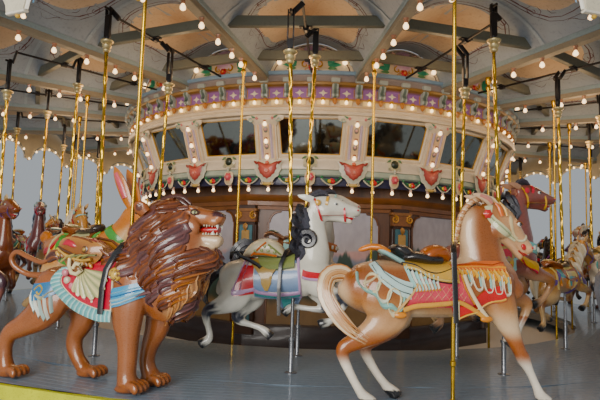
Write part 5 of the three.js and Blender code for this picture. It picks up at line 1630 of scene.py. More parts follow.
def wing(side):
    """An orange band along the shoulder with short feathers under it, and pointed loops of white
    and turquoise cord that hang from the feathers."""
    made = [cord(side, [(-0.03, 1.108), (0.12, 1.1), (0.25, 1.085), (0.38, 1.06)], 0.042,
                 (0.6, 0.13, 0.025), 0.026, 20, SHOULDER, 0.4),
            cord(side, [(-0.03, 1.12), (0.12, 1.112), (0.25, 1.098), (0.38, 1.073)], 0.007,
                 (0.3, 0.05, 0.02), 0.034, 14, SHOULDER),
            cord(side, [(-0.03, 1.082), (0.12, 1.074), (0.25, 1.06), (0.385, 1.034)], 0.012,
                 (0.72, 0.3, 0.05), 0.03, 16, SHOULDER)]
    for k in range(15):
        x, z = -0.01 + 0.028 * k, 1.078 - 0.0045 * k
        made.append(cord(side, [(x - 0.004, z), (x + 0.012, z - 0.035), (x + 0.03, z - 0.075)], 0.03,
                         ((0.68, 0.3, 0.05), (0.72, 0.46, 0.13))[k % 2], 0.022, 6, SHOULDER, 0.9))
    tops = [(0.035, 1.01), (0.1, 1.0), (0.185, 0.985), (0.27, 0.968), (0.345, 0.955), (0.413, 0.945)]
    lows = [(0.078, 0.905), (0.16, 0.88), (0.24, 0.866), (0.316, 0.858), (0.392, 0.852)]
    for k, (low_x, low_z) in enumerate(lows):
        (x0, z0), (x1, z1) = tops[k], tops[k + 1]
        left, right = x0 + 0.012, x1 - 0.004
        made.append(cord(side, [(left, z0 + 0.01), (left - 0.004, (z0 + low_z) / 2),
                                (low_x - 0.022, low_z + 0.01), (low_x + 0.02, low_z + 0.008),
                                (right + 0.004, (z1 + low_z) / 2), (right, z1 + 0.01)], 0.014,
                         (0.78, 0.72, 0.56), 0.018, 18, SHOULDER))
        made.append(cord(side, [(right - 0.016, z1 + 0.01), (right - 0.014, (z1 + low_z) / 2 + 0.01),
                                (low_x + 0.012, low_z + 0.032)], 0.009,
                         (0.34, 0.62, 0.58), 0.021, 7, SHOULDER))
    return joined(made)


def rump_cords(side):
    """The pale band with two black lines behind the saddle, the teal cord and three cream rings."""
    band = np.array([(-0.64, 1.062), (-0.6, 0.985), (-0.525, 0.925), (-0.44, 0.885), (-0.372, 0.868)])
    made = [cord(side, band, 0.066, (0.5, 0.66, 0.62), 0.014, 20, crown=0.3),
            cord(side, band + [-0.014, -0.02], 0.008, BLACK, 0.02, 18),
            cord(side, band + [0.014, 0.02], 0.008, BLACK, 0.02, 18),
            cord(side, [(-0.77, 1.01), (-0.775, 0.94), (-0.725, 0.872), (-0.65, 0.835), (-0.6, 0.775),
                        (-0.525, 0.768),
                        (-0.47, 0.745), (-0.43, 0.775), (-0.43, 0.82)], 0.021, (0.3, 0.56, 0.5), 0.02, 32),
            cord(side, [(-0.735, 0.925), (-0.68, 0.945), (-0.62, 0.985)], 0.015, (0.74, 0.62, 0.4),
                 0.016, 12)]
    for k, (x, z) in enumerate([(-0.668, 0.925), (-0.588, 0.868), (-0.508, 0.808)]):
        ring_of = [(x + 0.058 * math.cos(t), z + 0.074 * math.sin(t))
                   for t in np.linspace(0, 2 * math.pi, 9)]
        made.append(cord(side, ring_of, 0.017, ((0.76, 0.66, 0.42), (0.68, 0.72, 0.56))[k % 2], 0.015, 24))
    return joined(made)


def saddle_flap(side):
    """Ochre and gilt bands with black lines, and the plumes under them."""
    made = [patch(side, [(-0.44, 1.085), (-0.25, 1.085), (0.02, 1.085)],
                  [(-0.395, 1.035), (-0.21, 0.975), (0.0, 0.958)], 14, 5, 0.018,
                  (0.62, 0.38, 0.11)),
            cord(side, [(-0.425, 1.055), (-0.33, 1.048), (-0.24, 1.01), (-0.15, 1.0), (-0.02, 1.035)],
                 0.01, BLACK, 0.027, 18),
            cord(side, [(-0.405, 1.03), (-0.32, 1.02), (-0.22, 0.972), (-0.12, 0.95), (-0.02, 0.945)],
                 0.02, (0.7, 0.52, 0.2), 0.027, 18),
            cord(side, [(-0.4, 1.012), (-0.32, 1.0), (-0.22, 0.955), (-0.12, 0.934), (-0.02, 0.928)],
                 0.008, BLACK, 0.026, 18)]
    for k in range(8):
        s = k / 7
        root = (-0.395 + 0.235 * s, 1.03 - 0.062 * s)
        tip = (-0.335 + 0.175 * s, 0.885 + 0.012 * s)
        middle = ((root[0] + tip[0]) / 2 - 0.012, (root[1] + tip[1]) / 2)
        made.append(cord(side, [root, middle, tip], 0.034,
                         ((0.36, 0.62, 0.58), (0.72, 0.72, 0.62))[k % 2], 0.024, 9, crown=0.9))
        made.append(cord(side, [(tip[0] - 0.006, tip[1] + 0.02), (tip[0] + 0.004, tip[1] - 0.012)], 0.02,
                         (0.7, 0.34, 0.08), 0.026, 4,
                         crown=0.9))
    return joined(made)


dress = [*both_sides(quilt), *both_sides(belly_frame), *both_sides(wing), *both_sides(rump_cords),
         *both_sides(saddle_flap),
         limb([(-0.3, 1.115, 0.02, 0.05), (-0.36, 1.15, 0.055, 0.11), (-0.44, 1.185, 0.035, 0.11),
               (-0.48, 1.185, 0.014, 0.06)], 16,
              paint=BLACK),
         limb([(-0.4, 1.11, 0.03, 0.1), (-0.3, 1.125, 0.045, 0.13), (-0.18, 1.105, 0.045, 0.13),
               (-0.08, 1.1, 0.04, 0.1)], 16,
              paint=BLACK),
         limb([(-0.23, 1.09, 0.02, 0.07), (-0.19, 1.135, 0.055, 0.105), (-0.12, 1.165, 0.06, 0.1),
               (-0.05, 1.15, 0.055, 0.08),
               (0.0, 1.115, 0.03, 0.04)], 16, paint=(0.33, 0.09, 0.025)),
         limb([(-0.4, 1.075, 0.03, 0.12), (-0.47, 1.115, 0.026, 0.115), (-0.54, 1.155, 0.022, 0.09),
               (-0.585, 1.175, 0.014, 0.06)], 14,
              paint=(0.42, 0.64, 0.6)),
         limb([(-0.5, 1.155, 0.022, 0.085), (-0.57, 1.185, 0.028, 0.075), (-0.64, 1.19, 0.026, 0.055),
               (-0.7, 1.172, 0.022, 0.035),
               (-0.735, 1.16, 0.01, 0.016)], 14, paint=(0.66, 0.2, 0.035)),
         limb([(-0.39, 1.05, 0.01, 0.135), (-0.47, 1.085, 0.01, 0.13), (-0.55, 1.13, 0.008, 0.1)], 10,
              paint=BLACK)]

# The mane stands in short cream locks along the crest, and the tail is a bundle of long ones.
crest_line = spline([(0.045, 1.1), (0.06, 1.22), (0.085, 1.34), (0.12, 1.46), (0.2, 1.565), (0.3, 1.6)], 24)
lean = np.gradient(crest_line, axis=0)
lean /= np.linalg.norm(lean, axis=1)[:, None]
mane = [limb([(x, z, 0.012, 0.026),
              (x - 0.018 * n[1] - 0.01 * n[0], z + 0.018 * n[0] - 0.01 * n[1], 0.026, 0.022),
              (x - 0.032 * n[1] - 0.035 * n[0], z + 0.032 * n[0] - 0.035 * n[1], 0.008, 0.01)], 6, 3,
             paint=((0.6, 0.4, 0.24), (0.44, 0.22, 0.11))[k % 2])
        for k, ((x, z), n) in enumerate(zip(crest_line, lean))]
forelock = strand([(0.28, 0, 1.59), (0.36, -0.02, 1.6), (0.43, -0.03, 1.555)], 0.015, 3, 0.022, 0.006,
                  steps=10, seed=3,
                  paints=((0.74, 0.58, 0.38), (0.62, 0.38, 0.18)))
tail = strand([(-0.79, 0, 0.95), (-0.875, -0.005, 0.985), (-0.975, -0.03, 0.955), (-1.005, -0.08, 0.83),
               (-0.935, -0.14, 0.69),
               (-0.83, -0.18, 0.575), (-0.7, -0.2, 0.485)], 0.022, 15, 0.054, 0.016, 5, 18, seed=5,
              paints=((0.4, 0.17, 0.06), (0.66, 0.45, 0.27), (0.74, 0.58, 0.38), (0.55, 0.3, 0.14)),
              flat=0.9)
face = []
for side in (-1, 1):
    ear = [(0.335, 1.565, 0.03, 0.02, side * 0.055), (0.29, 1.6, 0.036, 0.018, side * 0.075),
           (0.22, 1.625, 0.024, 0.012, side * 0.085), (0.165, 1.635, 0.006, 0.004, side * 0.085)]
    face += [limb(ear, 10, 4, paint=(0.66, 0.46, 0.3)),
             limb([(x, z + 0.004, h * 0.55, w, a + side * 0.008) for x, z, h, w, a in ear[:3]], 8, 4,
                  paint=(0.6, 0.25, 0.2)),
             muscle((0.585, side * 0.08, 1.392), (0.024, 0.014, 0.019), -35, 12, paint=WHITE),
             muscle((0.59, side * 0.088, 1.391), (0.014, 0.01, 0.014), -35, 10, paint=BLACK),
             tube([(0.555, side * 0.08, 1.405), (0.575, side * 0.091, 1.419), (0.605, side * 0.088, 1.41),
                   (0.62, side * 0.075, 1.392)],
                  0.007, 6, paint=(0.2, 0.06, 0.02)),
             muscle((0.722, side * 0.056, 1.19), (0.014, 0.008, 0.01), -50, 10, paint=(0.45, 0.05, 0.05)),
             tube([(0.6, side * 0.04, 1.16), (0.63, side * 0.034, 1.138),
                   (0.66, side * 0.028, 1.118)], 0.008, 6,
                  paint=(0.4, 0.05, 0.04)),
             muscle((0.642, side * 0.052, 1.195), (0.022, 0.01, 0.03), 25, 10, paint=(0.46, 0.04, 0.04)),
             limb([(0.36, 1.575, 0.008, 0.01, side * 0.07), (0.395, 1.53, 0.022, 0.01, side * 0.092),
                   (0.42, 1.46, 0.02, 0.01, side * 0.098)], 8, paint=(0.62, 0.16, 0.05)),
             limb([(0.41, 1.585, 0.006, 0.01, side * 0.06), (0.445, 1.53, 0.014, 0.01, side * 0.088),
                   (0.465, 1.46, 0.012, 0.01, side * 0.096)], 8, paint=(0.7, 0.42, 0.16))]
face += [limb([(0.6, 1.165, 0.014, 0.03), (0.66, 1.135, 0.012, 0.026), (0.7, 1.125, 0.006, 0.016)], 8,
              paint=(0.55, 0.05, 0.05)),
         limb([(0.655, 1.155, 0.008, 0.03), (0.69, 1.14, 0.01, 0.028), (0.712, 1.128, 0.006, 0.02)],
              8, paint=WHITE)]


def on_head(knots, width, paint, lift=0.01):
    """A bridle strap on the head."""
    return strap(wood, HEAD, knots, width, 30, lift=lift, far=0.16, paint=paint, girth=0.09)


bridle = [f for s in (1, -1) for f in (
    on_head([(0.02, s * 40), (0.06, s * 84), (0.16, s * 100), (0.28, s * 104), (0.4, s * 96)], 0.05,
            (0.58, 0.56, 0.34)),
    on_head([(0.04, s * 84), (0.16, s * 96), (0.28, s * 100), (0.39, s * 95)], 0.008,
            (0.3, 0.36, 0.2), 0.018),
    on_head([(0.2, s * 14), (0.26, s * 48), (0.34, s * 76), (0.42, s * 92)], 0.026, (0.66, 0.52, 0.3),
            0.014),
    on_head([(0.42, s * 90), (0.46, s * 60), (0.47, s * 10)], 0.022, (0.6, 0.55, 0.36)))]
rosette = moved(blossom(0.036, 6, (0.62, 0.1, 0.06), RED), (0.285, -0.098, 1.48))
belt = [tube([(-0.062, -0.262, 1.166), (-0.056, -0.262, 1.0), (-0.05, -0.262, 0.85),
              (-0.043, -0.262, 0.641)], (0.005, 0.021), 8,
             (1, 0, 0.001), paint=BLACK),
        tube([(0.035, -0.02, 1.25), (0.0, -0.1, 1.25), (-0.04, -0.2, 1.215), (-0.062, -0.262, 1.16)],
             (0.021, 0.005), 8, (0, 0, 1),
             paint=BLACK)]
PALOMINO_POLE = [(0.0165, 0.001), (0.028, 0.002), (0.028, 0.012), (0.0165, 0.02), (0.0165, 0.27),
                 (0.024, 0.28), (0.024, 0.31),
                 (0.0165, 0.32), (0.0165, 3.38), (0.03, 3.42), (0.022, 3.45), (0.036, 3.485),
                 (0.036, 3.4995)]
GLOSS = finish("carved_gloss", roughness=0.3, shade=0.18, specks=0.06, scale=7.0, bump=0.06, coat=0.55,
               rich=1.12)
discard(wood)
figure = joined([horse, *dress, *mane, forelock, tail, *face, *bridle, rosette, *belt])
x, y, z = figure.points.T
drawn_in = 0.09 * ramp(x, 0.26, 0.44) * ramp(z, 1.02, 1.12)     # the head is a little shorter than drawn
figure = figure._replace(points=np.stack([x - drawn_in * (x - 0.25), y,
                                          np.maximum(z + drawn_in * (1.56 - z), 0.001)], -1))
figure = moved(figure, (HORSE_AHEAD, 0, 0))
piece("palomino", placed(figure, OUTER_ROW, SWEEPS[HORSE_BAY]), "turntable", [GLOSS],
      ["outer_horse"], sharp=60)
piece("palomino_pole", placed(moved(spun(PALOMINO_POLE, 14), (HORSE_AHEAD + 0.04, 0, 0)), OUTER_ROW,
                              SWEEPS[HORSE_BAY]), "turntable", [BRASS])

# Lion: carved basswood like the palomino, warm brown under gloss varnish, its mane of deep waved
# locks stained dark, with a painted highlight on each ridge and painted shade in each groove, with a
# leaf-carved saddle, a fringed cloth and a belt hung from its pole.
LION_AHEAD = -0.12
LION_LEGS = [
    leg_line((-0.12, -0.15, -0.155), [(0.12, 0.88, 0.19, 0.11), (0.12, 0.7, 0.16, 0.105),
        (0.125, 0.53, 0.125, 0.09), (0.14, 0.38, 0.088, 0.076), (0.145, 0.24, 0.078, 0.07),
        (0.145, 0.14, 0.076, 0.07), (0.16, 0.07, 0.085, 0.085)]),
    leg_line((0.1, 0.11, 0.115), [(0.26, 0.84, 0.16, 0.1), (0.25, 0.66, 0.135, 0.09),
        (0.225, 0.48, 0.11, 0.08), (0.165, 0.32, 0.075, 0.066), (0.145, 0.2, 0.066, 0.062),
        (0.165, 0.12, 0.068, 0.066), (0.195, 0.07, 0.075, 0.08)]),
    leg_line((-0.09, -0.13, -0.14), [(-0.66, 0.8, 0.19, 0.12), (-0.68, 0.66, 0.19, 0.115),
        (-0.76, 0.54, 0.145, 0.095), (-0.92, 0.44, 0.1, 0.075), (-1.055, 0.365, 0.08, 0.064),
        (-1.1, 0.265, 0.064, 0.056), (-1.095, 0.155, 0.058, 0.056), (-1.07, 0.075, 0.062, 0.066)]),
    leg_line((0.09, 0.13, 0.14), [(-0.58, 0.78, 0.18, 0.12), (-0.56, 0.62, 0.165, 0.11),
        (-0.555, 0.47, 0.115, 0.09), (-0.615, 0.34, 0.082, 0.068), (-0.62, 0.24, 0.074, 0.06),
        (-0.57, 0.14, 0.06, 0.056), (-0.51, 0.075, 0.06, 0.066)])]
PAWS = [(0.185, -0.155), (0.215, 0.115), (-1.015, -0.14), (-0.43, 0.14)]
paw_parts = []
for x, y in PAWS:
    paw_parts += [muscle((x - 0.01, y, 0.05), (0.11, 0.076, 0.052)),
                  muscle((x - 0.04, y, 0.024), (0.1, 0.07, 0.03))]
    paw_parts += [limb([(x + 0.02, 0.07, 0.03, 0.022, y + a),
                        (x + 0.075, 0.062, 0.036, 0.023, y + a * 1.12),
                        (x + 0.108 - abs(a) * 0.25, 0.036, 0.034, 0.022, y + a * 1.18),
                        (x + 0.112 - abs(a) * 0.25, 0.012, 0.012, 0.012, y + a * 1.18)], 10, 4)
                  for a in (-0.063, -0.022, 0.022, 0.063)]
LION_BODY = [
    limb([(-0.9, 0.8, 0.06, 0.06), (-0.82, 0.785, 0.145, 0.13), (-0.66, 0.765, 0.19, 0.18),
          (-0.42, 0.775, 0.2, 0.2),
          (-0.14, 0.82, 0.24, 0.21), (0.1, 0.86, 0.28, 0.215), (0.32, 0.86, 0.29, 0.19),
          (0.46, 0.82, 0.22, 0.14),
          (0.56, 0.76, 0.12, 0.1)], 20),
    limb([(0.36, 0.56, 0.12, 0.1), (0.38, 0.68, 0.23, 0.17), (0.385, 0.85, 0.29, 0.205),
          (0.385, 1.02, 0.36, 0.225),
          (0.365, 1.16, 0.35, 0.225), (0.35, 1.28, 0.29, 0.2), (0.365, 1.4, 0.22, 0.16),
          (0.395, 1.49, 0.13, 0.11),
          (0.4, 1.53, 0.05, 0.05)], 22),
    limb([(0.4, 1.33, 0.15, 0.14), (0.5, 1.365, 0.125, 0.125), (0.6, 1.378, 0.098, 0.1),
          (0.7, 1.38, 0.07, 0.07),
          (0.785, 1.375, 0.062, 0.064), (0.83, 1.372, 0.05, 0.054), (0.85, 1.365, 0.028, 0.035)], 20),
    limb([(0.5, 1.2, 0.12, 0.11), (0.64, 1.205, 0.085, 0.082), (0.75, 1.2, 0.058, 0.062),
          (0.815, 1.193, 0.05, 0.052),
          (0.842, 1.188, 0.03, 0.036)], 18),
    *egg_pair(0.58, 0.085, 1.31, (0.115, 0.055, 0.085), -20),
    *egg_pair(0.775, 0.04, 1.352, (0.06, 0.036, 0.04), -8),
    *egg_pair(0.595, 0.068, 1.448, (0.055, 0.032, 0.026), -12),
    *egg_pair(0.7, 0.03, 1.06, (0.125, 0.085, 0.105), 70),
    muscle((0.08, -0.15, 0.8), (0.16, 0.085, 0.24), 0), muscle((0.1, 0.15, 0.8), (0.16, 0.085, 0.24), 0),
    muscle((-0.68, -0.13, 0.72), (0.17, 0.095, 0.2), 0), muscle((-0.62, 0.13, 0.7), (0.16, 0.095, 0.2), 0),
    limb([(-0.8, 0.87, 0.05, 0.05), (-0.92, 0.855, 0.032, 0.032, 0.0), (-1.05, 0.865, 0.027, 0.027, -0.02),
          (-1.16, 0.925, 0.026, 0.026, -0.05), (-1.195, 0.995, 0.025, 0.025, -0.06),
          (-1.13, 1.055, 0.024, 0.024, -0.07),
          (-0.99, 1.015, 0.023, 0.023, -0.08), (-0.84, 0.975, 0.023, 0.023, -0.09),
          (-0.74, 1.0, 0.02, 0.02, -0.1)], 12)]
beast = carved(LION_BODY + [limb(leg, 14) for leg in LION_LEGS] + paw_parts, 0.0105, 4, 0.33)
FUR, PALE_FUR = (0.285, 0.105, 0.046), (0.5, 0.27, 0.13)


def lion_paint(points):
    """Warm brown, darker in the mane, paler on the muzzle, the chin and the foot of the chest, with
    a dark beard and nose leather."""
    x, z = points[:, 0], points[:, 2]
    coat = blended(ramp(z, 0.1, 0.95), (0.3, 0.112, 0.048), FUR)
    hair = ramp(x, -0.02, 0.12) * ramp(z, 0.92, 1.1) * ramp(0.56 - x, -0.04, 0.06)
    coat = coat + (np.array((0.1, 0.03, 0.018)) - coat) * hair[:, None]
    muzzle = ramp(x, 0.66, 0.76) * ramp(z, 1.28, 1.33) * ramp(1.4 - z, 0, 0.03)
    chin = ramp(x, 0.66, 0.76) * ramp(1.25 - z, 0, 0.03) * ramp(z, 1.12, 1.15)
    beard = ramp(x, 0.6, 0.7) * ramp(1.14 - z, 0, 0.03) * ramp(z, 0.93, 0.98)
    for share, tone in ((muzzle * 0.6, (0.46, 0.2, 0.1)), (beard, (0.14, 0.045, 0.022)),
                        (chin, (0.62, 0.46, 0.3)),
                        (ramp(x, 0.4, 0.5) * ramp(0.85 - z, 0, 0.2), PALE_FUR)):
        coat = coat + (np.array(tone) - coat) * share[:, None]
    coat[(x > 0.775) & (z > 1.388)] = (0.045, 0.012, 0.016)
    return coat


beast = beast._replace(paint=lion_paint(beast.points))
wood = fresh_object("lion_wood", beast)
FLANK, MANE = ((-1.0, 0.8), (0.6, 0.8)), ((0.37, 0.55), (0.38, 1.55))
# Pairs of hair tones over the dark stain: the first is a painted highlight for the ridges, the second
# painted shade for the grooves; the purplish pair paints a gloss sheen.
HAIR_HIGHLIGHTS_AND_SHADES = [((0.19, 0.06, 0.026), (0.04, 0.013, 0.012)), ((0.26, 0.082, 0.03), (0.06, 0.02, 0.014)),
              ((0.165, 0.07, 0.068), (0.045, 0.017, 0.018)), ((0.4, 0.155, 0.05), (0.14, 0.04, 0.018))]


def clump(side, heights, angles, width, lift, tones, steps=10):
    """A carved lock on the mane: a band that swells from its root and draws to a point, with three
    ridges along it, painted bright on the ridges as a highlight and dark between them as shade."""
    line = spline(np.stack([np.asarray(heights) - MANE[0][1], side * np.asarray(angles, float)], -1), steps)
    flat = np.stack([line[:, 0], np.radians(line[:, 1]) * 0.28], -1)
    way = np.gradient(flat, axis=0)
    way /= np.linalg.norm(way, axis=1)[:, None] + 1e-9
    share, place = np.linspace(0, 1, steps)[:, None], np.linspace(-1, 1, 9)[None]
    wide = width / 2 * (0.55 + 0.45 * ramp(share, 0, 0.3)) * (1 - 0.9 * ramp(share, 0.55, 1.0))
    grid = flat[:, None] + (place * wide)[..., None] * np.stack([-way[:, 1], way[:, 0]], -1)[:, None]
    wave = np.cos(3 * math.pi * place)
    high = lift * (0.35 + 0.65 * ramp(share, 0, 0.6)) * (1 - 0.6 * ramp(share, 0.8, 1.0))
    high = high * np.sqrt(1 - place ** 2)
    form = fitted(wood, MANE, grid[..., 0], np.degrees(grid[..., 1] / 0.28),
                  (high * (0.78 + 0.22 * wave))[..., None], far=0.62)
    # The ridges take the first tone as a painted highlight, the grooves the second as painted shade.
    ridge, groove_shade = np.asarray(tones[0]), np.asarray(tones[1])
    tone = groove_shade + (ridge - groove_shade) * (0.5 + 0.5 * wave)[..., None]
    tone = np.broadcast_to(np.concatenate([tone, tone[:, ::-1]], 1), (steps, 18, 3)).reshape(-1, 3)
    return form._replace(paint=np.vstack([tone, tone[:2]]))


# Rings of locks from the chest up: heights of the first and last lock, angles of root and tip (0
# behind the neck, 180 in front), number, fall, width, and whether they are of the bright hair.
LOCK_RINGS = [((1.06, 0.66), (172, 136), 7, 0.17, 0.105, 1), ((1.03, 0.78), (140, 108), 5, 0.17, 0.11, 1),
              ((1.02, 0.84), (108, 82), 4, 0.17, 0.105, 0), ((1.12, 1.08), (177, 160), 2, 0.17, 0.09, 0),
              ((1.13, 1.05), (158, 140), 3, 0.17, 0.1, 0), ((1.38, 1.12), (36, 22), 5, 0.22, 0.1, 0),
              ((1.42, 1.05), (64, 40), 5, 0.23, 0.11, 0), ((1.44, 1.0), (92, 64), 6, 0.23, 0.115, 0),
              ((1.44, 0.99), (119, 90), 6, 0.22, 0.12, 0), ((1.42, 1.08), (141, 106), 5, 0.2, 0.125, 0),
              ((1.5, 1.46), (146, 80), 2, 0.07, 0.085, 0)]


def locks_of_mane(side):
    """The rings of locks on one side, each lock falling in a slow wave of its own."""
    rng = np.random.default_rng(21 + side)
    made = []
    share = np.linspace(0, 1, 5)
    for (top, bottom), (root, tip), count, fall, width, bright in LOCK_RINGS:
        for k in range(count):
            high = top + (bottom - top) * k / max(count - 1, 1) + 0.015 * rng.random()
            swing = (8 + 6 * rng.random()) * np.sin(share * 5.8 + 1.2 * rng.random())
            angles = root + (tip - root) * share ** 0.8 + swing + 6 * (rng.random() - 0.5)
            heights = high - fall * (0.8 + 0.4 * rng.random()) * share ** 1.1
            tones = HAIR_HIGHLIGHTS_AND_SHADES[3] if bright and rng.random() < 0.6 else HAIR_HIGHLIGHTS_AND_SHADES[rng.integers(3)]
            made.append(clump(side, np.clip(heights, 0.56, 1.5), np.clip(angles, 4, 177),
                              width * (0.85 + 0.3 * rng.random()),
                              0.042 + 0.012 * rng.random(), tones))
    return made


mane_locks = locks_of_mane(1) + locks_of_mane(-1)
DARK_LOCKS = ((0.07, 0.022, 0.014), (0.2, 0.065, 0.026))
crown_of_hair = [strand([(0.54, a, 1.475 - abs(a)), (0.45, a * 1.2, 1.525 - abs(a) * 1.1),
                         (0.33, a * 1.4, 1.52 - abs(a) * 1.2), (0.2, a * 1.6, 1.46 - abs(a) * 1.3),
                         (0.1, a * 1.7, 1.36 - abs(a))], 0.026, 2, 0.018, 0.01, 6, 12, seed=31 + k,
                        paints=DARK_LOCKS) for k, a in enumerate(np.linspace(-0.11, 0.11, 9))]
TEAL_FRINGE, SKY_BAND, LION_RED = (0.17, 0.43, 0.42), (0.08, 0.3, 0.5), (0.5, 0.045, 0.07)
HEM = spline([(-0.573, 0.942), (-0.585, 0.826), (-0.51, 0.727), (-0.383, 0.632), (-0.247, 0.577),
              (-0.1, 0.542), (0.024, 0.543)], 41)
FRINGE_TOP = spline([(-0.505, 0.95), (-0.51, 0.845), (-0.447, 0.765), (-0.335, 0.692), (-0.215, 0.648),
                     (-0.085, 0.62), (0.029, 0.617)],
                    41)


def beside(places, lift):
    """How far out the lion's flank lies at places (forward, height), the cloth below its middle
    hanging straight down."""
    x, z = places[..., 0], places[..., 1]
    middle, high, wide = (np.interp(x, (-0.66, -0.42, -0.14, 0.1), sizes)
                          for sizes in ((0.765, 0.775, 0.82, 0.86), (0.19, 0.2, 0.24, 0.28),
                                        (0.238, 0.216, 0.224, 0.238)))
    rise = np.clip((z - middle) / high, 0, 0.98)
    return wide * np.sqrt(1 - rise ** 2) + lift


def hanging_cloth(side, share, lift, paint):
    """The cloth from the back down to a share of the way to the fringe, with a flat back in the wood."""
    top = np.stack([np.linspace(-0.49, 0.03, 41), np.full(41, 1.01)], -1)
    rows = top[:, None] + (FRINGE_TOP - top)[:, None] * np.linspace(0, 1, 9)[None, :, None] * share
    rows[..., 0] = rows[..., 0] * share + -0.21 * (1 - share)
    out = np.stack([beside(rows, lift), beside(rows, lift - 0.035)], 0)
    face, back = (np.stack([rows[..., 0], -side * o, rows[..., 1]], -1) for o in out)
    return surface(np.concatenate([face[::2], back[::2, ::-1]], 1), around=True, ends=True, paint=paint)


def fringe(side):
    """Pleats round the cloth's edge, each a tapered strip that hangs free from it."""
    pleats = []
    for k in range(56):
        inner, outer = (np.array([np.interp(0.5 + k * 40 / 56, np.arange(41), line[:, i])
                                  for i in (0, 1)]) for line in (FRINGE_TOP, HEM))
        places = inner + (outer - inner) * np.array([-0.12, 0.5, 1.0])[:, None]
        path = np.stack([places[:, 0], -side * beside(places, np.array([0.014, 0.02, 0.012])),
                         places[:, 1]], -1)
        pleats.append(tube(path, np.array([(0.0075, 0.006), (0.01, 0.009), (0.0085, 0.005)]), 5,
                           (0, 1, 0.001),
                           paint=(TEAL_FRINGE, (0.42, 0.66, 0.62), (0.13, 0.36, 0.38))[k % 3]))
    return joined(pleats)


def lion_cord(side, places, width, paint, lift=0.026, steps=16, columns=5, crown=0.8):
    """A carved band through places on the flank."""
    return strap(wood, FLANK, seen(FLANK, places, side, 0.225, 0.26), width, steps, lift, paint=paint,
                 crown=crown, columns=columns)


def fan(side):
    """A shell of seven flutes spread over the cloth from the saddle's scroll."""
    turn = np.radians(np.linspace(-108, -4, 29))[None]
    share = np.linspace(0.08, 1, 7)[:, None]
    flutes = 1 + 0.05 * np.cos(7 * (turn * 180 / math.pi + 104) / 98 * 2 * math.pi + math.pi)
    reach = np.interp(np.degrees(turn), (-104, -64, -44, -16, -6), (0.17, 0.25, 0.32, 0.32, 0.27)) * flutes
    places = np.stack([-0.315 + reach * share * np.cos(turn), 0.945 + reach * share * np.sin(turn)], -1)
    ridge = 0.5 - 0.5 * np.cos(np.linspace(0, 14 * math.pi, 29))[None]
    face = np.stack([places[..., 0], -side * beside(places, 0.026 + 0.016 * ridge * share),
                     places[..., 1]], -1)
    back = face * [1, 0.9, 1]
    dark, pale = np.array((0.24, 0.27, 0.13)), np.array((0.7, 0.62, 0.32))
    tone = dark + (pale - dark) * (ridge * np.ones((7, 1)))[..., None]
    made = surface(np.concatenate([face, back[:, ::-1]], 1), around=True)
    return made._replace(paint=np.concatenate([tone, tone[:, ::-1]], 1).reshape(-1, 3))


def disc(side, x, z, out, profile, sides, paint):
    """A turned boss whose axis points aside, at a place on the flank."""
    form = spun(profile, sides, paint)
    across, up, high = form.points.T
    return form._replace(points=np.stack([across + x, -side * (high + out), up + z], -1))


def cantle_side(side):
    """The carved leaf at one side of the saddle: its rim curled over a red hollow, a scrolled eye,
    gilt leaves below."""
    line = spline([(-0.57, 1.06), (-0.605, 1.13), (-0.56, 1.185), (-0.47, 1.205), (-0.36, 1.195),
                   (-0.25, 1.165), (-0.17, 1.13),
                   (-0.16, 1.06), (-0.21, 1.0), (-0.29, 0.955), (-0.39, 0.92), (-0.47, 0.925),
                   (-0.53, 0.985), (-0.57, 1.06)], 34)[:-1]
    hollow = spline([(-0.56, 1.13), (-0.51, 1.18), (-0.42, 1.17), (-0.36, 1.115), (-0.41, 1.1),
                     (-0.49, 1.125), (-0.56, 1.13)], 19)[:-1]
    made = [moved(plate(line, 0.045, 0.4, 4, (-0.42, 1.08), TAN_LEAF, rim=(0.46, 0.22, 0.075)),
                  (0, -0.15, 0)),
            moved(plate(hollow, 0.03, 0.4, 3, paint=LION_RED, rim=(0.3, 0.05, 0.04)), (0, -0.172, 0)),
            tube([(-0.58, -0.18, 1.115), (-0.5, -0.197, 1.085), (-0.41, -0.2, 1.055),
                  (-0.33, -0.2, 1.045), (-0.27, -0.195, 1.06)], 0.01, 6,
                 paint=(0.09, 0.035, 0.018)),
            tube([(-0.57, -0.18, 1.085), (-0.49, -0.199, 1.05), (-0.4, -0.202, 1.022),
                  (-0.31, -0.202, 1.005), (-0.23, -0.195, 1.02)], 0.014, 6,
                 paint=(0.56, 0.34, 0.11))]
    for turn_out, size, paint in ((0.0, 0.03, (0.1, 0.04, 0.015)), (0.02, 0.018, (0.34, 0.2, 0.05))):
        made.append(disc(1, -0.3, 1.098, 0.195 + turn_out * 0.5,
                         [(size, -0.01), (size, 0.0), (size * 0.6, 0.006)], 12, paint))
    for k in range(9):
        x, z = -0.565 + 0.042 * k, 1.055 - 0.0105 * k
        made.append(muscle((x, -0.198, z), (0.03, 0.014, 0.017), -48, 8,
                           ((0.58, 0.34, 0.1), (0.22, 0.1, 0.035), (0.42, 0.2, 0.06))[k % 3]))
    made.append(tube([(-0.375, -0.222, 0.945), (-0.345, -0.23, 0.985), (-0.295, -0.236, 0.975),
                      (-0.285, -0.238, 0.93), (-0.325, -0.238, 0.898),
                      (-0.38, -0.232, 0.905), (-0.42, -0.222, 0.96), (-0.425, -0.21, 1.02)], 0.018, 8,
                     paint=(0.74, 0.63, 0.38)))
    made.append(muscle((-0.332, -0.228, 0.938), (0.03, 0.014, 0.026), 0, 12, (0.2, 0.09, 0.03)))
    form = joined(made)
    return form if side == 1 else form._replace(points=form.points * [1, -1, 1])


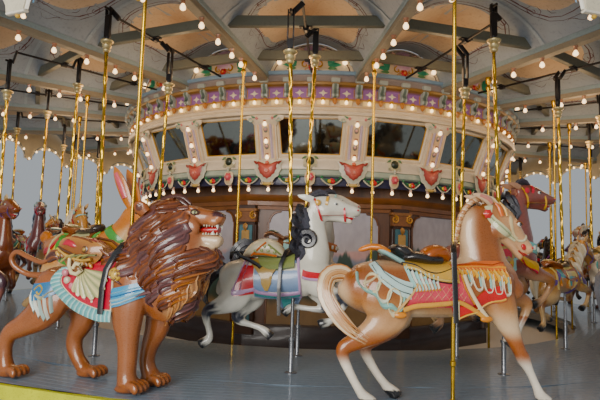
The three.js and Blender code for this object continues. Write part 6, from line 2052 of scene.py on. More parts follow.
TAN_LEAF = (0.26, 0.1, 0.034)
lion_dress = []
for side in (1, -1):
    lion_dress += [hanging_cloth(side, 1.0, 0.01, (0.74, 0.66, 0.48)),
                   hanging_cloth(side, 0.95, 0.017, LION_RED), fringe(side), fan(side),
                   cantle_side(side)]
    rosette_at = (0.036, 0.909)
    lion_dress += [disc(side, *rosette_at, 0.236, [(0.055, -0.02), (0.058, 0.0), (0.05, 0.01),
                                                   (0.04, 0.004), (0.034, 0.014), (0.012, 0.02)],
                        16, (0.62, 0.42, 0.11)),
                   *[disc(side, rosette_at[0] + 0.03 * math.cos(t),
                          rosette_at[1] + 0.03 * math.sin(t), 0.244,
                          [(0.012, 0.0), (0.01, 0.01), (0.003, 0.014)], 6, (0.34, 0.2, 0.05))
                     for t in np.linspace(0, 5.24, 6)]]
    blue = np.array([(0.03, 0.738), (0.12, 0.757), (0.22, 0.785), (0.327, 0.822)])
    lion_dress += [lion_cord(side, blue, 0.09, SKY_BAND, 0.022, 14, 5, 0.3),
                   lion_cord(side, blue + [0, 0.026], 0.016, (0.34, 0.6, 0.7), 0.032, 12, 3),
                   lion_cord(side, blue + [0, 0.004], 0.018, (0.05, 0.16, 0.36), 0.032, 12, 3),
                   lion_cord(side, blue + [0, -0.02], 0.02, (0.46, 0.7, 0.74), 0.034, 12, 3),
                   lion_cord(side, blue + [0, -0.042], 0.014, (0.7, 0.76, 0.7), 0.032, 12, 3)]
    lion_dress += [lion_cord(side, [(-0.775, 0.735), (-0.7, 0.745), (-0.62, 0.76), (-0.54, 0.785)], 0.085,
                             (0.05, 0.17, 0.34), 0.02, 12, 5, 0.4),
                   lion_cord(side, [(-0.74, 0.755), (-0.7, 0.785), (-0.655, 0.76), (-0.68, 0.725),
                                    (-0.71, 0.735)], 0.016, YELLOW, 0.032, 16, 3),
                   lion_cord(side, [(-0.72, 0.715), (-0.66, 0.705), (-0.6, 0.735), (-0.55, 0.755)], 0.016,
                             (0.68, 0.6, 0.36), 0.032, 12, 3)]
    for k, (root, middle, tip) in enumerate([((-0.79, 0.725), (-0.785, 0.69), (-0.755, 0.665)),
                                             ((-0.77, 0.71), (-0.755, 0.67), (-0.72, 0.64)),
                                             ((-0.735, 0.705), (-0.71, 0.66), (-0.675, 0.62)),
                                             ((-0.69, 0.705), (-0.665, 0.65), (-0.64, 0.605)),
                                             ((-0.645, 0.715), (-0.625, 0.66), (-0.61, 0.605)),
                                             ((-0.6, 0.735), (-0.58, 0.69), (-0.575, 0.63))]):
        lion_dress.append(lion_cord(side, [root, middle, tip], 0.03,
                                    ((0.74, 0.75, 0.66), (0.44, 0.58, 0.54))[k % 2], 0.018, 8, 3, 0.9))
    for k, (x, z) in enumerate([(-0.455, 0.905), (-0.43, 0.845), (-0.375, 0.8), (-0.31, 0.76),
                                (-0.235, 0.715), (-0.16, 0.69), (-0.01, 0.7),
                                (-0.01, 0.8)]):
        lion_dress.append(disc(side, x, z, 0.232, [(0.032, -0.02), (0.03, 0.0), (0.014, 0.008),
                                                   (0.003, 0.01)], 7,
                               ((0.66, 0.24, 0.28), (0.66, 0.58, 0.42))[k % 2]))
cantle = [limb([(-0.18, 1.03, 0.04, 0.13), (-0.31, 1.1, 0.06, 0.145), (-0.43, 1.145, 0.048, 0.145),
                (-0.53, 1.15, 0.038, 0.12),
                (-0.6, 1.12, 0.032, 0.09), (-0.61, 1.06, 0.03, 0.06)], 14, 4, paint=TAN_LEAF),
          limb([(-0.32, 1.15, 0.018, 0.11), (-0.42, 1.178, 0.018, 0.11), (-0.52, 1.172, 0.016, 0.08)], 10,
               4, paint=LION_RED),
          *[tube([(-0.6, s * 0.1, 1.1), (-0.56, s * 0.135, 1.175), (-0.44, s * 0.15, 1.2),
                  (-0.3, s * 0.155, 1.175), (-0.18, s * 0.15, 1.1),
                  (-0.1, s * 0.14, 1.05)], 0.013, 6, paint=(0.17, 0.06, 0.024)) for s in (-1, 1)],
          *[tube([(-0.52 + 0.07 * k, s * 0.205, 0.99 + 0.012 * k),
                  (-0.46 + 0.07 * k, s * 0.212, 1.035 + 0.006 * k),
                  (-0.38 + 0.07 * k, s * 0.212, 1.055)], (0.012, 0.009), 6,
                 paint=((0.5, 0.4, 0.14), (0.2, 0.22, 0.1))[k % 2])
            for s in (-1, 1) for k in range(4)],
          limb([(-0.3, 1.03, 0.02, 0.1), (-0.18, 1.035, 0.045, 0.13), (-0.08, 1.07, 0.05, 0.11),
                (-0.03, 1.13, 0.04, 0.06)], 12, 4,
               paint=(0.16, 0.06, 0.025))]
lion_face = [
    limb([(0.615, 1.284, 0.008, 0.056), (0.69, 1.283, 0.024, 0.055), (0.76, 1.284, 0.032, 0.048),
          (0.812, 1.286, 0.026, 0.034)], 12,
         paint=(0.4, 0.022, 0.025)),
    limb([(0.66, 1.256, 0.012, 0.036), (0.74, 1.268, 0.014, 0.034), (0.8, 1.276, 0.008, 0.022)], 10,
         paint=(0.62, 0.11, 0.1))]
for side in (-1, 1):
    for k in range(6):
        x, aside = 0.7 + 0.022 * k, side * (0.052 - 0.0035 * k)
        size = 0.85 + 0.3 * (k % 2)
        lion_face += [
            limb([(x, 1.246, 0.01, 0.009, aside), (x + 0.002, 1.246 + 0.018 * size, 0.002, 0.002,
                                                   aside * 0.97)], 6, 3,
                 paint=(0.66, 0.61, 0.46)),
            limb([(x + 0.006, 1.324, 0.01, 0.009, aside),
                  (x + 0.004, 1.324 - 0.018 * size, 0.002, 0.002, aside * 0.97)], 6, 3,
                 paint=(0.66, 0.61, 0.46))]
    lion_face += [
        limb([(0.812, 1.322, 0.013, 0.011, side * 0.038), (0.816, 1.306, 0.009, 0.008, side * 0.038),
              (0.818, 1.288, 0.002, 0.002, side * 0.037)], 8,
             paint=WHITE),
        limb([(0.776, 1.246, 0.012, 0.01, side * 0.04), (0.779, 1.262, 0.008, 0.007, side * 0.04),
              (0.781, 1.278, 0.002, 0.002, side * 0.039)], 8,
             paint=WHITE),
        muscle((0.632, side * 0.083, 1.418), (0.026, 0.012, 0.017), -10, 12, paint=(0.5, 0.5, 0.26)),
        muscle((0.64, side * 0.091, 1.418), (0.01, 0.007, 0.012), -10, 10, paint=BLACK),
        tube([(0.6, side * 0.088, 1.41), (0.615, side * 0.095, 1.436), (0.645, side * 0.092, 1.44),
              (0.672, side * 0.078, 1.418)],
             0.0075, 6, paint=(0.05, 0.015, 0.012)),
        tube([(0.605, side * 0.09, 1.408), (0.635, side * 0.093, 1.399),
              (0.668, side * 0.078, 1.408)], 0.006, 6,
             paint=(0.05, 0.015, 0.012)),
        muscle((0.842, side * 0.022, 1.402), (0.014, 0.012, 0.01), 0, 10, paint=(0.012, 0.006, 0.007)),
        limb([(0.225, 1.4, 0.05, 0.03, side * 0.13), (0.185, 1.445, 0.058, 0.026, side * 0.155),
              (0.16, 1.475, 0.04, 0.016, side * 0.168), (0.15, 1.49, 0.012, 0.008, side * 0.172)], 14,
             paint=(0.26, 0.08, 0.024)),
        limb([(0.215, 1.42, 0.028, 0.018, side * 0.148), (0.185, 1.447, 0.034, 0.014, side * 0.172),
              (0.168, 1.47, 0.016, 0.01, side * 0.18)], 10, paint=(0.1, 0.03, 0.016))]
# Pale tan locks low on the chest, painted with a highlight on their ridges and shade in their grooves.
chest_hair = [clump(side, (1.0 - 0.07 * k, 0.9 - 0.07 * k, 0.82 - 0.07 * k, 0.72 - 0.06 * k),
                    (168 - 9 * k, 163 - 9 * k, 166 - 11 * k, 158 - 12 * k),
                    0.1, 0.046, ((0.5, 0.27, 0.12), (0.22, 0.085, 0.035))) for side in (-1, 1)
              for k in range(4)]
tail_tuft = strand([(-0.76, -0.1, 1.0), (-0.7, -0.1, 1.035), (-0.645, -0.1, 1.03),
                    (-0.62, -0.11, 0.99)], 0.026, 4, 0.025, 0.01, 6, 12,
                   seed=41, paints=DARK_LOCKS)
lion_belt = tube([(0.0, -0.03, 1.185), (0.012, -0.12, 1.16), (0.0, -0.2, 1.08), (-0.03, -0.262, 0.95),
                  (-0.048, -0.274, 0.8),
                  (-0.056, -0.27, 0.6)], (0.005, 0.025), 8, (1, 0, 0.001), paint=BLACK)
discard(wood)
lion = joined([beast, *mane_locks, *chest_hair, *crown_of_hair, *lion_dress, *cantle, *lion_face,
               tail_tuft, lion_belt])
LION_YAW = math.radians(4.5)                 # it stands turned, its rear a little inwards
x, y, z = lion.points.T
lion = lion._replace(points=np.stack([x * math.cos(LION_YAW) + y * math.sin(LION_YAW) + LION_AHEAD,
                                      y * math.cos(LION_YAW) - x * math.sin(LION_YAW),
                                      np.maximum(z, 0.001)], -1))
piece("lion_figure", placed(lion, OUTER_ROW, SWEEPS[LION_BAY]), "turntable", [GLOSS],
      ["lion"], sharp=60)
piece("lion_pole", placed(moved(spun(PALOMINO_POLE, 14), (LION_AHEAD, 0, 0)), OUTER_ROW,
                          SWEEPS[LION_BAY]), "turntable", [BRASS])

# Jumpers: smaller horses with gathered legs, of the same carved and glossed wood, each held by a
# twisted brass pole that hangs on its crank by an iron fork and runs down as a steel rod.
COAT, HAIR, HOOVES, CLOTH, BORDER, SEAT, LEATHER, JEWEL, EYE, PUPIL, MOUTH, POINTS = range(12)
JUMPER_LIFT, LEAN_HEIGHT = 0.10607, 3.2885
JUMPER_BARREL = limb([(-0.7, 0.93, 0.05, 0.05), (-0.66, 0.925, 0.13, 0.12), (-0.54, 0.955, 0.195, 0.175),
                      (-0.38, 0.975, 0.2, 0.195), (-0.15, 0.985, 0.19, 0.19), (0.05, 1.0, 0.195, 0.19),
                      (0.2, 1.02, 0.195, 0.175), (0.3, 1.01, 0.16, 0.14), (0.37, 1.0, 0.09, 0.09)], 18)
JUMPER_LEGS = [
    leg_line((-0.09, -0.11), [(-0.5, 0.95, 0.17, 0.1), (-0.52, 0.82, 0.15, 0.09),
        (-0.64, 0.74, 0.09, 0.065), (-0.76, 0.7, 0.055, 0.048), (-0.785, 0.64, 0.044, 0.04),
        (-0.765, 0.55, 0.032, 0.032), (-0.745, 0.47, 0.032, 0.034), (-0.76, 0.425, 0.042, 0.042),
        (-0.8, 0.4, 0.046, 0.046), (-0.84, 0.375, 0.05, 0.05)]),
    leg_line((0.09, 0.11), [(-0.42, 0.93, 0.16, 0.1), (-0.38, 0.8, 0.13, 0.085), (-0.45, 0.7, 0.08, 0.06),
        (-0.535, 0.62, 0.058, 0.048), (-0.5, 0.565, 0.042, 0.038), (-0.4, 0.535, 0.031, 0.031),
        (-0.31, 0.505, 0.032, 0.033), (-0.265, 0.48, 0.04, 0.04), (-0.225, 0.445, 0.046, 0.046),
        (-0.195, 0.415, 0.05, 0.05)]),
    leg_line((-0.08, -0.1), [(0.2, 1.0, 0.14, 0.09), (0.28, 0.9, 0.1, 0.07), (0.4, 0.85, 0.065, 0.05),
        (0.5, 0.81, 0.052, 0.046), (0.505, 0.745, 0.038, 0.036), (0.445, 0.665, 0.03, 0.03),
        (0.39, 0.61, 0.03, 0.032), (0.345, 0.585, 0.041, 0.041), (0.3, 0.575, 0.046, 0.046),
        (0.27, 0.56, 0.05, 0.05)]),
    leg_line((0.08, 0.1), [(0.18, 0.98, 0.13, 0.09), (0.24, 0.85, 0.09, 0.065), (0.31, 0.77, 0.06, 0.048),
        (0.35, 0.705, 0.05, 0.044), (0.3, 0.68, 0.036, 0.034), (0.17, 0.69, 0.029, 0.029),
        (0.06, 0.705, 0.03, 0.032), (0.0, 0.7, 0.04, 0.04), (-0.05, 0.665, 0.045, 0.045),
        (-0.08, 0.635, 0.05, 0.05)])]
RAISED = dict(neck=[(0.16, 1.04, 0.18, 0.15), (0.215, 1.18, 0.165, 0.125), (0.215, 1.32, 0.145, 0.1),
                    (0.21, 1.45, 0.13, 0.085), (0.2, 1.56, 0.115, 0.08), (0.22, 1.63, 0.095, 0.075)],
              poll=(0.22, 1.655), nod=-2, ears=(-0.15, 0.035))
BOWED = dict(neck=[(0.18, 1.04, 0.18, 0.15), (0.28, 1.18, 0.165, 0.12), (0.315, 1.31, 0.135, 0.095),
                   (0.335, 1.42, 0.12, 0.082), (0.38, 1.5, 0.1, 0.075)], poll=(0.4, 1.515), nod=-48,
             ears=(0.0, 0.13))
LEVEL = dict(neck=[(0.18, 1.03, 0.18, 0.15), (0.3, 1.15, 0.16, 0.12), (0.39, 1.27, 0.13, 0.095),
                   (0.45, 1.37, 0.115, 0.082),
                   (0.5, 1.43, 0.095, 0.075)], poll=(0.51, 1.455), nod=-27, ears=(0.02, 0.13))


def nodded(form, poll, nod):
    """A form drawn with the poll at the origin and the face along x, set on its neck and nodded."""
    c, s = math.cos(math.radians(nod)), math.sin(math.radians(nod))
    x, y, z = form.points.T
    return form._replace(points=np.stack([poll[0] + x * c - z * s, y, poll[1] + x * s + z * c], -1))


def hoop(x, z, high, wide, lean, thick, zone, sides=3, steps=12):
    """A strap round the head: a flat band on an oval about (x, z), leaning by a slope."""
    turn = circle(steps)[:, None]
    across = circle(sides)[None] + math.pi / 4
    grow = 1 + 0.007 * np.cos(across) / wide
    rise = high * np.sin(turn) * grow
    points = np.stack([x + lean * rise + thick * np.sin(across), wide * np.cos(turn) * grow, z + rise], -1)
    return surface(points, around=True, along=True, paint=(zone, 0, 0))


HEAD_WOOD = [limb([(-0.03, 0.0, 0.092, 0.072), (0.08, 0.012, 0.108, 0.082), (0.2, 0.008, 0.098, 0.078),
                   (0.31, -0.012, 0.07, 0.06),
                   (0.395, -0.026, 0.054, 0.05), (0.45, -0.036, 0.034, 0.036)], 14, 4),
             limb([(0.06, -0.05, 0.075, 0.062), (0.17, -0.082, 0.05, 0.052), (0.27, -0.103, 0.032, 0.038),
                   (0.345, -0.122, 0.028, 0.032),
                   (0.375, -0.128, 0.016, 0.02)], 12, 4),
             muscle((0.1, -0.05, -0.02), (0.085, 0.045, 0.075)),
             muscle((0.1, 0.05, -0.02), (0.085, 0.045, 0.075)),
             muscle((0.405, -0.034, -0.018), (0.036, 0.02, 0.028)),
             muscle((0.405, 0.034, -0.018), (0.036, 0.02, 0.028))]
HEAD_TRIM = [limb([(0.24, -0.07, 0.022, 0.032), (0.32, -0.086, 0.026, 0.03), (0.38, -0.094, 0.014, 0.02)],
                  8, 3, paint=(MOUTH, 0, 0)),
             limb([(0.345, -0.08, 0.006, 0.026), (0.4, -0.084, 0.008, 0.022)], 6, 3, paint=(EYE, 0, 0)),
             hoop(0.3, -0.045, 0.088, 0.068, -0.1, 0.012, LEATHER),
             hoop(0.05, -0.02, 0.118, 0.096, -0.35, 0.012, LEATHER),
             hoop(0.13, 0.045, 0.07, 0.086, 0.15, 0.016, JEWEL)]
for side in (-1, 1):
    HEAD_TRIM += [
        muscle((0.215, side * 0.072, 0.036), (0.022, 0.012, 0.017), 0, 6, (EYE, 0, 0)),
        muscle((0.22, side * 0.08, 0.036), (0.012, 0.008, 0.012), 0, 6, (PUPIL, 0, 0)),
        muscle((0.425, side * 0.05, -0.016), (0.012, 0.007, 0.009), 0, 6, (MOUTH, 0, 0)),
        tube([(0.06, side * 0.088, -0.08), (0.18, side * 0.084, -0.072), (0.29, side * 0.068, -0.066)],
             (0.004, 0.011), 4, (0, 1, 0.001), paint=(LEATHER, 0, 0))]
    stud = spun([(0.006, -0.008), (0.026, -0.004), (0.03, 0.004), (0.012, 0.012)], 8, (JEWEL, 0, 0))
    x, y, z = stud.points.T
    HEAD_TRIM.append(stud._replace(points=np.stack([x + 0.045, side * (z + 0.098), y + 0.045], -1)))


def horse_wood(stance, legs, barrel):
    """All that is carved in one: barrel, shoulders, rump, legs, neck and head."""
    return [barrel, limb(stance["neck"], 16, 4), *[limb(leg, 12, 4) for leg in legs],
            *[nodded(form, stance["poll"], stance["nod"]) for form in HEAD_WOOD]]


def coat_zones(form, legs, belly):
    """Marks the coat, paler to the belly, the dark points about each leg's middle joint and the
    hooves at the legs' ends."""
    x, y, z = form.points.T
    zones = np.stack([np.full(len(x), COAT, float), ramp(belly + 0.16 - z, 0, 0.16), np.zeros(len(x))], -1)
    for leg in legs:
        joint, end = leg[3], leg[-1]
        near = np.hypot(x - joint[0], z - joint[1]) < 0.075
        zones[near & (np.sign(y) == np.sign(joint[4])), 0] = POINTS
        hoof = np.hypot(x - end[0], z - end[1]) < 0.072
        zones[hoof & (np.abs(y - end[4]) < 0.07), 0] = HOOVES
    return form._replace(paint=zones)


def hair(stance, length=0.2, curly=False, seed=7):
    """The mane: two layers of locks that part at the crest and fall down both sides of the neck."""
    rng = np.random.default_rng(seed)
    neck = spline(stance["neck"], 6)[1:]
    way = np.gradient(neck[:, :2], axis=0)
    way /= np.linalg.norm(way, axis=1)[:, None]
    made = []
    for k, ((x, z, high, wide), (dx, dz)) in enumerate(zip(neck, way)):
        crest = np.array([x - dz * high * 0.96, z + dx * high * 0.96])
        for side in (-1, 1):
            fall = length * (0.75 + 0.5 * rng.random())
            back = 0.25 * rng.random() - 0.05
            path = [(crest[0], side * 0.004, crest[1] + 0.012),
                    (crest[0] - 0.02, side * wide * 0.75, crest[1] - 0.02),
                    (crest[0] - back * fall + 0.04, side * (wide * 1.05 + 0.008), crest[1] - fall * 0.55),
                    (crest[0] - back * fall * 1.5, side * (wide * 1.08 + 0.012), crest[1] - fall)]
            if curly:
                path.append((crest[0] - back * fall + 0.05, side * (wide * 1.1 + 0.02),
                             crest[1] - fall * 0.92))
            made.append(strand(path, 0.04, 2, 0.03, 0.016, 4, 7, seed=seed + 3 * k + side,
                               paints=((HAIR, 0, 0), (HAIR, 1, 0)), flat=0.55))
    poll, nod = stance["poll"], stance["nod"]
    made.append(nodded(strand([(-0.02, 0, 0.1), (0.06, -0.01, 0.135), (0.15, -0.02, 0.115)], 0.026, 2,
                              0.02, 0.01, 4, 5, seed=seed + 1,
                              paints=((HAIR, 0, 0), (HAIR, 1, 0))), poll, nod))
    return made


def ears(stance):
    """Two carved ears, pricked or laid back."""
    tip = stance["ears"]
    return [nodded(limb([(0.0, 0.075, 0.03, 0.018, side * 0.05),
                         (tip[0] * 0.5, 0.075 + tip[1] * 0.6, 0.03, 0.016, side * 0.062),
                         (tip[0], 0.075 + tip[1], 0.006, 0.004, side * 0.066)], 6, 3,
                        paint=(COAT, 0.6, 0)), stance["poll"], stance["nod"])
            for side in (-1, 1)]


def brush(path, count=3, radius=0.042, seed=9):
    """The tail: locks side by side."""
    return strand(path, radius, count, 0.045, 0.014, 5, 9, seed=seed,
                  paints=((HAIR, 0, 0), (HAIR, 1, 0)), flat=0.8)


BACK_AXIS = ((-0.8, 0.97), (0.5, 0.97))


def harness(wood, axis, shift=0.0, seat_top=1.185):
    """Cloth with its border, seat, pommel, scrolled cantle, girth, breast band and rump band, laid
    on a barrel whose pole stands at a shift along its axis."""
    def at(x):
        return np.asarray(x, float) - axis[0][0] + shift

    def cloth(side, x0, x1, low, lift, zone):
        share, down = np.meshgrid(np.linspace(0, 1, 7), np.linspace(0, 1, 4), indexing="ij")
        bow = low * (0.86 + 0.14 * np.sin(share * math.pi))
        return fitted(wood, axis, at(x0 + (x1 - x0) * share), side * (8 + (bow - 8) * down), lift,
                      paint=(zone, 0, 0))

    def band(knots, side, width, lift, zone, steps=6):
        return strap(wood, axis, [(at(x), side * turn_round) for x, turn_round in knots], width, steps,
                     lift, paint=(zone, 0, 0), columns=3)

    made = []
    for side in (-1, 1):
        made += [cloth(side, -0.42, 0.12, 118, 0.01, BORDER), cloth(side, -0.385, 0.085, 106, 0.018, CLOTH),
                 cloth(side, -0.3, 0.03, 66, 0.026, SEAT), cloth(side, -0.2, -0.05, 88, 0.03, JEWEL),
                 band([(-0.02, 60), (-0.02, 120), (-0.02, 172)], side, 0.045, 0.026, LEATHER),
                 band([(0.08, 70), (0.2, 88), (0.31, 100)], side, 0.055, 0.018, LEATHER),
                 band([(0.1, 84), (0.2, 102), (0.29, 112)], side, 0.018, 0.026, JEWEL, 6),
                 band([(-0.4, 60), (-0.52, 84), (-0.62, 92)], side, 0.045, 0.016, LEATHER),
                 band([(-0.44, 30), (-0.5, 62), (-0.5, 100)], side, 0.03, 0.018, JEWEL, 6)]
    z = seat_top
    made += [limb([(-0.25, z, 0.03, 0.1), (-0.16, z, 0.045, 0.135), (-0.04, z + 0.005, 0.045, 0.12),
                   (0.02, z + 0.045, 0.05, 0.08),
                   (0.05, z + 0.075, 0.02, 0.03)], 8, 2, paint=(SEAT, 1, 0)),
             limb([(-0.24, z - 0.02, 0.035, 0.135), (-0.33, z + 0.03, 0.032, 0.15),
                   (-0.41, z + 0.055, 0.028, 0.11),
                   (-0.47, z + 0.035, 0.028, 0.06), (-0.49, z, 0.016, 0.025)], 8, 2, paint=(SEAT, 0, 0)),
             limb([(-0.32, z + 0.065, 0.01, 0.1), (-0.4, z + 0.088, 0.01, 0.075),
                   (-0.45, z + 0.075, 0.006, 0.035)], 6, 2,
                  paint=(JEWEL, 0, 0))]
    return made


def zone_colours(form, palette):
    """Paints a form marked by zones: each zone of the palette is one colour or two, and the mark's
    second number says how far towards the second."""
    table = np.array([entry if np.ndim(entry) == 2 else (entry, entry) for entry in palette], float)
    zone, share = form.paint[:, 0].astype(int), form.paint[:, 1:2]
    return form._replace(paint=table[zone, 0] * (1 - share) + table[zone, 1] * share)


def horse_figure(stance, legs, barrel, axis, tail, grain, keep, seed, shift=0.0, seat_top=1.185,
                 curly=False, dress=harness):
    """A whole figure in zones, ready to be painted."""
    body_wood = coat_zones(carved(horse_wood(stance, legs, barrel), grain, 3, keep), legs, axis[0][1] - 0.2)
    base = fresh_object("wood", body_wood)
    parts = [body_wood, *dress(base, axis, shift, seat_top), *hair(stance, curly=curly, seed=seed),
             *ears(stance),
             *[nodded(form, stance["poll"], stance["nod"]) for form in HEAD_TRIM], tail]
    discard(base)
    return joined(parts)


PADDING, OLIVE, FLAME, LILAC_LINE, LEAF_GOLD, SKY_PANEL, SEA, NECKLET, PEARL = range(12, 21)
SHOW_TONES = [(0.62, 0.55, 0.38), (0.22, 0.26, 0.09), (0.6, 0.16, 0.04), (0.5, 0.32, 0.5),
              (0.42, 0.27, 0.08), (0.24, 0.33, 0.5), (0.06, 0.28, 0.28), (0.2, 0.5, 0.46),
              (0.74, 0.72, 0.6)]


def show_dress(wood, axis, shift, seat_top):
    """The white horse's own dress: a padded saddle between carved scrolls, a lobed gilt leaf over a
    blue cloth, a flap behind it, lilac lines, a breast band, a hanging belt and a large curl at the
    neck. It is called as harness is, and its pole stands where the axis says."""
    def cover(side, upper, lower, lift, zone, rows=8, columns=6):
        top, bottom = spline(upper, rows)[:, None], spline(lower, rows)[:, None]
        knots = seen(axis, top + (bottom - top) * np.linspace(0, 1, columns)[None, :, None], side,
                     0.195, 0.2)
        return fitted(wood, axis, knots[..., 0], knots[..., 1], lift, paint=(zone, 0, 0))

    def line(side, places, width, zone, lift, steps=9):
        return strap(wood, axis, seen(axis, places, side, 0.195, 0.2), width, steps, lift,
                     paint=(zone, 0, 0), columns=3)

    made = [limb([(-0.44, 1.2, 0.02, 0.09), (-0.38, 1.235, 0.06, 0.125), (-0.28, 1.27, 0.09, 0.14),
                  (-0.17, 1.265, 0.085, 0.14),
                  (-0.08, 1.215, 0.05, 0.12), (-0.03, 1.185, 0.02, 0.09)], 14, 3, paint=(PADDING, 0, 0)),
            limb([(-0.12, seat_top, 0.03, 0.11), (-0.03, seat_top + 0.01, 0.04, 0.11),
                  (0.04, seat_top + 0.06, 0.045, 0.07),
                  (0.07, seat_top + 0.09, 0.02, 0.03)], 8, 2, paint=(SEAT, 1, 0))]
    for side in (-1, 1):
        out = -side
        made += [cover(side, [(-0.32, 1.08), (-0.1, 1.08), (0.1, 1.1)],
                       [(-0.32, 0.85), (-0.1, 0.805), (0.1, 0.82)], 0.01, SKY_PANEL),
                 cover(side, [(-0.42, 1.13), (-0.33, 1.13)], [(-0.51, 0.89), (-0.33, 0.895)], 0.012,
                       LEATHER),
                 cover(side, [(-0.34, 1.13), (-0.2, 1.14), (-0.07, 1.13)],
                       [(-0.31, 1.04), (-0.21, 0.925), (-0.12, 1.04)], 0.024, LEAF_GOLD),
                 cover(side, [(-0.3, 1.16), (-0.18, 1.16), (0.05, 1.16)],
                       [(-0.27, 1.1), (-0.16, 1.08), (0.05, 1.09)], 0.032, OLIVE),
                 line(side, [(-0.42, 1.13), (-0.465, 1.01), (-0.525, 0.885)], 0.02, LILAC_LINE, 0.02),
                 line(side, [(-0.38, 1.13), (-0.415, 1.02), (-0.45, 0.915)], 0.01, LILAC_LINE, 0.018, 7),
                 line(side, [(-0.53, 0.878), (-0.43, 0.878), (-0.32, 0.89)], 0.02, LILAC_LINE, 0.02, 7),
                 line(side, [(-0.32, 0.868), (-0.1, 0.825), (0.1, 0.84)], 0.022, LILAC_LINE, 0.02, 12),
                 line(side, [(-0.32, 0.842), (-0.1, 0.797), (0.1, 0.812)], 0.024, SEA, 0.018, 12),
                 line(side, [(0.08, 1.13), (0.095, 1.0), (0.1, 0.82)], 0.024, LILAC_LINE, 0.02, 8),
                 line(side, [(0.12, 1.03), (0.2, 1.015), (0.32, 1.005)], 0.045, LEATHER, 0.014, 7),
                 line(side, [(0.12, 1.0), (0.2, 0.985), (0.32, 0.975)], 0.014, LILAC_LINE, 0.02, 7),
                 tube([(-0.55, out * 0.12, 1.17), (-0.545, out * 0.13, 1.225), (-0.49, out * 0.13, 1.235),
                       (-0.46, out * 0.135, 1.195),
                       (-0.38, out * 0.155, 1.165), (-0.29, out * 0.175, 1.115),
                       (-0.26, out * 0.185, 1.09)], 0.018, 6, paint=(PUPIL, 0, 0)),
                 tube([(-0.36, out * 0.118, 1.2), (-0.29, out * 0.142, 1.265),
                       (-0.22, out * 0.128, 1.325)], 0.009, 5, paint=(FLAME, 0, 0)),
                 tube([(-0.35, out * 0.12, 1.215), (-0.24, out * 0.146, 1.215),
                       (-0.12, out * 0.132, 1.195)], 0.009, 5, paint=(FLAME, 0, 0)),
                 tube([(-0.2, out * 0.14, 1.305), (-0.13, out * 0.14, 1.25),
                       (-0.08, out * 0.125, 1.205)], 0.009, 5, paint=(OLIVE, 0, 0)),
                 tube([(0.01, out * 0.05, 1.275), (-0.03, out * 0.13, 1.245), (-0.075, out * 0.215, 1.12),
                       (-0.088, out * 0.225, 0.9),
                       (-0.09, out * 0.222, 0.66)], (0.005, 0.02), 6, (1, 0, 0.001), paint=(PUPIL, 0, 0))]
        made += [muscle((x, out * 0.137, z), (0.016, 0.01, 0.016), 0, 6, (OLIVE, 0, 0))
                 for x, z in ((-0.32, 1.245), (-0.26, 1.25), (-0.2, 1.245), (-0.23, 1.285),
                              (-0.17, 1.275), (-0.14, 1.23))]
        turn = np.linspace(0, 2.6 * math.pi, 20)
        curl_out = 0.082 * (1 - 0.095 * turn)
        made.append(tube(np.stack([0.165 + curl_out * np.cos(2.2 - turn), np.full(20, out * 0.108),
                                   1.345 + curl_out * np.sin(2.2 - turn)], -1),
                         0.036 * (1 - 0.07 * turn), 6, (0, 1, 0.001), paint=(HAIR, 0.1, 0)))
    return made


def necklet(stance, wide=0.135):
    """A jewelled band about the foot of the neck, with pearls all along it."""
    x, z = stance["neck"][1][0] - 0.005, stance["neck"][1][1] - 0.035
    turn = circle(16)
    line = np.stack([x + (wide + 0.058) * np.cos(turn), (wide + 0.014) * np.sin(turn),
                     z - 0.05 * np.cos(turn)], -1)
    made = [tube(np.vstack([line, line[:2]]), (0.014, 0.055), 6, (0, 0, 1), paint=(NECKLET, 0, 0))]
    for a, b, c in line:
        made.append(muscle((a + 0.012 * (a - x) / (wide + 0.055), b * 1.07, c), (0.02, 0.014, 0.028), 0,
                           6, (PEARL, 0, 0)))
    return made


JUMPER_TAIL = brush([(-0.62, 0, 1.06), (-0.72, -0.01, 1.08), (-0.82, -0.03, 0.98), (-0.83, -0.05, 0.84),
                     (-0.76, -0.06, 0.7)])
STANCES = (RAISED, BOWED, LEVEL)
JUMPING = [horse_figure(stance, JUMPER_LEGS, JUMPER_BARREL, BACK_AXIS, JUMPER_TAIL, 0.017, 0.095,
                        50 + k, curly=k == 1)
           for k, stance in enumerate(STANCES)]

COATS = [  # coat with its paler belly, then mane and tail, then the legs' points
    (((0.66, 0.63, 0.53), (0.72, 0.7, 0.62)), ((0.016, 0.016, 0.022), (0.05, 0.05, 0.065)),
     (0.035, 0.038, 0.055)),
    (((0.02, 0.016, 0.016), (0.045, 0.032, 0.028)), ((0.01, 0.009, 0.01), (0.035, 0.028, 0.026)),
     (0.02, 0.016, 0.016)),
    (((0.2, 0.055, 0.018), (0.36, 0.13, 0.05)), ((0.42, 0.26, 0.11), (0.58, 0.42, 0.22)),
     (0.12, 0.035, 0.014)),
    (((0.095, 0.033, 0.016), (0.2, 0.08, 0.032)), ((0.012, 0.01, 0.011), (0.04, 0.03, 0.028)),
     (0.03, 0.015, 0.01)),
    (((0.46, 0.29, 0.12), (0.6, 0.44, 0.24)), ((0.016, 0.013, 0.012), (0.06, 0.04, 0.025)),
     (0.05, 0.03, 0.02)),
    (((0.33, 0.32, 0.3), (0.55, 0.53, 0.48)), ((0.1, 0.1, 0.11), (0.26, 0.26, 0.27)), (0.1, 0.1, 0.11)),
    (((0.5, 0.25, 0.08), (0.68, 0.46, 0.24)), ((0.66, 0.54, 0.36), (0.74, 0.66, 0.52)), (0.3, 0.13, 0.05)),
    (((0.13, 0.045, 0.045), (0.24, 0.1, 0.08)), ((0.022, 0.035, 0.075), (0.05, 0.08, 0.13)),
     (0.05, 0.02, 0.03))]
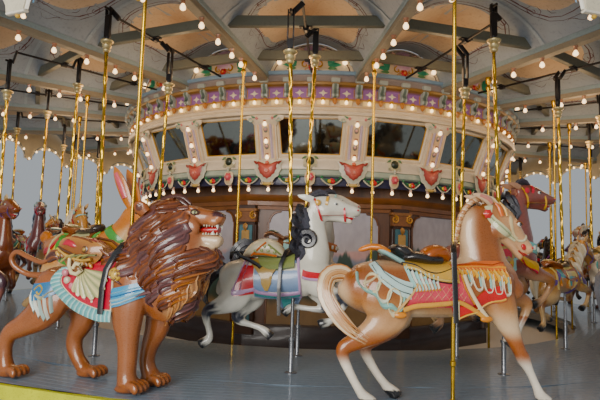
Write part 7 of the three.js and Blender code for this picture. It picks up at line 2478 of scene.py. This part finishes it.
TRAPPINGS = [  # cloth, border, seat with its leather, straps, jewels
    ((0.07, 0.15, 0.36), (0.4, 0.3, 0.52), ((0.42, 0.3, 0.12), (0.02, 0.015, 0.015)), (0.55, 0.05, 0.06),
     (0.6, 0.34, 0.08)),
    ((0.5, 0.04, 0.05), (0.6, 0.38, 0.1), ((0.28, 0.09, 0.03), (0.03, 0.02, 0.015)), (0.05, 0.28, 0.26),
     (0.62, 0.58, 0.3)),
    ((0.04, 0.26, 0.12), (0.58, 0.36, 0.1), ((0.2, 0.07, 0.03), (0.1, 0.03, 0.02)), (0.6, 0.18, 0.03),
     (0.66, 0.62, 0.4)),
    ((0.3, 0.07, 0.28), (0.3, 0.52, 0.5), ((0.4, 0.28, 0.1), (0.02, 0.016, 0.02)), (0.62, 0.36, 0.07),
     (0.55, 0.06, 0.08)),
    ((0.1, 0.36, 0.38), (0.64, 0.24, 0.05), ((0.3, 0.1, 0.04), (0.016, 0.014, 0.014)), (0.16, 0.1, 0.34),
     (0.64, 0.52, 0.22)),
    ((0.6, 0.2, 0.03), (0.06, 0.16, 0.34), ((0.16, 0.06, 0.03), (0.05, 0.02, 0.015)), (0.48, 0.04, 0.07),
     (0.34, 0.56, 0.52))]


def palette(coat, trapping):
    """The twelve zones' colours from a coat and a set of trappings."""
    body_tones, hair_tones, point = COATS[coat]
    cloth, border, seat, straps, jewel = TRAPPINGS[trapping]
    return [body_tones, hair_tones, (0.012, 0.012, 0.014), cloth, border, seat, straps, jewel,
            (0.72, 0.7, 0.62),
            (0.008, 0.008, 0.01), (0.48, 0.03, 0.04), point]


ROD_RADIUS, ROD_FOOT, CRANK_LEVEL = 0.0165, 0.16, CRANK_HEIGHT - TOP
PIN_HALF, SLOT_SHORT, SLOT_LONG = 0.0212, 0.0439, 0.2561     # the slot is long where the pin hangs low


def jumper_pole(side, high):
    """The steel rod stands upright below; above it the twisted brass pole leans to its crank pin,
    ends in a double bell and is held by an iron fork whose two cheeks pass the crank."""
    lift, aside = high * JUMPER_LIFT, side * JUMPER_LIFT
    fork_low = LEAN_HEIGHT + lift - (0 if high > 0 else SLOT_SHORT)
    slot = CRANK_LEVEL + lift - PIN_HALF - (SLOT_SHORT if high > 0 else SLOT_LONG) - 0.0004
    fork_top, joint = CRANK_LEVEL + lift + PIN_HALF, 0.93 + lift
    rod = spun([(ROD_RADIUS, ROD_FOOT + lift), (ROD_RADIUS, joint)], 8, finish=2)
    rows, turn = np.linspace(0, 1, 38)[:, None], circle(6)[None]
    height = joint - 0.1 + (fork_low - 0.13 - joint + 0.1) * rows
    swell = 0.0195 * (1 + 0.16 * np.cos(2 * turn - 2 * math.pi * height / 0.26))
    lean_at = aside * height / LEAN_HEIGHT
    brass = surface(np.stack([lean_at + swell * np.cos(turn), swell * np.sin(turn), height + 0 * turn],
                             -1), around=True, ends=True,
                    finish=1)
    bell = spun([(0.022, -0.15), (0.034, -0.145), (0.044, -0.125), (0.036, -0.108), (0.05, -0.095),
                 (0.054, -0.072), (0.04, -0.058),
                 (0.06, -0.045), (0.072, -0.034), (0.072, -0.02), (0.045, -0.012), (0.024, -0.002)], 9,
                (0.62, 0.52, 0.3), 4)
    cheeks = [block((aside + s * 0.0347 - (0.0125 if s > 0 else 0),
                     aside + s * 0.0347 + (0.0125 if s < 0 else 0)), (-0.019, 0.019),
                    (slot - 0.004, fork_top), 0.003, IRON, 3) for s in (-1, 1)]
    yoke = block((aside - 0.034, aside + 0.034), (-0.019, 0.019), (fork_low, slot), 0.008, IRON, 3)
    neck = spun([(0.016, -0.035), (0.02, -0.03), (0.03, 0.004)], 10, IRON, 3)
    return joined([rod, brass, moved(bell, (aside * (1 - 0.1 / LEAN_HEIGHT), 0, fork_low - 0.012)),
                   *cheeks, yoke,
                   moved(neck, (aside, 0, fork_low))])


def hung(figure, side, high):
    """A figure lifted and leant with its pole."""
    lean = math.atan2(side * JUMPER_LIFT, LEAN_HEIGHT)
    x, y, z = figure.points.T
    z = z + high * JUMPER_LIFT
    points = np.stack([x * math.cos(lean) + z * math.sin(lean), y,
                       z * math.cos(lean) - x * math.sin(lean)], -1)
    return joined([figure._replace(points=points), jumper_pole(side, high)])


STEEL = finish("steel", (0.3, 0.31, 0.33), roughness=0.3, shade=0.3, specks=0.3, scale=7.0,
               bump=0.15, metallic=0.85)
BELL_METAL = finish("bell_metal", roughness=0.3, shade=0.25, specks=0.2, scale=8.0, bump=0.1, metallic=0.55)
JUMPER_FINISHES = [GLOSS, BRASS, STEEL, BLACK_IRON, BELL_METAL]
SIDES, HEIGHTS = (-1, -1, 1, 1), (-1, 1, 1, -1)
QUARTER_NAMES = [f"jumpers_{side}_{high}" for side, high in (("left", "low"), ("left", "high"),
                                                             ("right", "high"), ("right", "low"))]
INNER_SIZE, BACK_HEIGHT = 0.9, 0.95
RABBIT_NODE, RABBIT_BAY = "middle_jumper_18", 17
WHITE_HORSE = horse_figure(RAISED, JUMPER_LEGS, JUMPER_BARREL, BACK_AXIS, JUMPER_TAIL, 0.015, 0.16,
                           50, dress=show_dress)
NECKLET_HORSE = joined([JUMPING[0], *necklet(RAISED)])
BLACK_HAIR = ((0.012, 0.011, 0.014), (0.04, 0.038, 0.05))
WITH_NECKLET = {  # a place, then its zones' colours, its coat with its paler belly, and the band
    ("middle", 1): (palette(6, 3), ((0.22, 0.07, 0.055), (0.52, 0.31, 0.18)), (0.2, 0.5, 0.46)),
    ("inner", 0): (palette(0, 5), ((0.5, 0.46, 0.38), (0.62, 0.58, 0.48)), (0.6, 0.2, 0.06))}
choose = np.random.default_rng(5)
for row, radius in (("middle", MIDDLE_ROW), ("inner", INNER_ROW)):
    for bay in range(BAYS):
        quarter = (bay + (2 if row == "inner" else 0)) % 4
        coat, trapping = choose.integers(len(COATS)), choose.integers(len(TRAPPINGS))
        whole, tones = JUMPING[choose.integers(3)], palette(coat, trapping) + SHOW_TONES
        if (row, bay) == ("middle", 0):
            whole, tones = WHITE_HORSE, palette(0, 0) + SHOW_TONES
        if (row, bay) in WITH_NECKLET:
            zones, body_tones, band_tone = WITH_NECKLET[row, bay]
            whole, tones = NECKLET_HORSE, [body_tones, BLACK_HAIR, *zones[2:], *SHOW_TONES]
            tones[NECKLET] = band_tone
        figure = zone_colours(whole, tones)
        if row == "inner":
            x, y, z = figure.points.T
            figure = figure._replace(points=np.stack([x * INNER_SIZE, y * INNER_SIZE,
                                                      BACK_HEIGHT + (z - BACK_HEIGHT) * INNER_SIZE], -1))
        node = f"{row}_jumper_{bay + 1}"
        if node == RABBIT_NODE:
            continue
        piece(f"{node}_figure", placed(hung(figure, SIDES[quarter], HEIGHTS[quarter]), radius,
                                       MIDBAYS[bay]), QUARTER_NAMES[quarter],
              JUMPER_FINISHES, [node], sharp=50)

# Floor sockets: steel tubes with a collar on top, screwed to the boards, in which the rods slide.
socket_wall = [(0.0215, 0.001), (0.058, 0.001), (0.058, 0.007), (0.026, 0.012), (0.0225, 0.02),
               (0.0225, 0.295), (0.031, 0.3),
               (0.031, 0.33), (0.0185, 0.33), (0.0185, 0.001)]
turn = circle(12)[:, None]
wall = np.asarray(socket_wall)
socket_tube = surface(np.stack([wall[:, 0] * np.cos(turn), wall[:, 0] * np.sin(turn),
                                wall[:, 1] + 0 * turn], -1), around=True, along=True)
for row, radius in (("middle", MIDDLE_ROW), ("inner", INNER_ROW)):
    piece(f"{row}_floor_sockets", turned(moved(socket_tube, (0, 0, TOP)), MIDBAYS, radius), "turntable",
          [STEEL])

# Rabbit: the jumper behind the lion, orange brown with a cream belly, long upright ears lined in
# pink and a green collar, carved and hung like the horses.
RABBIT_BARREL = limb([(-0.74, 1.08, 0.05, 0.05), (-0.66, 1.03, 0.13, 0.11), (-0.52, 0.975, 0.2, 0.175),
                      (-0.36, 0.955, 0.215, 0.19),
                      (-0.14, 0.955, 0.19, 0.185), (0.06, 0.965, 0.19, 0.185), (0.2, 1.01, 0.2, 0.17),
                      (0.32, 1.1, 0.18, 0.14),
                      (0.4, 1.2, 0.155, 0.12), (0.45, 1.28, 0.14, 0.11)], 18)
RABBIT_LEGS = [leg_line((y, y * 1.3, y * 1.35), [
    (-0.42, 0.9, 0.19, 0.12), (-0.5, 0.76, 0.16, 0.1), (-0.63, 0.62, 0.09, 0.065),
    (-0.72, 0.53, 0.058, 0.05), (-0.78, 0.46, 0.048, 0.044), (-0.84, 0.42, 0.05, 0.048),
    (-0.89, 0.385, 0.042, 0.044)])
    for y in (-0.09, 0.09)]
RABBIT_LEGS += [leg_line((y, y * 1.3), [
    (0.28, 0.94, 0.12, 0.08), (0.42, 0.85, 0.075, 0.055), (0.55, 0.79, 0.052, 0.046),
    (0.64, 0.73, 0.044, 0.042), (0.7, 0.67, 0.046, 0.046), (0.735, 0.635, 0.036, 0.04)])
    for y in (-0.08, 0.08)]
rabbit_parts = [RABBIT_BARREL, *[limb(leg, 12, 4) for leg in RABBIT_LEGS],
                limb([(0.42, 1.27, 0.13, 0.11), (0.5, 1.32, 0.135, 0.115), (0.59, 1.3, 0.115, 0.1),
                      (0.67, 1.265, 0.085, 0.078),
                      (0.735, 1.245, 0.052, 0.055), (0.76, 1.24, 0.025, 0.03)], 16, 4),
                muscle((0.6, -0.06, 1.26), (0.075, 0.05, 0.065)),
                muscle((0.6, 0.06, 1.26), (0.075, 0.05, 0.065)),
                muscle((-0.76, 0, 1.12), (0.075, 0.065, 0.075))]
rabbit_ears, rabbit_trim = [], []
for side in (-1, 1):
    ear = [(0.47, 1.38, 0.035, 0.022, side * 0.045), (0.42, 1.5, 0.06, 0.024, side * 0.07),
           (0.36, 1.64, 0.066, 0.022, side * 0.085),
           (0.3, 1.76, 0.046, 0.016, side * 0.092), (0.265, 1.83, 0.008, 0.005, side * 0.094)]
    rabbit_ears += [limb(ear, 10, 4, paint=(COAT, 0, 0)),
                    limb([(x - 0.004, z, h * 0.62, w, a + side * 0.01) for x, z, h, w, a in ear[1:4]], 8,
                         4, paint=(MOUTH, 0, 0))]
    rabbit_trim += [muscle((0.575, side * 0.094, 1.345), (0.026, 0.012, 0.022), 0, 10, (PUPIL, 0, 0)),
                    muscle((0.742, side * 0.02, 1.262), (0.014, 0.014, 0.01), 0, 8, (MOUTH, 0, 0)),
                    tube([(0.69, side * 0.055, 1.23), (0.72, side * 0.12, 1.235),
                          (0.73, side * 0.17, 1.22)], 0.003, 4, paint=(EYE, 0, 0))]
rabbit_wood = coat_zones(carved(rabbit_parts, 0.016, 3, 0.16), [], 0.8)
x, y, z = rabbit_wood.points.T
pale = ramp(0.9 - z, 0, 0.14) + ramp(x, 0.3, 0.42) * ramp(1.22 - z, 0, 0.1)
rabbit_wood.paint[:, 1] = np.clip(pale, 0, 1)
base = fresh_object("wood", rabbit_wood)
RABBIT_NECK = ((0.16, 0.92), (0.5, 1.34))
rabbit_trim += harness(base, BACK_AXIS, seat_top=1.165)
rabbit_trim += [strap(base, RABBIT_NECK, [(0.24, s * 4), (0.25, s * 60), (0.25, s * 120),
                                          (0.24, s * 176)], 0.085, 14, 0.016, 0.4,
                      (CLOTH, 0, 0), girth=0.15) for s in (-1, 1)]
discard(base)
RABBIT_PALETTE = [((0.52, 0.17, 0.03), (0.66, 0.44, 0.22)), (0.5, 0.2, 0.05), (0.1, 0.05, 0.02),
                  (0.07, 0.27, 0.05), (0.62, 0.5, 0.12),
                  ((0.24, 0.08, 0.03), (0.03, 0.02, 0.016)), (0.45, 0.04, 0.05), (0.6, 0.56, 0.3),
                  (0.72, 0.7, 0.62),
                  (0.01, 0.01, 0.012), (0.62, 0.14, 0.16), (0.3, 0.1, 0.03)]
rabbit = zone_colours(joined([rabbit_wood, *rabbit_ears, *rabbit_trim]), RABBIT_PALETTE)
quarter = RABBIT_BAY % 4
piece("rabbit_figure", placed(hung(rabbit, SIDES[quarter], HEIGHTS[quarter]), MIDDLE_ROW,
                              MIDBAYS[RABBIT_BAY]), QUARTER_NAMES[quarter],
      JUMPER_FINISHES, [RABBIT_NODE], sharp=50)

# Standers: the rest of the outer ring, horses as tall as the palomino that stand on their hooves,
# each with a plain brass pole from the sweep above it to the boards.
STANDING_TAIL = brush([(-0.78, 0, 0.98), (-0.9, -0.01, 1.0), (-0.98, -0.04, 0.88), (-0.96, -0.06, 0.7),
                       (-0.9, -0.07, 0.5)], 4, 0.046)
STANDING = [dict(neck=[(0.2, 0.94, 0.2, 0.155), (0.27, 1.08, 0.19, 0.13), (0.28, 1.22, 0.165, 0.105),
                       (0.28, 1.34, 0.14, 0.09),
                       (0.33, 1.44, 0.11, 0.08)], poll=(0.35, 1.46), nod=-46, ears=(0.0, 0.13)),
            dict(neck=[(0.18, 0.94, 0.2, 0.155), (0.24, 1.08, 0.18, 0.13), (0.255, 1.22, 0.155, 0.105),
                       (0.26, 1.36, 0.13, 0.09),
                       (0.27, 1.46, 0.105, 0.08)], poll=(0.29, 1.49), nod=-16, ears=(-0.04, 0.11))]
STOOD = [horse_figure(stance, PALOMINO_LEGS, PALOMINO_BODY[0], BARREL, STANDING_TAIL, 0.019, 0.1,
                      80 + k, seat_top=1.1, curly=k == 1)
         for k, stance in enumerate(STANDING)]
STANDER_POLE = spun(PALOMINO_POLE, 10, finish=1)
for bay in range(BAYS):
    if bay in (HORSE_BAY, LION_BAY):
        continue
    coat, trapping = choose.integers(len(COATS)), choose.integers(len(TRAPPINGS))
    stander = joined([zone_colours(STOOD[choose.integers(2)], palette(coat, trapping)), STANDER_POLE])
    stander.points[:, 2] = np.maximum(stander.points[:, 2], 0.001)
    piece(f"stander_{bay + 1}", placed(stander, OUTER_ROW, SWEEPS[bay]), "turntable",
          [GLOSS, BRASS], sharp=50)
